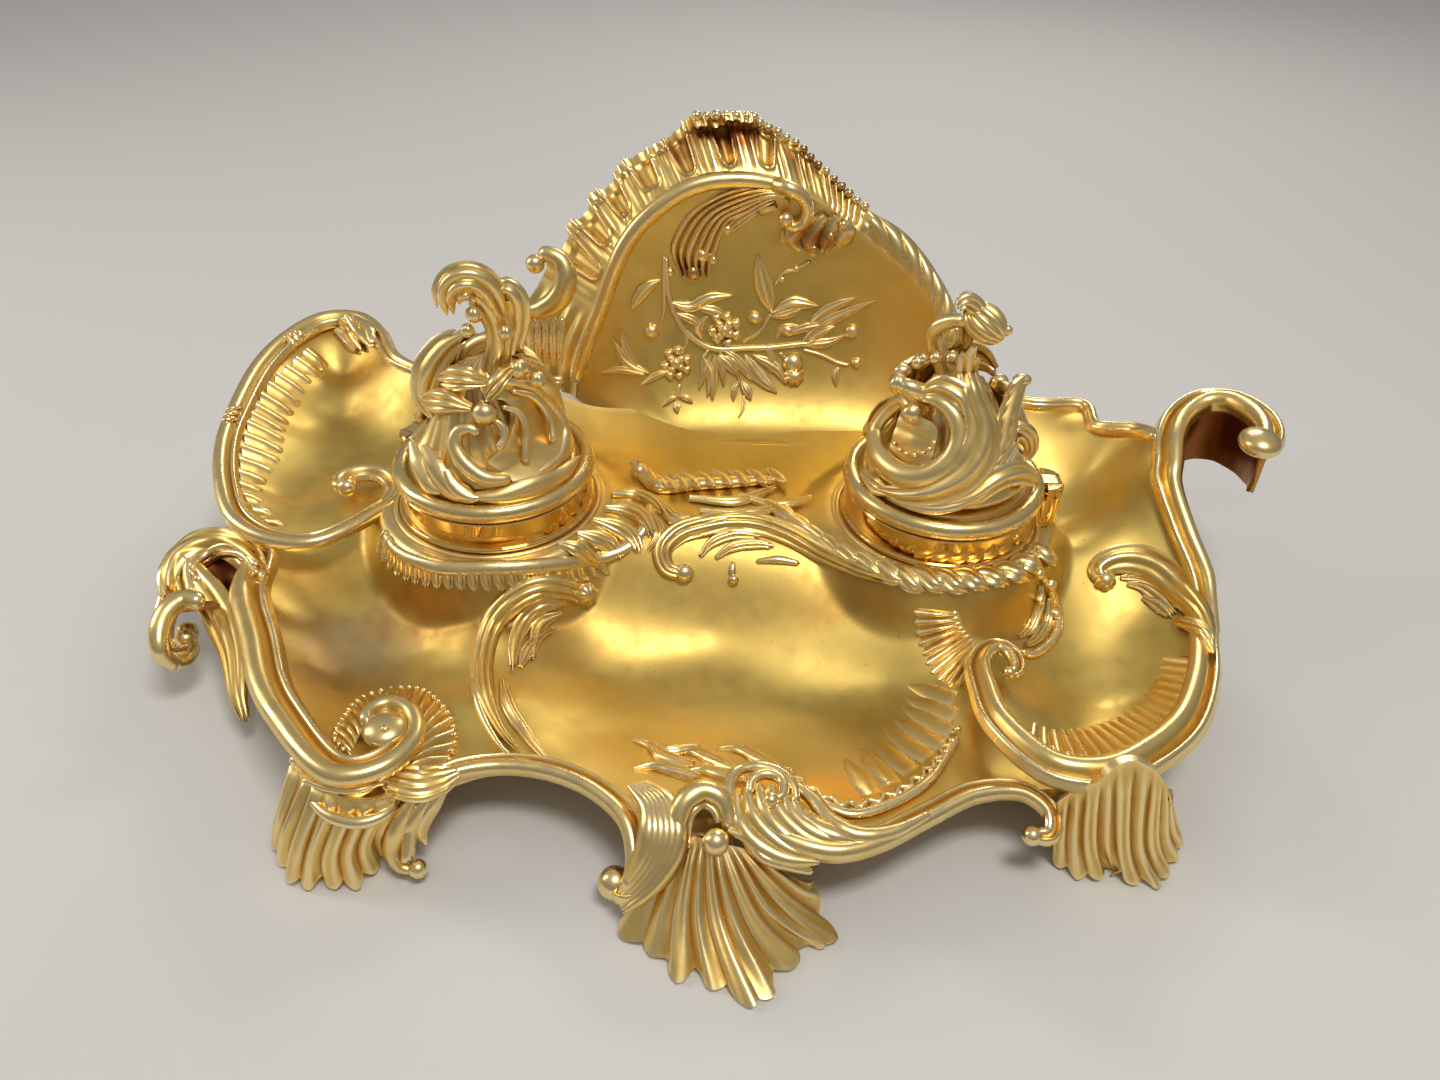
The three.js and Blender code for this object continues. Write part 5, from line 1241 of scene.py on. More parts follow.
# Ornament of the right side: a fluted fan and a small curled leaf beside the basin, petals at the
# basin's right end, flutes round the dish under its border, and two acanthus leaves that spring
# from the border into the dish.
right_ornament = Casting()
right_window = window(890, 530, 2.368)
lay_fan(right_ornament, tray_view,
        right_window((160, 195), (172, 225), (185, 245), (198, 262), (202, 280), (200, 300)),
        right_window((55, 180), (60, 235), (75, 290), (100, 340), (130, 366), (172, 372)),
        10, depth=1.5, lift=(0.2, 1.4, 0.6), thickness=2.0, scallop=0.1)
right_inner = right_window((632, 292), (624, 328), (608, 360), (584, 388), (552, 412), (516, 434), (470, 452),
                           (424, 460), (378, 456), (338, 440))
right_outer = right_window((728, 300), (712, 355), (700, 400), (680, 450), (640, 500), (590, 530), (530, 546),
                           (470, 548), (400, 536), (320, 492))
lay_fan(right_ornament, tray_view, right_inner, right_outer, 20, depth=0.9,
        lift=(-0.7, -0.1, 0.5), thickness=2.4, scallop=0.06)
basin_edge = ((955, 700), (955, 728), (938, 752), (908, 776), (872, 796))
basin_middle = np.array([760, 640])
for share in np.linspace(0, 1, 8):
    edge = place_between(basin_edge, share)
    toward = (basin_middle - edge) * (0.3 - 0.08 * abs(share - 0.5))
    lay_leaf(right_ornament, tray_view, (edge, edge + toward * 0.35, edge + toward * 0.7, edge + toward),
             (3.0, 3.4, 2.8, 0.8), proud=(0.3, 0.1, -0.1, -0.35), ridges=1, ridge=0.0, camber=0.5,
             thickness=1.8)
top_leaf = right_window((500, 118), (492, 98), (520, 78), (575, 72), (630, 92), (690, 145), (742, 215),
                        (770, 300))
lay_leaf(right_ornament, crown_view, top_leaf, (3.0, 4.8, 5.8, 5.4, 4.6, 3.6, 2.8, 1.0), proud=1.4,
         ridges=2, ridge=1.0, camber=2.8, thickness=3.2, slant=0.6)
lay_ball(right_ornament, tray_view, right_window((507, 120))[0], 3.8, proud=1.6, lobes=6)
for places in (
        ((560, 130), (600, 134), (640, 160), (680, 200)),
        ((545, 115), (590, 112), (640, 130), (690, 170)), ((600, 160), (640, 178), (670, 210))):
    lay_leaf(right_ornament, tray_view, right_window(*places), (0.8, 2.6, 2.8, 0.8), proud=0.7,
             ridges=2, ridge=0.6, camber=1.2)
lay_leaf(right_ornament, crown_view, right_window((680, 222), (712, 222), (742, 250), (762, 300)),
         (1.2, 2.4, 2.6, 1.0), proud=1.2, ridges=3, ridge=0.6, camber=1.4, thickness=2.0)
curl_leaf = right_window((352, 108), (378, 150), (395, 200), (392, 245), (365, 280), (330, 296), (303, 288))
lay_roll(right_ornament, tray_view, curl_leaf, 3.4, 3.4, proud=0.8, taper=(0.6, 1, 1.1, 1, 0.7))
for places, width in (
        (((352, 130), (350, 180), (330, 230), (300, 255)), 2.2),
        (((372, 160), (370, 215), (345, 262), (315, 278)), 2.4)):
    lay_leaf(right_ornament, tray_view, right_window(*places), (0.8, width, width, 0.8), proud=0.7,
             ridges=3, ridge=0.6, camber=1.0, slant=0.8)
for place, radius in (((345, 105), 2.0), ((372, 130), 2.4), ((348, 165), 1.8), ((388, 200), 2.4)):
    lay_ball(right_ornament, tray_view, right_window(place)[0], radius, proud=1.2, lobes=5)
pour(right_ornament, "right_ornament", gilt_border)

# Ornament of the front apron: a hood over the centre foot, acanthus that runs down its left side,
# and a rolled leaf with lobes at its right, from which a crinkled edge follows the basin.
apron = Casting()
apron_window = window(560, 740, 2.941)
stand_roll(apron, apron_window, ((338, 330, 22), (345, 250, 26), (370, 180, 30), (420, 150, 31),
                                 (470, 168, 30), (494, 215, 27), (500, 270, 24)), 5.6, 5.0,
           taper=(0.7, 1, 1.2, 1, 0.7))
stand_roll(apron, apron_window, ((380, 320, 22), (378, 250, 25), (395, 205, 28), (425, 190, 28),
                                 (455, 210, 27), (468, 250, 25)), 3.0, 3.0)
apron.add(*ball(seen_at(apron_window((458, 300)), 25)[0], (3.6, 3.6, 3.6)))
for shift in range(6):
    out = shift * 17
    places = (
        (250 - out * 0.5, 128 + out * 0.12, 28), (318 - out * 0.75, 185 + out * 0.2, 28),
        (346 - out, 262 + out * 0.05, 26), (332 - out, 345 - out * 0.1, 21),
        (268 - out * 0.75, 440 - out * 0.35, 14), (185 - out * 0.2, 505 - out * 0.55, 8))
    stand_leaf(apron, apron_window, places, (1.2, 2.6, 3.0, 3.0, 2.4, 1.0), ridges=1, ridge=0.3,
               camber=1.8, thickness=3.4)
apron.add(*ball(seen_at(apron_window((160, 420)), 8)[0], (4.6, 4.6, 4.6)))
stand_roll(apron, apron_window, ((490, 262, 25), (560, 300, 24), (600, 345, 22), (680, 372, 20),
                                 (745, 388, 18)), 3.6, 3.6)
rose_window = window(540, 720, 2.38)
for places in (((466, 182, 27), (474, 238, 26), (512, 290, 24), (580, 328, 22), (665, 338, 21)),
               ((492, 166, 28), (503, 216, 27), (540, 268, 25), (602, 310, 23), (682, 326, 22)),
               ((520, 158, 28.5), (532, 205, 27.5), (566, 256, 26), (622, 297, 24), (698, 315, 23)),
               ((550, 160, 29), (562, 204, 28), (593, 246, 26.5), (642, 283, 25), (714, 304, 24)),
               ((580, 174, 29), (592, 210, 28), (620, 244, 27), (664, 272, 26), (730, 294, 24.5)),
               ((606, 198, 28.5), (624, 230, 27.5), (654, 256, 26.5), (696, 274, 26), (748, 286, 25))):
    stand_leaf(apron, rose_window, places, (1.6, 3.0, 3.4, 3.0, 1.4), up=(0.1, -0.7, 0.7), ridges=1,
               ridge=0.3, camber=2.2, thickness=3.6)
for places, width, end_ball in (
        (((505, 112, 29), (466, 124, 29), (450, 165, 28.5), (456, 212, 27), (482, 255, 25)), 3.2, 0),
        (((470, 118, 29), (520, 112, 29.5), (572, 126, 29.5), (602, 158, 29), (610, 196, 28)), 3.4, 0),
        (((498, 178, 29), (505, 142, 30), (540, 128, 30), (574, 142, 30), (578, 176, 30),
          (550, 190, 30)), 3.0, 2.2)):
    stand_roll(apron, rose_window, places, width, width, taper=(0.7, 1.1, 1.1, 1, 0.6), end_ball=end_ball)
stand_roll(apron, rose_window, ((600, 150, 28), (650, 190, 27), (690, 240, 26), (750, 272, 25.5),
                                (830, 268, 25), (930, 222, 25)), 4.4, 4.4,
           taper=(0.6, 1.0, 1.2, 1.1, 0.8, 0.5))
edge_line = [(784, 772), (815, 798), (849, 812), (890, 803), (925, 780), (944, 757), (957, 735)]
for shift, width, wave in ((-4, 1.7, 0.9), (3, 3.4, 0.0)):
    crinkle, crinkle_up = laid(tray_view, [(x + shift * 0.5, y + shift) for x, y in edge_line], 0.9)
    aside = unit(np.cross(np.gradient(crinkle, axis=0), crinkle_up))
    crinkle = crinkle + aside * (wave * np.sin(np.arange(len(crinkle)) * 0.7 * 2 * math.pi / 5.5))[:, None]
    apron.add(*moulding(crinkle, rounded(12, 0.6), width, 2.4, up=crinkle_up, taper=(0.6, 1, 1, 0.6)))
for places, width in (
        (((632, 741), (650, 747), (666, 759), (694, 768)), 2.7),
        (((672, 752), (694, 753), (716, 763), (738, 775)), 2.8),
        (((634, 770), (654, 768), (674, 772), (700, 781)), 2.5),
        (((716, 749), (740, 751), (764, 763), (784, 776)), 2.8),
        (((684, 773), (706, 772), (726, 778), (748, 786)), 2.3)):
    lay_leaf(apron, tray_view, places, (0.4, width * 0.7, width, width * 0.9, width * 0.6),
             proud=(0.3, 0.8, 0.9, 0.8), ridges=2, ridge=0.55, camber=1.2, thickness=2.2, slant=0.6)
pour(apron, "apron_ornament", gilt_border)

# Beads and tiny lobes along the rims of the dishes, punched into the wax one after another
right_beads = ((1196, 659), (1192, 669), (1188, 680), (1186, 693), (1181, 709), (1167, 733), (1141, 752),
               (1122, 760), (1097, 762), (1069, 758), (1042, 747), (1025, 735))
left_beads = dish_window((470, 160), (420, 200), (370, 245), (325, 310), (298, 370), (283, 435), (275, 500),
                         (275, 565), (292, 620), (325, 672))
basin_beads = ((958, 731), (946, 754), (928, 776), (900, 796))
bead_lines = [laid(tray_view, places, 0.9)[0] for places in (right_beads, left_beads, basin_beads)]
bead_rows("dish_beads", bead_lines, 1.25, 4.2, gilt_border)
bead_rows("volute_beads", [volute_outer + np.array([0, 0, 1.2])], 0.95, 2.9, gilt_border)

# Back shell, cast with the tray: a smooth dish with a quarter-round hollow, and round it a flaring
# border of keyhole gouges between fine radial ridges, which ends in lobes at its outer edge.
SHELL_CENTRE, SHELL_FOOT_Y, SHELL_FOOT_Z = 16.0, 46.0, 41.0
SHELL_WALL_Y, SHELL_WRAP, SHELL_HALF_WIDTH = 80.0, 14.0, 72.0
SHELL_INNER_HEIGHT, SHELL_FLARE, SHELL_WALL = 128.0, 17.0, 3.4
SHELL_INNER = np.array([
    (-1, 0.36), (-0.97, 0.485), (-0.85, 0.655), (-0.76, 0.79), (-0.64, 0.89), (-0.43, 0.975), (-0.22, 1),
    (0, 0.99), (0.21, 0.95), (0.4, 0.885), (0.61, 0.805), (0.79, 0.71), (0.9, 0.6), (0.97, 0.485), (1, 0.36)])
SHELL_OUTER = np.array([
    (-1.39, 0.39), (-1.35, 0.515), (-1.14, 0.7), (-0.96, 0.86), (-0.79, 0.975), (-0.57, 1.08), (-0.33, 1.15),
    (-0.11, 1.155), (0.14, 1.055), (0.42, 0.93), (0.67, 0.845), (0.86, 0.735), (0.99, 0.61), (1.06, 0.485),
    (1.08, 0.36)])
FOOT_SPREAD = 0.4


def shell_wall_at(x):
    return SHELL_WALL_Y - SHELL_WRAP * ((x - SHELL_CENTRE) / SHELL_HALF_WIDTH) ** 2


def shell_rim(share, table):
    across, high = np.moveaxis(table_at(table, share), -1, 0)
    x = across * SHELL_HALF_WIDTH + SHELL_CENTRE
    return np.stack([x, shell_wall_at(x), high * SHELL_INNER_HEIGHT], -1)


def shell_dish(share, ring):
    rim = shell_rim(share, SHELL_INNER)
    foot = np.stack([SHELL_CENTRE + (rim[..., 0] - SHELL_CENTRE) * FOOT_SPREAD,
                     np.full(rim.shape[:-1], SHELL_FOOT_Y), np.full(rim.shape[:-1], SHELL_FOOT_Z)], -1)
    turn = ring * math.pi / 2
    out, rise = np.sin(turn)[..., None], (1 - np.cos(turn))[..., None]
    return np.concatenate([foot[..., :2] + (rim - foot)[..., :2] * out,
                           foot[..., 2:] + (rim - foot)[..., 2:] * rise], -1)


def shell_flare(share, out):
    rim, edge = shell_rim(share, SHELL_INNER), shell_rim(share, SHELL_OUTER)
    width = np.linalg.norm(edge - rim, axis=-1)
    edge[..., 1] = rim[..., 1] + np.minimum(SHELL_FLARE, width)
    return rim + (edge - rim) * out[..., None]


def grid_of(function, columns, rows):
    across, down = np.meshgrid(np.linspace(0, 1, columns), np.linspace(0, 1, rows))
    return across, down, function(across, down)


shell_casting = Casting()
share_grid, ring_grid, dish_front = grid_of(shell_dish, 300, 48)
turn = ring_grid[..., None] * math.pi / 2
dish_back = dish_front + SHELL_WALL * np.concatenate([turn * 0, np.sin(turn), -np.cos(turn)], -1)
shell_casting.add(*closed_sheet(dish_front, dish_back))
dish_normals = grid_normals(dish_front)
dish_normals *= np.sign(-dish_normals[..., 1:2] + dish_normals[..., 2:3] * 0.5)
dish_view = Carrier(dish_front.reshape(-1, 3), dish_normals.reshape(-1, 3))
pour(shell_casting, "shell_dish", gilt_tray)

GOUGE_SHARES = (0.173, 0.217, 0.27, 0.32, 0.373, 0.436, 0.5)
GOUGE_STARTS = (0.2, 0.32, 0.33, 0.32, 0.22, 0.2, 0.22)
EDGE_REACH = np.array([(0, 1), (0.06, 1), (0.12, 1.02), (0.15, 1.08), (0.182, 1.1), (0.195, 1.13),
                       (0.21, 1.08), (0.244, 1.11), (0.26, 1.05), (0.285, 1.05), (0.31, 1.11),
                       (0.325, 1.07), (0.338, 0.94), (0.353, 0.9), (0.368, 0.98), (0.404, 1), (0.5, 0.99),
                       (0.506, 0.86), (0.53, 0.86), (0.565, 0.96), (0.62, 1.1), (0.69, 1.2), (0.83, 1.2),
                       (0.9, 1.1), (1, 1)])
FINE_RIBS, RIB_GROUPS, BROAD_RIBS, WAVES, EDGE_LOBES, ROPE_STROKES = 92, 23, 41, 19, 75, 32
SHELL_TOP, BEAD_LINE_TOP = 148.4, 146.8
flare_casting = Casting()
share_grid, out_grid, flare_front = grid_of(shell_flare, 1100, 43)
gouge_away = np.full(share_grid.shape, 9.0)
for centre, start in zip(GOUGE_SHARES, GOUGE_STARTS):
    lean = 0.02 * (out_grid - 0.5) * (1 if centre > 0.48 else 0)
    aside = (share_grid - centre - lean) / (0.0075 + 0.0065 * out_grid)
    behind = np.maximum(start + 0.1 - out_grid, 0) / 0.1
    gouge_away = np.minimum(gouge_away, np.hypot(aside, behind))
left_part = smooth_step(share_grid, 0.13, 0.15) * (1 - smooth_step(share_grid, 0.585, 0.6))
relief = -2.9 * np.sqrt(np.clip(1 - gouge_away ** 2, 0, 1)) + 0.75 * np.exp(-((gouge_away - 1.2) / 0.22) ** 2)
ribs = smooth_step(gouge_away, 1.4, 1.8) * smooth_step(out_grid, 0.08, 0.3)
round_turn = share_grid * 2 * math.pi
relief += ribs * left_part * (0.13 * np.cos(round_turn * FINE_RIBS + 1.1 * np.sin(round_turn * RIB_GROUPS))
                              + 0.22 * np.cos(round_turn * BROAD_RIBS + 0.8))
relief -= 0.9 * smooth_step(out_grid, 0.5, 0.9) * ribs * np.sin(round_turn * WAVES) * left_part
fan_part = smooth_step(share_grid, 0.59, 0.605) * (1 - smooth_step(share_grid, 0.645, 0.655))
relief += fan_part * 0.9 * (abs(np.sin(share_grid * math.pi * 110)) - 0.5) * smooth_step(out_grid, 0.0, 0.3)
rope_part = smooth_step(share_grid, 0.645, 0.665)
rope_line = (share_grid - 0.65) * ROPE_STROKES + out_grid * 1.5
strokes = abs(np.sin(rope_line * math.pi)) ** 0.6
relief += rope_part * np.sin(np.clip(out_grid, 0, 1) * math.pi) * (1.4 + 1.7 * strokes)
foot_part = 1 - smooth_step(share_grid, 0.1, 0.13)
relief += foot_part * 0.5 * np.cos(out_grid * 2 * math.pi * 5)
reach = np.interp(share_grid, EDGE_REACH[:, 0], EDGE_REACH[:, 1])
reach += (left_part + fan_part) * 0.014 * np.cos(round_turn * EDGE_LOBES)
flare_plain = shell_flare(share_grid, out_grid * reach)
flare_normals = grid_normals(flare_plain)
flare_normals *= np.sign(-flare_normals[..., 1:2])
crest = smooth_step(share_grid, 0.398, 0.41) * (1 - smooth_step(share_grid, 0.495, 0.506))
brim = smooth_step(out_grid, 0.74, 0.86) * (1 - rope_part)
flare_front = flare_plain + flare_normals * relief[..., None]
flare_front[..., 1] -= brim * (crest * 5.5 + left_part * 1.0)
flare_front[..., 1] += crest * 1.6 * np.exp(-((out_grid - 0.7) / 0.07) ** 2)
flare_front[..., 2] = np.minimum(flare_front[..., 2], SHELL_TOP)
flare_back = flare_plain - flare_normals * (SHELL_WALL - 0.5 * np.clip(relief, -2.9, 0))[..., None]
flare_back[..., 1] -= brim * crest * 3.5
flare_back[..., 2] = np.minimum(flare_back[..., 2], SHELL_TOP)
flare_casting.add(*closed_sheet(flare_front, flare_back))
flare_view = Carrier(flare_front.reshape(-1, 3), flare_normals.reshape(-1, 3))
pour(flare_casting, "shell_border", gilt_border)
beaded = (share_grid[0] > 0.412) & (share_grid[0] < 0.652)
crest_line = flare_front[-1, beaded] + np.array([0, -0.6, 0.2])
for _ in range(30):
    crest_line[2:-2] = sum(crest_line[shift:len(crest_line) - 4 + shift] for shift in range(5)) / 5
crest_line[:, 2] = np.minimum(crest_line[:, 2], BEAD_LINE_TOP)
bead_rows("crest_beads", [crest_line], 1.75, 3.7, gilt_border)
# patches of painted shade: the shadow under the folded brim of the crest, and red-brown shade round the curl
# of the rim
CREST_SHADE_PATCHES = (
    ((730, 136), (17, 5, 5), (0.22, 0.07, 0.02), 0.95), ((686, 150), (9, 5, 5), (0.34, 0.13, 0.03), 0.7),
    ((812, 160), (8, 8, 7), (0.30, 0.11, 0.03), 0.7), ((838, 186), (5, 8, 6), (0.34, 0.13, 0.03), 0.6))
stain_and_shade(gilt_border, flare_view, CREST_SHADE_PATCHES)

# The moulding between the dish and its border is a plain roll that curls over at the top right,
# and a small scroll stands out from the foot of the shell at the left.
shell_rolls = Casting()
rim_path = shell_rim(np.linspace(0.03, 0.5, 14), SHELL_INNER)
curl = seen_upright([(788, 188), (802, 197), (808, 211), (802, 224), (790, 226), (784, 218)], 76)
rim_path = spline(np.concatenate([rim_path[picture_place(rim_path)[:, 0] < 775], curl]), 1.0)
shell_rolls.add(*moulding(rim_path, rounded(16), 6.4, 6.4, up=(0, -1, 0.3), taper=(1, 1, 1, 1, 0.9, 0.6)))
shell_rolls.add(*ball(curl[-1] + (0.6, -1.5, 0), (2.8, 2.6, 2.8)))
crescent = spline(seen_upright([(524, 312), (545, 308), (560, 296), (566, 279), (562, 263), (550, 255),
                                (538, 254)], (60, 59, 59, 60, 62, 63, 64)), 1.0)
shell_rolls.add(*moulding(crescent, rounded(16, 0.7), 7.4, 6.5, up=(0, -1, 0.2),
                          taper=(0.5, 1, 1.15, 1.1, 0.9, 0.7)))
shell_rolls.add(*ball(seen_upright([(535, 264)], 62)[0], (3.4, 3.2, 3.4)))
for shift in range(5):
    strand = spline(seen_upright([(532 + shift * 7, 366), (531 + shift * 7.4, 340),
                                  (530 + shift * 8, 316)], (56, 58, 60)), 1.0)
    shell_rolls.add(*moulding(strand, rounded(12, 0.7), 3.0, 3.0, up=(0, -1, 0.2), taper=(0.6, 1, 1, 0.8)))
pour(shell_rolls, "shell_rolls", gilt_border)

# Relief on the shell's dish, modelled in the wax and chased after casting: an acanthus leaf that
# sweeps under the rim, a bud below the volute, and a branch with leaves, buds and two flowers.
branch_window, rope_window, acanthus_window = window(590, 245, 5), window(760, 170, 6), window(540, 80, 2.63)
acanthus = Casting()


def lay_lobe(into, stations, flutes, proud, **shape):
    """A fluted lobe laid on the dish through cross lines, each seen at its two sides."""
    curves = []
    for start, end in stations:
        middle = ((start[0] + end[0]) / 2, (start[1] + end[1]) / 2)
        points, normals = dish_view.at(acanthus_window(start, middle, end))
        curves.append(points + normals * np.array(proud)[:, None])
    into.add(*shell_between(curves, flutes, (SHELL_CENTRE, 220, -20), **shape))


lay_lobe(acanthus, (((652, 289), (662, 303)), ((590, 280), (600, 318)), ((510, 284), (540, 345)),
                    ((440, 305), (498, 378)), ((385, 345), (478, 412)), ((350, 400), (464, 448)),
                    ((343, 455), (456, 478)), ((370, 518), (444, 508))), 6, (0.8, 3.0, 1.6),
         depth=1.7, scallop=0.16, thickness=3.4, rows=44, detail=9)
lay_lobe(acanthus, (((612, 306), (618, 318)), ((570, 322), (584, 342)), ((530, 344), (552, 364)),
                    ((500, 368), (524, 384)), ((478, 398), (500, 402))), 3, (0.4, 2.6, 0.4),
         depth=1.2, scallop=0.16, thickness=2.2, rows=30, detail=9)
for place, radius in (((430, 466), 2.3), ((456, 466), 1.5), ((402, 506), 2.6), ((492, 396), 1.7)):
    lay_ball(acanthus, dish_view, acanthus_window(place)[0], radius, proud=1.8, flat=0.7)
for places in (
        ((330, 270), (250, 330), (190, 410), (240, 480)),
        ((400, 265), (340, 330), (300, 420), (320, 510)),
        ((460, 265), (440, 330), (410, 400), (370, 480)), ((520, 280), (520, 330), (500, 380), (470, 430))):
    lay_leaf(acanthus, dish_view, rope_window(*places), (1.8, 3.6, 4.2, 2.4), proud=1.8, ridges=1, ridge=0.3,
             camber=2.2, thickness=3.2)
for place in ((330, 445), (420, 380), (500, 312)):
    lay_ball(acanthus, dish_view, rope_window(place)[0], 1.5, proud=4.0)
pour(acanthus, "shell_acanthus", gilt_border)
# patches of painted shade: the dark underside of the acanthus tip, and the shaded small leaf under the volute
LEAF_SHADE_PATCHES = (
    ((690, 270), (8, 8, 6), (0.36, 0.15, 0.04), 0.7), ((812, 240), (9, 9, 7), (0.34, 0.12, 0.03), 0.85))
stain_and_shade(gilt_border, dish_view, LEAF_SHADE_PATCHES)

branch = Casting()
STEMS = (
    ((380, 60), (388, 200), (410, 300), (470, 420), (560, 490), (640, 522), (760, 526), (900, 512),
     (1050, 505), (1160, 485), (1240, 470), (1290, 440)),
    ((1060, 515), (1160, 545), (1230, 590), (1300, 602)), ((372, 60), (366, 190), (366, 330), (345, 395)),
    ((1240, 600), (1238, 650)), ((760, 495), (850, 440), (905, 350)),
    ((590, 510), (560, 580), (562, 640)), ((640, 530), (700, 600), (742, 650), (742, 700)),
    ((450, 690), (440, 770)), ((470, 430), (480, 480), (450, 540)), ((940, 540), (980, 570)),
    ((1100, 85), (1030, 118), (960, 150), (925, 195)))
for places in STEMS:
    thick = 2.6 if len(places) > 8 else 1.7
    lay_roll(branch, dish_view, branch_window(*places), thick, thick, proud=0.5, taper=(0.7, 1, 0.9, 0.7))
LANCES = (
    (((905, 345), (868, 200), (838, 35)), 3.4), (((910, 340), (1010, 292), (1150, 292)), 2.6),
    (((345, 160), (270, 220), (198, 318)), 2.4), (((400, 285), (500, 300), (600, 270), (715, 240)), 2.4),
    (((252, 630), (190, 530), (153, 415)), 1.6), (((240, 612), (170, 570), (138, 485)), 1.6),
    (((275, 645), (160, 620), (58, 636)), 1.6), (((400, 635), (330, 660), (258, 702)), 1.5),
    (((600, 545), (572, 640), (545, 728)), 1.3), (((622, 545), (612, 650), (615, 785)), 2.2),
    (((625, 545), (660, 620), (668, 700)), 1.4), (((640, 540), (690, 590), (745, 650)), 2.2),
    (((735, 690), (722, 730), (718, 785)), 1.3), (((755, 685), (785, 730), (805, 780)), 2.0),
    (((772, 750), (765, 810), (745, 865)), 0.9), (((770, 555), (850, 660), (935, 748)), 2.8),
    (((1050, 490), (1130, 410), (1250, 350), (1432, 270)), 2.2),
    (((1075, 490), (1150, 440), (1230, 395)), 2.0), (((1238, 600), (1228, 650), (1235, 705)), 1.3),
    (((440, 770), (405, 780), (365, 803)), 1.2), (((440, 775), (435, 810), (442, 850)), 1.4),
    (((445, 765), (480, 765), (515, 790)), 1.3), (((690, 560), (720, 580), (760, 640)), 1.6),
    (((930, 470), (960, 405), (1045, 398)), 1.4), (((530, 297), (625, 316), (690, 360)), 2.0),
    (((905, 354), (986, 338), (1062, 316)), 1.8), (((1081, 400), (1195, 310), (1328, 259)), 2.2),
    (((967, 440), (1081, 415), (1195, 392)), 1.8), (((1062, 506), (1195, 492), (1271, 445)), 2.0),
    (((815, 560), (929, 620), (986, 696)), 2.2), (((120, 470), (187, 582), (301, 645)), 1.9),
    (((662, 520), (738, 582), (815, 677)), 2.0), (((567, 560), (605, 658), (586, 753)), 2.0),
    (((430, 330), (520, 365), (575, 420)), 1.8), (((560, 470), (545, 410), (590, 350)), 1.6),
    (((880, 505), (905, 560), (900, 630)), 1.8))
for places, width in LANCES:
    lay_leaf(branch, dish_view, branch_window(*places), (0.3, width * 0.8, width, width * 0.7, 0.2),
             proud=0.9, ridges=2, ridge=0.5, camber=1.2, thickness=1.8, tip=0.1, scallop=0.04)
BUDS = (
    ((305, 428), 3.0, 6), ((822, 372), 2.9, 2), ((985, 432), 2.6, 2), ((1310, 425), 2.7, 0),
    ((1335, 582), 2.2, 3), ((960, 165), 1.3, 0), ((1030, 120), 1.2, 0), ((400, 130), 1.5, 0),
    ((1015, 588), 4.0, 0), ((1020, 655), 4.0, 8))
for place, radius, lobes in BUDS:
    lay_ball(branch, dish_view, branch_window(place)[0], radius, proud=0.6, flat=0.75,
             lobes=lobes, lobe_depth=0.2)
for centre, spread, lump in (((672, 415), 62, 2.0), ((432, 592), 56, 1.8)):
    lay_ball(branch, dish_view, branch_window(centre)[0], lump * 1.3, proud=2.0, lobes=5)
    for ring, count in ((1.0, 7), (0.55, 4)):
        for petal in range(count):
            turn = petal / count * 2 * math.pi + ring * 1.3
            place = (centre[0] + spread * ring * math.cos(turn),
                     centre[1] + spread * 1.1 * ring * math.sin(turn))
            lay_ball(branch, dish_view, branch_window(place)[0], lump * (1.1 - 0.25 * (ring < 1)),
                     proud=0.7 + 1.1 * (ring < 1), lobes=3, lobe_depth=0.25)
# the branch relief is painted a paler gold than the dish it lies on, a painted highlight, with weaker painted
# shade in its hollows
gilt_relief = gilt_material("gilt_relief", gold=(0.93, 0.69, 0.26), olive=(0.84, 0.60, 0.20),
                            satin=0.38, grain=0.3, hollow_color=(0.55, 0.30, 0.08), hollow_strength=0.45)
pour(branch, "shell_branch", gilt_relief)


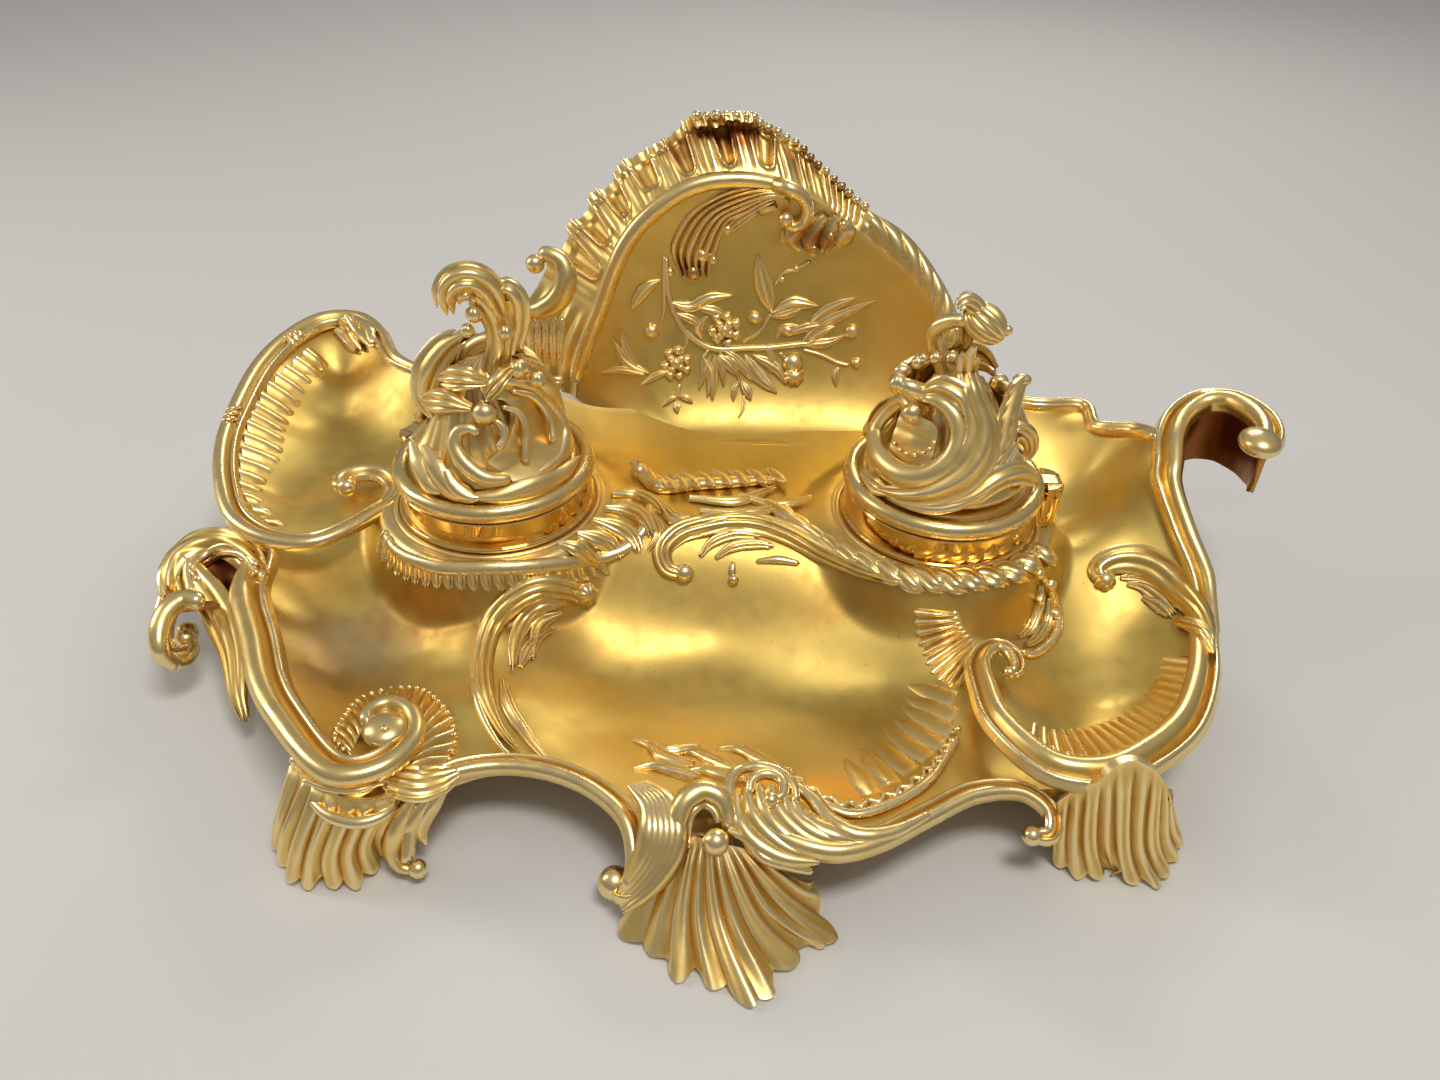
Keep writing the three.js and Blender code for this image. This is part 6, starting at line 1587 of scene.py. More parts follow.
# Shell feet: five separate castings like half-open scallops, whose flutes run out into a scalloped
# toe on the desk. A pad on a web behind each one is screwed up to a boss of the tray.
SEAT_GAP, BOSS_FLOOR, PAD_HEIGHT, SCREW_INSET = 0.3, 12.0, 5.5, 15.0
FEET = {
    "front_left_foot": ((-0.51, -0.84, 0.5), -100, 22, 8),
    "front_centre_foot": ((0.02, -0.99, 0.46), -78, 38, 10),
    "front_right_foot": ((0.57, -0.82, 0.52), -72, 22, 9),
    "rear_left_foot": ((-0.77, 0.33, 0.6), 165, 22, 7),
    "rear_right_foot": ((0.8, 0.16, 0.6), 20, 23, 7),
}
FOOT_CURVES = {
    "front_left_foot": (
        window(240, 740, 3.125),
        [(168, 62, 28), (208, 105, 28), (258, 145, 28), (326, 180, 28), (410, 188, 28), (478, 165, 28),
         (498, 125, 28)],
        [(140, 110, 26), (175, 150, 25), (230, 195, 25), (300, 232, 24), (400, 240, 24), (470, 215, 24),
         (490, 170, 24)],
        [(108, 238, 15), (122, 300, 13), (172, 345, 12), (245, 368, 12), (325, 362, 12), (400, 330, 12),
         (468, 270, 14)],
        [(103, 290, 4), (106, 330, 2), (132, 385, 1), (158, 450, 1), (200, 464, 1), (250, 452, 1),
         (330, 470, 1), (388, 450, 1), (432, 400, 1), (472, 365, 2), (480, 320, 6)]),
    "front_centre_foot": (
        window(560, 740, 2.941),
        [(340, 310, 22), (380, 285, 23), (420, 290, 24), (460, 315, 24), (500, 310, 24), (560, 325, 22)],
        [(240, 440, 12), (290, 480, 11), (400, 520, 11), (520, 540, 11), (620, 500, 12), (720, 420, 14)],
        [(160, 545, 2), (175, 580, 1), (215, 600, 1), (250, 632, 1), (300, 642, 1), (320, 690, 1),
         (345, 715, 1), (400, 700, 1), (440, 730, 1), (480, 745, 1), (530, 775, 1), (600, 800, 1),
         (620, 770, 1), (640, 710, 1), (690, 670, 1), (720, 640, 1), (740, 602, 1), (810, 620, 1),
         (820, 590, 1), (790, 530, 3), (760, 470, 6), (755, 410, 10)]),
    "front_right_foot": (
        window(890, 530, 2.368),
        [(395, 645, 24), (435, 618, 30), (500, 592, 37), (535, 560, 41), (575, 546, 42), (615, 560, 41),
         (648, 595, 36), (668, 640, 27)],
        [(383, 710, 14), (420, 735, 13), (500, 740, 13), (570, 748, 13), (640, 735, 13), (686, 690, 14)],
        [(383, 770, 4), (395, 795, 1), (440, 822, 1), (490, 830, 1), (530, 800, 1), (560, 835, 1),
         (610, 842, 1), (645, 846, 1), (664, 800, 1), (692, 750, 2), (684, 710, 6)])}
FOOT_PROFILE = np.array([(0.05, 1.0), (0.22, 0.9), (0.45, 0.55), (0.7, 0.24), (1.0, 0.1)])
FAN_HALF_TURN = math.radians(62)
# the feet are painted a paler gold than the tray, a painted highlight that lifts them where the lamps leave
# them dull
gilt_foot = gilt_material("gilt_foot", gold=(0.92, 0.66, 0.23), olive=(0.80, 0.55, 0.17), satin=0.40,
                          grain=0.6, hollow_color=(0.36, 0.17, 0.035), hollow_strength=0.8)


def foot_places(name):
    """Where a foot springs from, the way it points and where its screw stands."""
    focus_shares, heading = FEET[name][:2]
    focus, turn = np.array(focus_shares) * TRAY_SCALE, math.radians(heading)
    ahead = np.array([math.cos(turn), math.sin(turn), 0])
    return focus, turn, ahead, focus - ahead * SCREW_INSET


def back_foot(focus, turn, reach, flutes):
    """A plainer shell for the back corners, fanned out round the place that it springs from."""
    spread, out = np.meshgrid(np.linspace(-1, 1, flutes * 16 + 1), np.linspace(0, 1, 44))
    out_share = 0.05 + 0.95 * out
    high = np.interp(out_share, FOOT_PROFILE[:, 0], FOOT_PROFILE[:, 1])
    for _ in range(6):
        high[1:-1] = (high[:-2] + 2 * high[1:-1] + high[2:]) / 4
    lobe = abs(np.cos(spread * flutes * math.pi / 2))
    fine = np.cos(spread * flutes * math.pi * 3)
    angle = turn - spread * FAN_HALF_TURN * (0.9 + 0.1 * out_share)
    long = reach * (1 - 0.22 * spread ** 2 - 0.10 * (1 - lobe) * smooth_step(out_share, 0.6, 1))
    x = focus[0] + np.cos(angle) * long * out_share
    y = focus[1] + np.sin(angle) * long * out_share
    depth = 2.2 * np.clip(out_share * 1.6, 0, 1)
    z = focus[2] * high + depth * (lobe - 0.6) + 0.18 * fine * out_share
    z += 1.6 * smooth_step(out_share, 0.85, 1.0) * lobe
    z = np.maximum(z, 1.2 + 0.6 * lobe)
    under = np.where(out_share < 0.7, np.maximum(z - 4.2 - 1.2 * lobe, 0), 0)
    return closed_sheet(np.stack([x, y, z], -1), np.stack([x, y, under], -1))


SCREW_HOLE, PAD_RADIUS, PAD_EDGE = 2.35, 7.5, 0.4
for name, (_, _, reach, flutes) in FEET.items():
    focus, turn, ahead, screw = foot_places(name)
    foot = Casting()
    if name in FOOT_CURVES:
        view_of, *curves = FOOT_CURVES[name]
        curves = [raised(view_of, curve) for curve in curves]
        depth, fade = (1.3, 0.2) if flutes > 8 else (1.7, 0.6)
        foot.add(*shell_between(curves, flutes, screw - (0, 0, 30), depth=depth, scallop=0.08,
                                fade=fade, detail=18, fine=0.26))
    else:
        foot.add(*back_foot(focus, turn, reach, flutes))
    screw[2] = 0
    pad_top = BOSS_FLOOR - SEAT_GAP
    pad_foot, pad_shoulder = pad_top - PAD_HEIGHT, PAD_RADIUS - PAD_EDGE
    points, faces = turned([(SCREW_HOLE, pad_foot), (SCREW_HOLE, pad_top), (pad_shoulder, pad_top),
                            (PAD_RADIUS, pad_top - PAD_EDGE), (PAD_RADIUS, pad_foot + PAD_EDGE),
                            (pad_shoulder, pad_foot), (SCREW_HOLE, pad_foot)], 48)
    foot.add(points + screw, faces[:-2])
    web = spline([screw + ahead * 6, screw + ahead * (SCREW_INSET + 0.25 * reach),
                  screw + ahead * (SCREW_INSET + 0.5 * reach)], 1.5)
    web[:, 2] = pad_top - PAD_HEIGHT / 2
    foot.add(*moulding(web, rounded(16, 1.0), 11, PAD_HEIGHT - 0.2, end_round=0.2))
    pour(foot, name + "_shell", gilt_foot, slot="gilt_foot", nodes=[name])


# Foot screws and finial screws: dull steel cheese-head screws with a small round recess in the head.
def steel_material():
    material = plain_material("steel_screw", (0.42, 0.4, 0.37), 0.42)
    tree = material.node_tree
    shader = tree.nodes["Principled BSDF"]
    shader.inputs["Metallic"].default_value = 1.0
    place, noise = tree.nodes.new("ShaderNodeTexCoord"), tree.nodes.new("ShaderNodeTexNoise")
    noise.inputs["Scale"].default_value = 700.0
    ramp = tree.nodes.new("ShaderNodeValToRGB")
    ramp.color_ramp.elements[0].position, ramp.color_ramp.elements[1].position = 0.35, 0.7
    ramp.color_ramp.elements[0].color = (0.26, 0.21, 0.16, 1)
    ramp.color_ramp.elements[1].color = (0.5, 0.48, 0.45, 1)
    tree.links.new(place.outputs["Object"], noise.inputs["Vector"])
    tree.links.new(noise.outputs["Fac"], ramp.inputs[0])
    tree.links.new(ramp.outputs["Color"], shader.inputs["Base Color"])
    tree.links.new(noise.outputs["Fac"], shader.inputs["Roughness"])
    return material


steel_screw = steel_material()


def screw_piece(node, centre, head_foot, head_top, tip, body="stand"):
    casting = Casting()
    head = [
        (0.01, head_foot + 1.0), (0.8, head_foot + 1.0), (0.8, head_foot), (3.6, head_foot),
        (4.0, head_foot + 0.4), (4.0, head_top), (2.0, head_top), (2.0, tip - 0.6), (1.5, tip), (0.01, tip)]
    points, faces = turned(head, 32)
    casting.add(points + np.array([centre[0], centre[1], 0]), faces)
    return pour(casting, node + "_turned", steel_screw, body=body, slot="steel_screw", nodes=[node],
                smooth_angle=35)


for name in FEET:
    under = BOSS_FLOOR - SEAT_GAP - PAD_HEIGHT - SEAT_GAP
    screw_piece(name + "_screw", foot_places(name)[-1], under - 2.2, under, BOSS_FLOOR + 5)

# Bosses under the tray, cast with it and drilled for the foot screws.
bosses = Casting()
for name in FEET:
    screw = foot_places(name)[-1]
    top = float(tray_height(screw[0], screw[1])) - TRAY_WALL / 2
    profile = [
        (2.3, BOSS_FLOOR + 5.3), (2.3, BOSS_FLOOR), (6.1, BOSS_FLOOR), (6.5, BOSS_FLOOR + 0.4),
        (6.5, top), (0.01, top), (0.01, BOSS_FLOOR + 5.3), (2.3, BOSS_FLOOR + 5.3)]
    points, faces = turned(profile, 40)
    points = points + np.array([screw[0], screw[1], 0])
    upper_end = points[:, 2] > top - 0.01
    points[upper_end, 2] = tray_height(points[upper_end, 0], points[upper_end, 1]) - TRAY_WALL / 2
    bosses.add(points, faces[:-2])
pour(bosses, "foot_bosses", gilt_tray)


# Ink pots: turned and burnished brass cups that drop through the seats. The lid's tongue turns on
# a wire pin between the two ears of a round lug.
SEAT_TOP = SEAT_HEIGHT + SEAT_GAP
BARREL_RADIUS, BARREL_DEPTH, POT_WALL, BAND_RADIUS, BAND_HEIGHT = 27.5, 26.0, 1.6, 31.5, 10.5
LUG_RADIUS, TONGUE_WIDTH, TONGUE_RADIUS, PIN_RADIUS, HINGE_GAP = 7.0, 5.0, 2.6, 1.2, 0.35
LID_RADIUS, LID_HEIGHT, LID_SKIRT, LID_WALL, HINGE_REACH = 33.0, 6.4, 3.0, 2.0, 37.4
POT_FLOOR, BAND_TOP = SEAT_HEIGHT - BARREL_DEPTH, SEAT_TOP + BAND_HEIGHT
LID_FOOT = BAND_TOP + SEAT_GAP
LID_TOP = LID_FOOT + LID_HEIGHT
HINGE_HEIGHT = LID_FOOT + TONGUE_RADIUS / 2
LUG_TOP = HINGE_HEIGHT + TONGUE_RADIUS
LID_SWING = 3 * HINGE_GAP
POTS = {"left": (-POT_REACH, 150.0), "right": (POT_REACH, 0.0)}


def loose_object(name, points, faces):
    made = bpy.data.objects.new(name, outward_mesh(name, points, faces))
    bpy.context.scene.collection.objects.link(made)
    return made


def block_object(low, high):
    low, high = np.array(low, float), np.array(high, float)
    corners = np.array([(x, y, z) for x in (0, 1) for y in (0, 1) for z in (0, 1)]) * (high - low) + low
    sides = [(0, 1, 3, 2), (4, 6, 7, 5), (0, 4, 5, 1), (2, 3, 7, 6), (0, 2, 6, 4), (1, 5, 7, 3)]
    return loose_object("block", corners, sides)


def rod_object(radius, low, high, sides=64, lying=False):
    points, faces = turned([(0.001, low), (radius, low), (radius, high), (0.001, high)], sides)
    if lying:
        points = np.stack([points[:, 0] + HINGE_REACH, points[:, 2], points[:, 1] + HINGE_HEIGHT], -1)
    return loose_object("rod", points, faces)


def machined(base, steps):
    """Joins to a solid and cuts from it, in order, and returns the mesh."""
    for operation, tool in steps:
        change = base.modifiers.new("machining", "BOOLEAN")
        change.operation, change.solver, change.object = operation, "EXACT", tool
    bpy.context.view_layer.update()
    mesh = bpy.data.meshes.new_from_object(base.evaluated_get(bpy.context.evaluated_depsgraph_get()))
    for used in [base] + [tool for _, tool in steps]:
        old = used.data
        bpy.data.objects.remove(used)
        bpy.data.meshes.remove(old)
    return mesh


def place_mesh(mesh, angle, centre):
    turn = Matrix.Rotation(math.radians(angle), 4, "Z")
    move = Matrix.Translation(Vector((centre + FRAME_SHIFT[0], FRAME_SHIFT[1], 0)))
    mesh.transform(Matrix.Scale(0.001, 4) @ move @ turn)


burnished_pot = gilt_material("burnished_pot", gold=(0.90, 0.50, 0.09), olive=(0.84, 0.46, 0.08),
                              crest=(0.95, 0.66, 0.26), satin=0.13, grain=0.1, bump=0.05)
bore = BARREL_RADIUS - POT_WALL
for side, (centre, hinge_turn) in POTS.items():
    roll = [(BAND_RADIUS + 0.9 * math.sin(turn), SEAT_TOP + 0.9 - 0.9 * math.cos(turn))
            for turn in np.linspace(0, math.pi, 7)]
    profile = [(0.001, POT_FLOOR), (BARREL_RADIUS - 0.8, POT_FLOOR), (BARREL_RADIUS, POT_FLOOR + 0.8),
               (BARREL_RADIUS, SEAT_TOP), *roll, (BAND_RADIUS, BAND_TOP - 0.3), (BAND_RADIUS - 0.3, BAND_TOP),
               (bore, BAND_TOP), (bore, POT_FLOOR + POT_WALL), (0.001, POT_FLOOR + POT_WALL)]
    base = loose_object("pot", *turned(profile, 128))
    lug = loose_object("lug", *turned([(0.001, SEAT_TOP), (LUG_RADIUS, SEAT_TOP), (LUG_RADIUS, LUG_TOP - 0.4),
                                       (LUG_RADIUS - 0.4, LUG_TOP), (0.001, LUG_TOP)], 48))
    for vertex in lug.data.vertices:
        vertex.co.x += LID_RADIUS
    slot_half, slot_floor = TONGUE_WIDTH / 2 + HINGE_GAP, HINGE_HEIGHT - TONGUE_RADIUS - 2 * HINGE_GAP
    mesh = machined(base, [
        ("UNION", lug),
        ("DIFFERENCE", rod_object(LID_RADIUS + LID_SWING, BAND_TOP, LID_TOP + 5, 128)),
        ("DIFFERENCE", rod_object(bore, POT_FLOOR + POT_WALL, LID_TOP + 5, 128)),
        ("DIFFERENCE", block_object((BAND_RADIUS + HINGE_GAP, -slot_half, slot_floor),
                                    (LID_RADIUS + LUG_RADIUS + 5, slot_half, LUG_TOP + 5))),
        ("DIFFERENCE", rod_object(PIN_RADIUS + SEAT_GAP, -12, 12, 32, lying=True)),
    ])
    place_mesh(mesh, hinge_turn, centre)
    finish_piece(mesh, side + "_pot_turned", burnished_pot, slot="burnished_pot", nodes=[side + "_pot"],
                 smooth_angle=35)

# Ring nuts that clamp the pots from under the tray, plain turned brass with knurled rims.
turned_brass = gilt_material("turned_brass", gold=(0.60, 0.42, 0.13), olive=(0.50, 0.36, 0.12),
                             crest=(0.72, 0.55, 0.25), satin=0.42, grain=0.5)
NUT_RADIUS, NUT_HEIGHT = 33.5, 5.0
for side, (centre, hinge_turn) in POTS.items():
    nut = Casting()
    nut_top = SEAT_HEIGHT - TRAY_WALL - SEAT_GAP
    ring = [
        (BARREL_RADIUS + SEAT_GAP, nut_top - NUT_HEIGHT), (NUT_RADIUS - 0.5, nut_top - NUT_HEIGHT),
        (NUT_RADIUS, nut_top - NUT_HEIGHT + 0.5), (NUT_RADIUS, nut_top - 0.5),
        (NUT_RADIUS - 0.5, nut_top), (BARREL_RADIUS + SEAT_GAP, nut_top)]
    points, faces = turned(ring + ring[:1], 192)
    points = points.reshape(len(ring) + 1, -1, 3)
    points[2:4, ::2, :2] *= 0.985
    nut.add(points.reshape(-1, 3) + np.array([centre, 0, 0]), faces[:-2])
    pour(nut, side + "_pot_nut_turned", turned_brass, slot="brass_nut",
         nodes=[side + "_pot_nut"], smooth_angle=35)

# Liners: glazed porcelain cups that stand in the pots and lift out to be washed.
porcelain = plain_material("porcelain_liner", (0.80, 0.78, 0.72), 0.18)
tree = porcelain.node_tree
glaze_place, glaze = tree.nodes.new("ShaderNodeTexCoord"), tree.nodes.new("ShaderNodeTexNoise")
glaze.inputs["Scale"].default_value = 120.0
glaze_tone = tree.nodes.new("ShaderNodeValToRGB")
glaze_tone.color_ramp.elements[0].position, glaze_tone.color_ramp.elements[1].position = 0.35, 0.7
glaze_tone.color_ramp.elements[0].color = (0.74, 0.71, 0.63, 1)
glaze_tone.color_ramp.elements[1].color = (0.84, 0.82, 0.77, 1)
tree.links.new(glaze_place.outputs["Object"], glaze.inputs["Vector"])
tree.links.new(glaze.outputs["Fac"], glaze_tone.inputs[0])
tree.links.new(glaze_tone.outputs["Color"], tree.nodes["Principled BSDF"].inputs["Base Color"])
tree.nodes["Principled BSDF"].inputs["Coat Weight"].default_value = 0.6
LINER_WALL, LINER_RISE = 2.4, 8.0
for side, (centre, hinge_turn) in POTS.items():
    liner = Casting()
    outer, foot_height, top = bore - SEAT_GAP, POT_FLOOR + POT_WALL + SEAT_GAP, BAND_TOP - LINER_RISE / 2
    lip = [(outer - LINER_WALL / 2 + LINER_WALL / 2 * math.cos(turn), top - 1.2 + 1.2 * math.sin(turn))
           for turn in np.linspace(0, math.pi, 9)]
    hollow = [
        (outer - LINER_WALL, foot_height + LINER_WALL + 2),
        (outer - LINER_WALL - 0.6, foot_height + LINER_WALL + 0.6),
        (outer - LINER_WALL - 2, foot_height + LINER_WALL), (0.01, foot_height + LINER_WALL)]
    points, faces = turned([(0.01, foot_height), (outer - 0.8, foot_height), (outer, foot_height + 0.8),
                            *lip, *hollow])
    liner.add(points + np.array([centre, 0, 0]), faces)
    pour(liner, side + "_liner_cup", porcelain, slot="porcelain_liner",
         nodes=[side + "_liner"], smooth_angle=40)

# Lids: cast and turned, with a fat half-round rim, a step inside it and a shallow crown under the
# finial. The tongue of the hinge is one with the lid.
gilt_lid = gilt_material("gilt_lid", gold=(0.90, 0.64, 0.22), olive=(0.82, 0.57, 0.19), satin=0.30, grain=0.3)
for side, (centre, hinge_turn) in POTS.items():
    recess = BARREL_RADIUS - POT_WALL - LID_SKIRT
    roll = [(LID_RADIUS - 3.0 + 3.0 * math.cos(turn), LID_FOOT + 3.2 + 3.1 * math.sin(turn))
            for turn in np.linspace(-1.25, math.pi / 2 + 0.5, 16)]
    profile = [
        (0.001, LID_TOP - LID_WALL), (recess, LID_TOP - LID_WALL), (recess, LID_FOOT),
        (LID_RADIUS - LID_WALL - 0.4, LID_FOOT), *roll, (27.6, LID_TOP - 1.1), (27.0, LID_TOP - 0.9),
        (26.6, LID_TOP - 0.2), (25.8, LID_TOP), (13.5, LID_TOP + 1.2), (0.001, LID_TOP + 1.2)]
    base = loose_object("lid", *turned(profile, 128))
    mesh = machined(base, [
        ("UNION", block_object((LID_RADIUS - LID_WALL, -TONGUE_WIDTH / 2, HINGE_HEIGHT),
                               (HINGE_REACH, TONGUE_WIDTH / 2, HINGE_HEIGHT + TONGUE_RADIUS))),
        ("UNION", rod_object(TONGUE_RADIUS, -TONGUE_WIDTH / 2, TONGUE_WIDTH / 2, 32, lying=True)),
        ("DIFFERENCE", rod_object(PIN_RADIUS + SEAT_GAP, -12, 12, 32, lying=True)),
        ("DIFFERENCE", rod_object(2.3, LID_FOOT, LID_TOP + 5, 32)),
    ])
    place_mesh(mesh, hinge_turn, centre)
    finish_piece(mesh, side + "_lid_turned", gilt_lid, body=side + "_lid", slot="gilt_lid",
                 nodes=[side + "_lid"], smooth_angle=35)

# Hinge pins: plain brass wire, held by the ears of the lugs.
for side, (centre, hinge_turn) in POTS.items():
    base = rod_object(PIN_RADIUS, -5.7, 5.7, 32, lying=True)
    mesh = machined(base, [])
    place_mesh(mesh, hinge_turn, centre)
    finish_piece(mesh, side + "_hinge_pin_wire", turned_brass, slot="brass_pin", nodes=[side + "_hinge_pin"],
                 smooth_angle=35)

FINIAL_FOOT = LID_TOP + 1.2 + SEAT_GAP
for side, (centre, hinge_turn) in POTS.items():
    head_top = LID_TOP - LID_WALL - SEAT_GAP
    screw_piece(side + "_finial_screw", (centre, 0), head_top - 2.2, head_top, FINIAL_FOOT + 5,
                body=side + "_lid")

# Finials: openwork castings of scrolls and acanthus leaves that rise from a low mound on each lid
# to a curled head. Each is modelled over a bell-shaped core and chased to a matt and bright finish.
FINIAL_HEIGHT, BACK_SHRINK, PATH_STEP = 62.0, 0.97, 0.8
core_profile = np.array([(27.0, 0), (26.0, 3), (24.0, 8), (21.0, 15), (17.5, 22), (13.5, 30), (10.0, 38),
                         (8.0, 46), (6.0, 54), (2.5, 62)])


def core_radius(high):
    return np.interp(high - FINIAL_FOOT, core_profile[:, 1], core_profile[:, 0])


class FinialView:
    """Places of the picture on the bell of a finial, and in upright planes through it."""

    def __init__(self, centre, crop):
        turn, high = np.meshgrid(np.linspace(-math.pi, 0, 160), np.linspace(0, FINIAL_HEIGHT, 130))
        radius = core_radius(high + FINIAL_FOOT)
        points = np.stack([centre + radius * np.cos(turn), radius * np.sin(turn), high + FINIAL_FOOT], -1)
        normals = unit(np.stack([np.cos(turn), np.sin(turn), np.full_like(turn, 0.4)], -1))
        self.centre, self.crop = centre, crop
        self.carrier = Carrier(points.reshape(-1, 3), normals.reshape(-1, 3))

    def on_bell(self, places, proud=0.0):
        points, normals = self.carrier.at(self.crop(*places))
        return points + normals * np.asarray(proud, float).reshape(-1, 1)

    def in_plane(self, places, depths):
        return seen_upright(self.crop(*places), depths)

    def bell(self, places, proud=0.0):
        path = spline(self.on_bell(places, proud), PATH_STEP)
        outward = path - np.array([self.centre, 0, 0])
        outward[:, 2] = 0.35 * np.linalg.norm(outward[:, :2], axis=1)
        return path, unit(outward)

    def plane(self, places, depths):
        path = spline(self.in_plane(places, depths), PATH_STEP)
        return path, np.broadcast_to(np.array([0.0, -1.0, 0.35]), path.shape)


def mound(centre):
    """The low leafy mound under a finial."""
    turn, along = np.meshgrid(np.linspace(0, 2 * math.pi, 216, endpoint=False), np.linspace(0, 1, 26))
    profile = np.array([(0.02, 0), (25.6, 0), (26.3, 1.6), (25.2, 3.6), (21.5, 7), (17.5, 14), (13.0, 23),
                        (8.5, 31), (0.02, 35)])
    place = along * (len(profile) - 1)
    radius = np.interp(place, range(len(profile)), profile[:, 0])
    high = np.interp(place, range(len(profile)), profile[:, 1])
    swirl = np.cos(turn * 16 + high * 0.22)
    radius = radius * (1 + 0.03 * swirl * smooth_step(place, 2.5, 4.0))
    rings = np.stack([centre + radius * np.cos(turn), radius * np.sin(turn), high + FINIAL_FOOT], -1)
    return closed_rings(rings)


def on_mound(front, centre):
    """A mound with the shapes of the front, and with the same shapes half a turn round at the back."""
    points, middle = np.concatenate(front.points), np.array([centre, 0, FINIAL_FOOT])
    shape = Casting()
    shape.add(*mound(centre))
    shape.add(points, front.faces)
    shape.add((points - middle) * (-BACK_SHRINK, -BACK_SHRINK, 1) + middle, front.faces)
    return shape


gilt_finial = gilt_material("gilt_finial", gold=(0.92, 0.67, 0.25), olive=(0.80, 0.57, 0.19),
                            satin=0.37, grain=0.5, hollow_color=(0.22, 0.085, 0.018), hollow_strength=0.95)

# the right finial: a ring scroll with a beaded plate, a broad stalk that climbs round it to a
# gadrooned bud, and leaves that curl out to the right
view = FinialView(POT_REACH, window(820, 290, 4.838))
front = Casting()
ring_path, ring_up = view.bell(((470, 600), (430, 540), (345, 580), (290, 690), (315, 820), (420, 900),
                                (550, 885), (640, 800), (672, 690), (640, 590), (560, 530), (500, 520)),
                               1.5)
front.add(*moulding(ring_path, rounded(14, 0.5), 6.4, 5.5, up=ring_up,
                    taper=(0.8, 1, 1.15, 1.3, 1.15, 0.9, 0.5)))
front.add(*ball(ring_path[0] + ring_up[0], (3.4, 3.0, 3.4)))
front.add(*leaf(*view.bell(((360, 700), (450, 740), (560, 770))), (7.5, 8.5, 7.5), ridges=3,
                ridge=0.3, camber=0.6, scallop=0.02))
for point in view.on_bell(((368, 745), (392, 775), (425, 792), (462, 797), (502, 788), (535, 768),
                           (556, 738)), 1.0):
    front.add(*ball(point, (0.85, 0.85, 0.85), rings=6))
stalk = view.bell(((300, 960), (420, 985), (560, 965), (680, 890), (750, 780), (765, 660), (735, 540),
                   (715, 430)), (1.6, 1.8, 2, 2.6, 3, 3, 2.6, 2.4))[0]
neck = view.plane(((712, 400), (722, 330), (755, 262), (790, 210)), -9)[0]
stalk = spline(np.concatenate([stalk[::6], neck[::6]]), PATH_STEP)
stalk_up = unit(stalk - np.array([POT_REACH, 0, 0]) - np.array([0, 0, 1]) * stalk[:, 2:] * 0.85)
front.add(*leaf(stalk, stalk_up, (1.2, 3.2, 4.8, 6.2, 6.4, 5.4, 4.0, 3.2, 3.6), ridges=2, ridge=1.0,
                camber=3.0, scallop=0.05, thickness=3.2, detail=14))
for shift, lift in ((0, 0.0), (26, 0.5), (52, 0.9)):
    strand, strand_up = view.bell(
        ((330, 990 + shift), (450, 1022 + shift * 0.8), (590, 1015 + shift * 0.7), (720, 960 + shift * 0.9),
         (840, 860 + shift), (930, 740 + shift * 0.6)), 1.2 + lift)
    front.add(*moulding(strand, rounded(10, 0.6), 3.4, 3.2, up=strand_up, taper=(0.5, 1, 1.1, 1, 0.6)))
right_leaf, right_up = view.bell(((790, 860), (850, 740), (870, 620), (880, 520), (915, 450)),
                                 (2, 2.6, 3, 4, 6))
front.add(*leaf(right_leaf, right_up, (1.5, 4.4, 5.4, 5.2, 3.4), ridges=3, ridge=1.0, camber=1.8, slant=0.8,
                scallop=0.14, thickness=2.2))
front.add(*ball(right_leaf[-1], (3.0, 2.4, 2.0)))
curl = view.plane(((930, 780), (945, 680), (1000, 700), (1022, 770), (990, 830)), (-9, -8, -7, -6, -6))
front.add(*leaf(*curl, (1.4, 2.8, 3.2, 2.6, 1.4), ridges=3, ridge=0.5, camber=0.8, thickness=1.5))
low_leaf = view.bell(((600, 1030), (720, 985), (830, 905), (920, 880), (985, 930), (985, 1000)),
                     (2, 2.4, 3, 3.4, 3.4, 2.5))
front.add(*leaf(*low_leaf, (1.5, 3.4, 4.2, 4.0, 3.2, 1.6), ridges=2, ridge=0.9, camber=1.8, scallop=0.12,
                thickness=2.2))
left_leaf = view.bell(((225, 890), (290, 950), (370, 985)), 2.0)
front.add(*leaf(*left_leaf, (1.5, 3.2, 1.2), ridges=3, ridge=0.6, camber=0.8, thickness=1.4))
ring_crest = view.bell(((520, 500), (600, 470), (680, 520), (700, 610)), 2.6)
front.add(*leaf(*ring_crest, (1.6, 3.8, 4.2, 2.2), ridges=2, ridge=0.9, camber=1.8, scallop=0.12,
                thickness=2.0))
right_finial = on_mound(front, POT_REACH)
bud_axis = unit(np.array([0.35, -0.2, -0.25]))
bud_side = unit(np.cross(bud_axis, (0, 0, 1)))
bud_turn = np.stack([bud_side, np.cross(bud_axis, bud_side), bud_axis], -1)
bud_spot, bud_tip = view.in_plane(((800, 160), (905, 195)), -7)
right_finial.add(*ball(bud_spot, (5.6, 5.6, 7.2), turn=bud_turn, lobes=12, lobe_depth=0.12, rings=16))
right_finial.add(*ball(bud_tip, (1.7, 1.7, 1.7)))
cap = view.plane(((790, 120), (750, 80), (700, 60), (665, 90)), (-8, -8, -9, -10))
right_finial.add(*leaf(*cap, (2.2, 3.0, 3.2, 1.6), ridges=3, ridge=0.5, camber=1.0, thickness=2))
rear, rear_up = view.plane(((640, 470), (600, 360), (560, 260), (560, 190), (640, 150), (720, 150)),
                           (2, 4, 5, 4, 1, -4))
right_finial.add(*moulding(rear, rounded(12, 0.7), 6.0, 5.0, up=rear_up, taper=(1.2, 1.1, 0.9, 0.8, 0.7)))
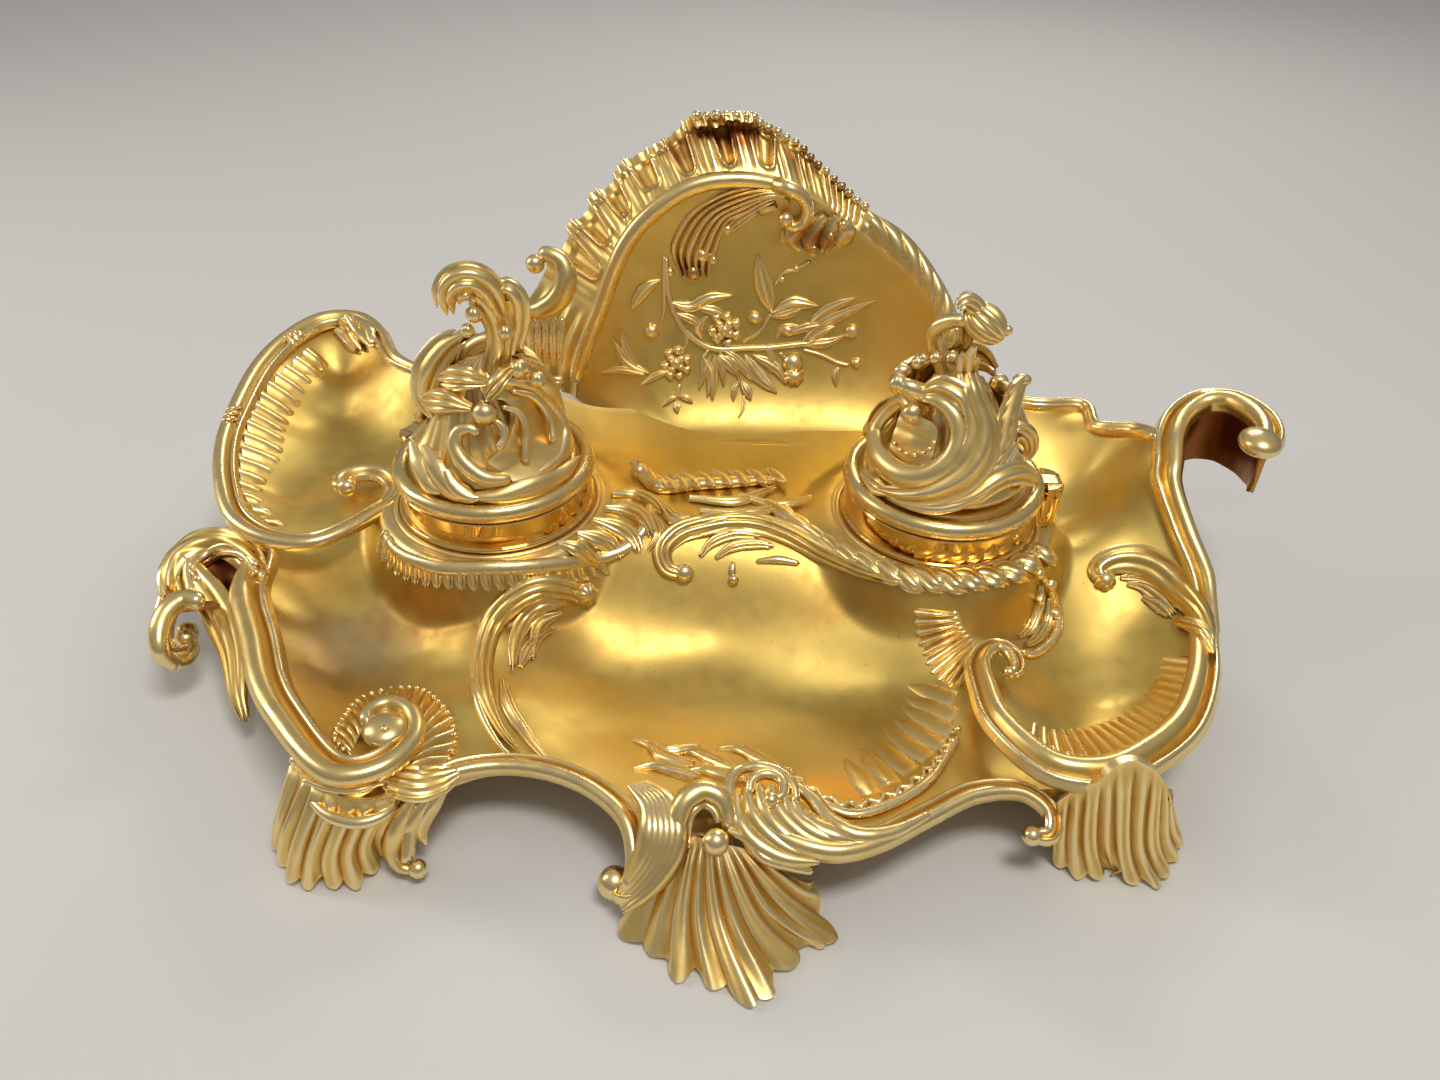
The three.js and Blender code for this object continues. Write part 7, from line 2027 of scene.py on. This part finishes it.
for place, depth, radius in (((378, 452), -6, 3.2), ((470, 352), -2, 2.0), ((500, 330), -2, 1.6),
                             ((560, 330), -2, 2.2), ((640, 330), -2, 2.4)):
    right_finial.add(*ball(view.in_plane([place], depth)[0], (radius, radius, radius), lobes=5,
                           lobe_depth=0.15))
stem, stem_up = view.plane(((378, 452), (430, 470), (500, 500), (560, 540)), (-6, -8, -8, -8))
right_finial.add(*moulding(stem, rounded(12, 0.7), 5.5, 5.0, up=stem_up, taper=(0.8, 1, 1.1, 1)))
pour(right_finial, "right_finial_casting", gilt_finial, body="right_lid", slot="gilt_finial",
     nodes=["right_finial"])

# the left finial: a broad scroll shell with two rounded slits round its eye, fluted leaves at the
# left, and a head leaf that curls over to the left
view = FinialView(-POT_REACH, window(380, 260, 4.6875))
front = Casting()
scroll_inner = view.bell(((500, 660), (560, 650), (610, 700), (610, 790), (570, 870), (500, 940)), 1.5)[0]
scroll_outer, outer_up = view.bell(
    ((470, 590), (560, 565), (690, 600), (800, 700), (850, 800), (830, 910), (750, 985), (620, 1030)), 1.0)
front.add(*fan(scroll_inner, scroll_outer, even_steps(outer_up, count=41), 5, depth=0.5, scallop=0.0,
               lift=(0.8, 0.5, 1.6), thickness=2.2, detail=8, rows=22))
front.add(*moulding(scroll_outer, rounded(12, 0.6), 3.4, 3.6, up=outer_up,
                    taper=(0.9, 1.2, 1.2, 1.1, 1, 0.8)))
front.add(*ball(view.on_bell([(495, 715)], 2.6)[0], (3.8, 3.4, 3.8)))
for places in (
        ((560, 680), (640, 720), (672, 800), (668, 880), (672, 950)),
        ((530, 740), (570, 780), (575, 840), (545, 885)), ((600, 610), (700, 650), (770, 750), (790, 860))):
    slit, slit_up = view.bell(places, 2.2)
    front.add(*moulding(slit, rounded(10, 0.6), 2.6, 2.6, up=slit_up, taper=(0.6, 1, 1, 1.2)))
hook, hook_up = view.bell(
    ((610, 1020), (500, 1015), (410, 945), (368, 860), (385, 800), (440, 785), (470, 820)), 2.2)
front.add(*moulding(hook, rounded(14, 0.6), 4.8, 4.8, up=hook_up, taper=(0.6, 1.1, 1.2, 1.1, 0.9, 0.6)))
for start, end, width in (
        ((500, 570), (320, 560), 3.8), ((440, 690), (245, 660), 3.8), ((600, 500), (500, 640), 2.6)):
    middle = ((start[0] + end[0]) / 2, (start[1] + end[1]) / 2 - 14)
    front.add(*leaf(*view.bell((start, middle, end), (2.4, 3.4, 2.4)),
                    (1.2, width, width * 1.2, 2.4), ridges=3, ridge=1.1, camber=2.2, scallop=0.16,
                    thickness=2.4, tip=0.6))
right_lobe = view.bell(((620, 470), (700, 540), (770, 620), (840, 700)), (2.6, 3, 3, 2))
front.add(*leaf(*right_lobe, (2.0, 4.2, 4.2, 1.8), ridges=2, ridge=1.0, camber=2.0, slant=0.7, scallop=0.14,
                thickness=2.2))
for places, width in ((((230, 870), (290, 1000), (370, 1130), (420, 1165)), 3.4),
                      (((180, 860), (200, 960), (260, 1060), (300, 1140)), 3.0),
                      (((330, 980), (360, 1060), (420, 1120), (470, 1140)), 2.6)):
    front.add(*leaf(*view.bell(places, 1.8), (1.4, width * 1.15, width * 1.15, 1.4), ridges=1,
                    ridge=0.3, camber=2.0, thickness=2.0))
for shift in (0, 30):
    strand = view.bell(((430, 1150 - shift), (560, 1130 - shift), (700, 1080 - shift), (850, 1040 - shift),
                        (930, 960 - shift)), 1.6)
    front.add(*leaf(*strand, (1.2, 3.0, 3.4, 2.8, 1.2), ridges=1, ridge=0.3, camber=1.8, thickness=2.0))
left_finial = on_mound(front, -POT_REACH)
HEAD_LEAVES = (
    (((250, 730), (205, 640), (225, 520), (300, 410), (400, 345)), (-8, -7, -6, -4, -3),
     (1.8, 4.0, 5.0, 4.4, 2.4), dict(ridge=1.0, camber=2.2, thickness=2.6)),
    (((560, 640), (540, 520), (560, 400), (550, 300), (500, 210), (430, 140)), (-6, -5, -4, -4, -5, -6),
     (5.2, 4.6, 4.0, 4.0, 4.4, 4.0), dict(ridge=1.1, camber=3.0, thickness=5)),
    (((560, 260), (500, 150), (430, 100), (355, 110), (315, 170), (335, 240)), (-4, -6, -8, -9, -9, -8),
     (3.6, 5.2, 5.8, 5.6, 4.8, 2.8), dict(ridges=3, ridge=1.3, camber=2.8, slant=0.5,
                                          scallop=0.14, thickness=3.8)),
    (((560, 300), (550, 190), (595, 135), (645, 190), (650, 300), (625, 440)), (-2, -3, -4, -4, -4, -5),
     (2.0, 3.0, 3.6, 3.4, 3.0, 2.0), dict(ridge=0.9, camber=1.8, thickness=2.8)))
for places, depths, widths, form in HEAD_LEAVES:
    left_finial.add(*leaf(*view.plane(places, depths), widths, **{"ridges": 2, **form}))
rear, rear_up = view.plane(((420, 620), (400, 520), (440, 420), (520, 380), (600, 400)), (4, 5, 5, 4, 2))
left_finial.add(*moulding(rear, rounded(12, 0.7), 7.0, 6.0, up=rear_up, taper=(1, 1.1, 1, 0.9, 0.8)))
for place, radius in (
        ((410, 330), 2.2), ((650, 510), 3.0), ((740, 560), 2.6), ((440, 255), 2.6), ((590, 340), 2.4)):
    left_finial.add(*ball(view.in_plane([place], -9)[0], (radius, radius, radius), lobes=6, lobe_depth=0.15))
pour(left_finial, "left_finial_casting", gilt_finial, body="left_lid", slot="gilt_finial",
     nodes=["left_finial"])
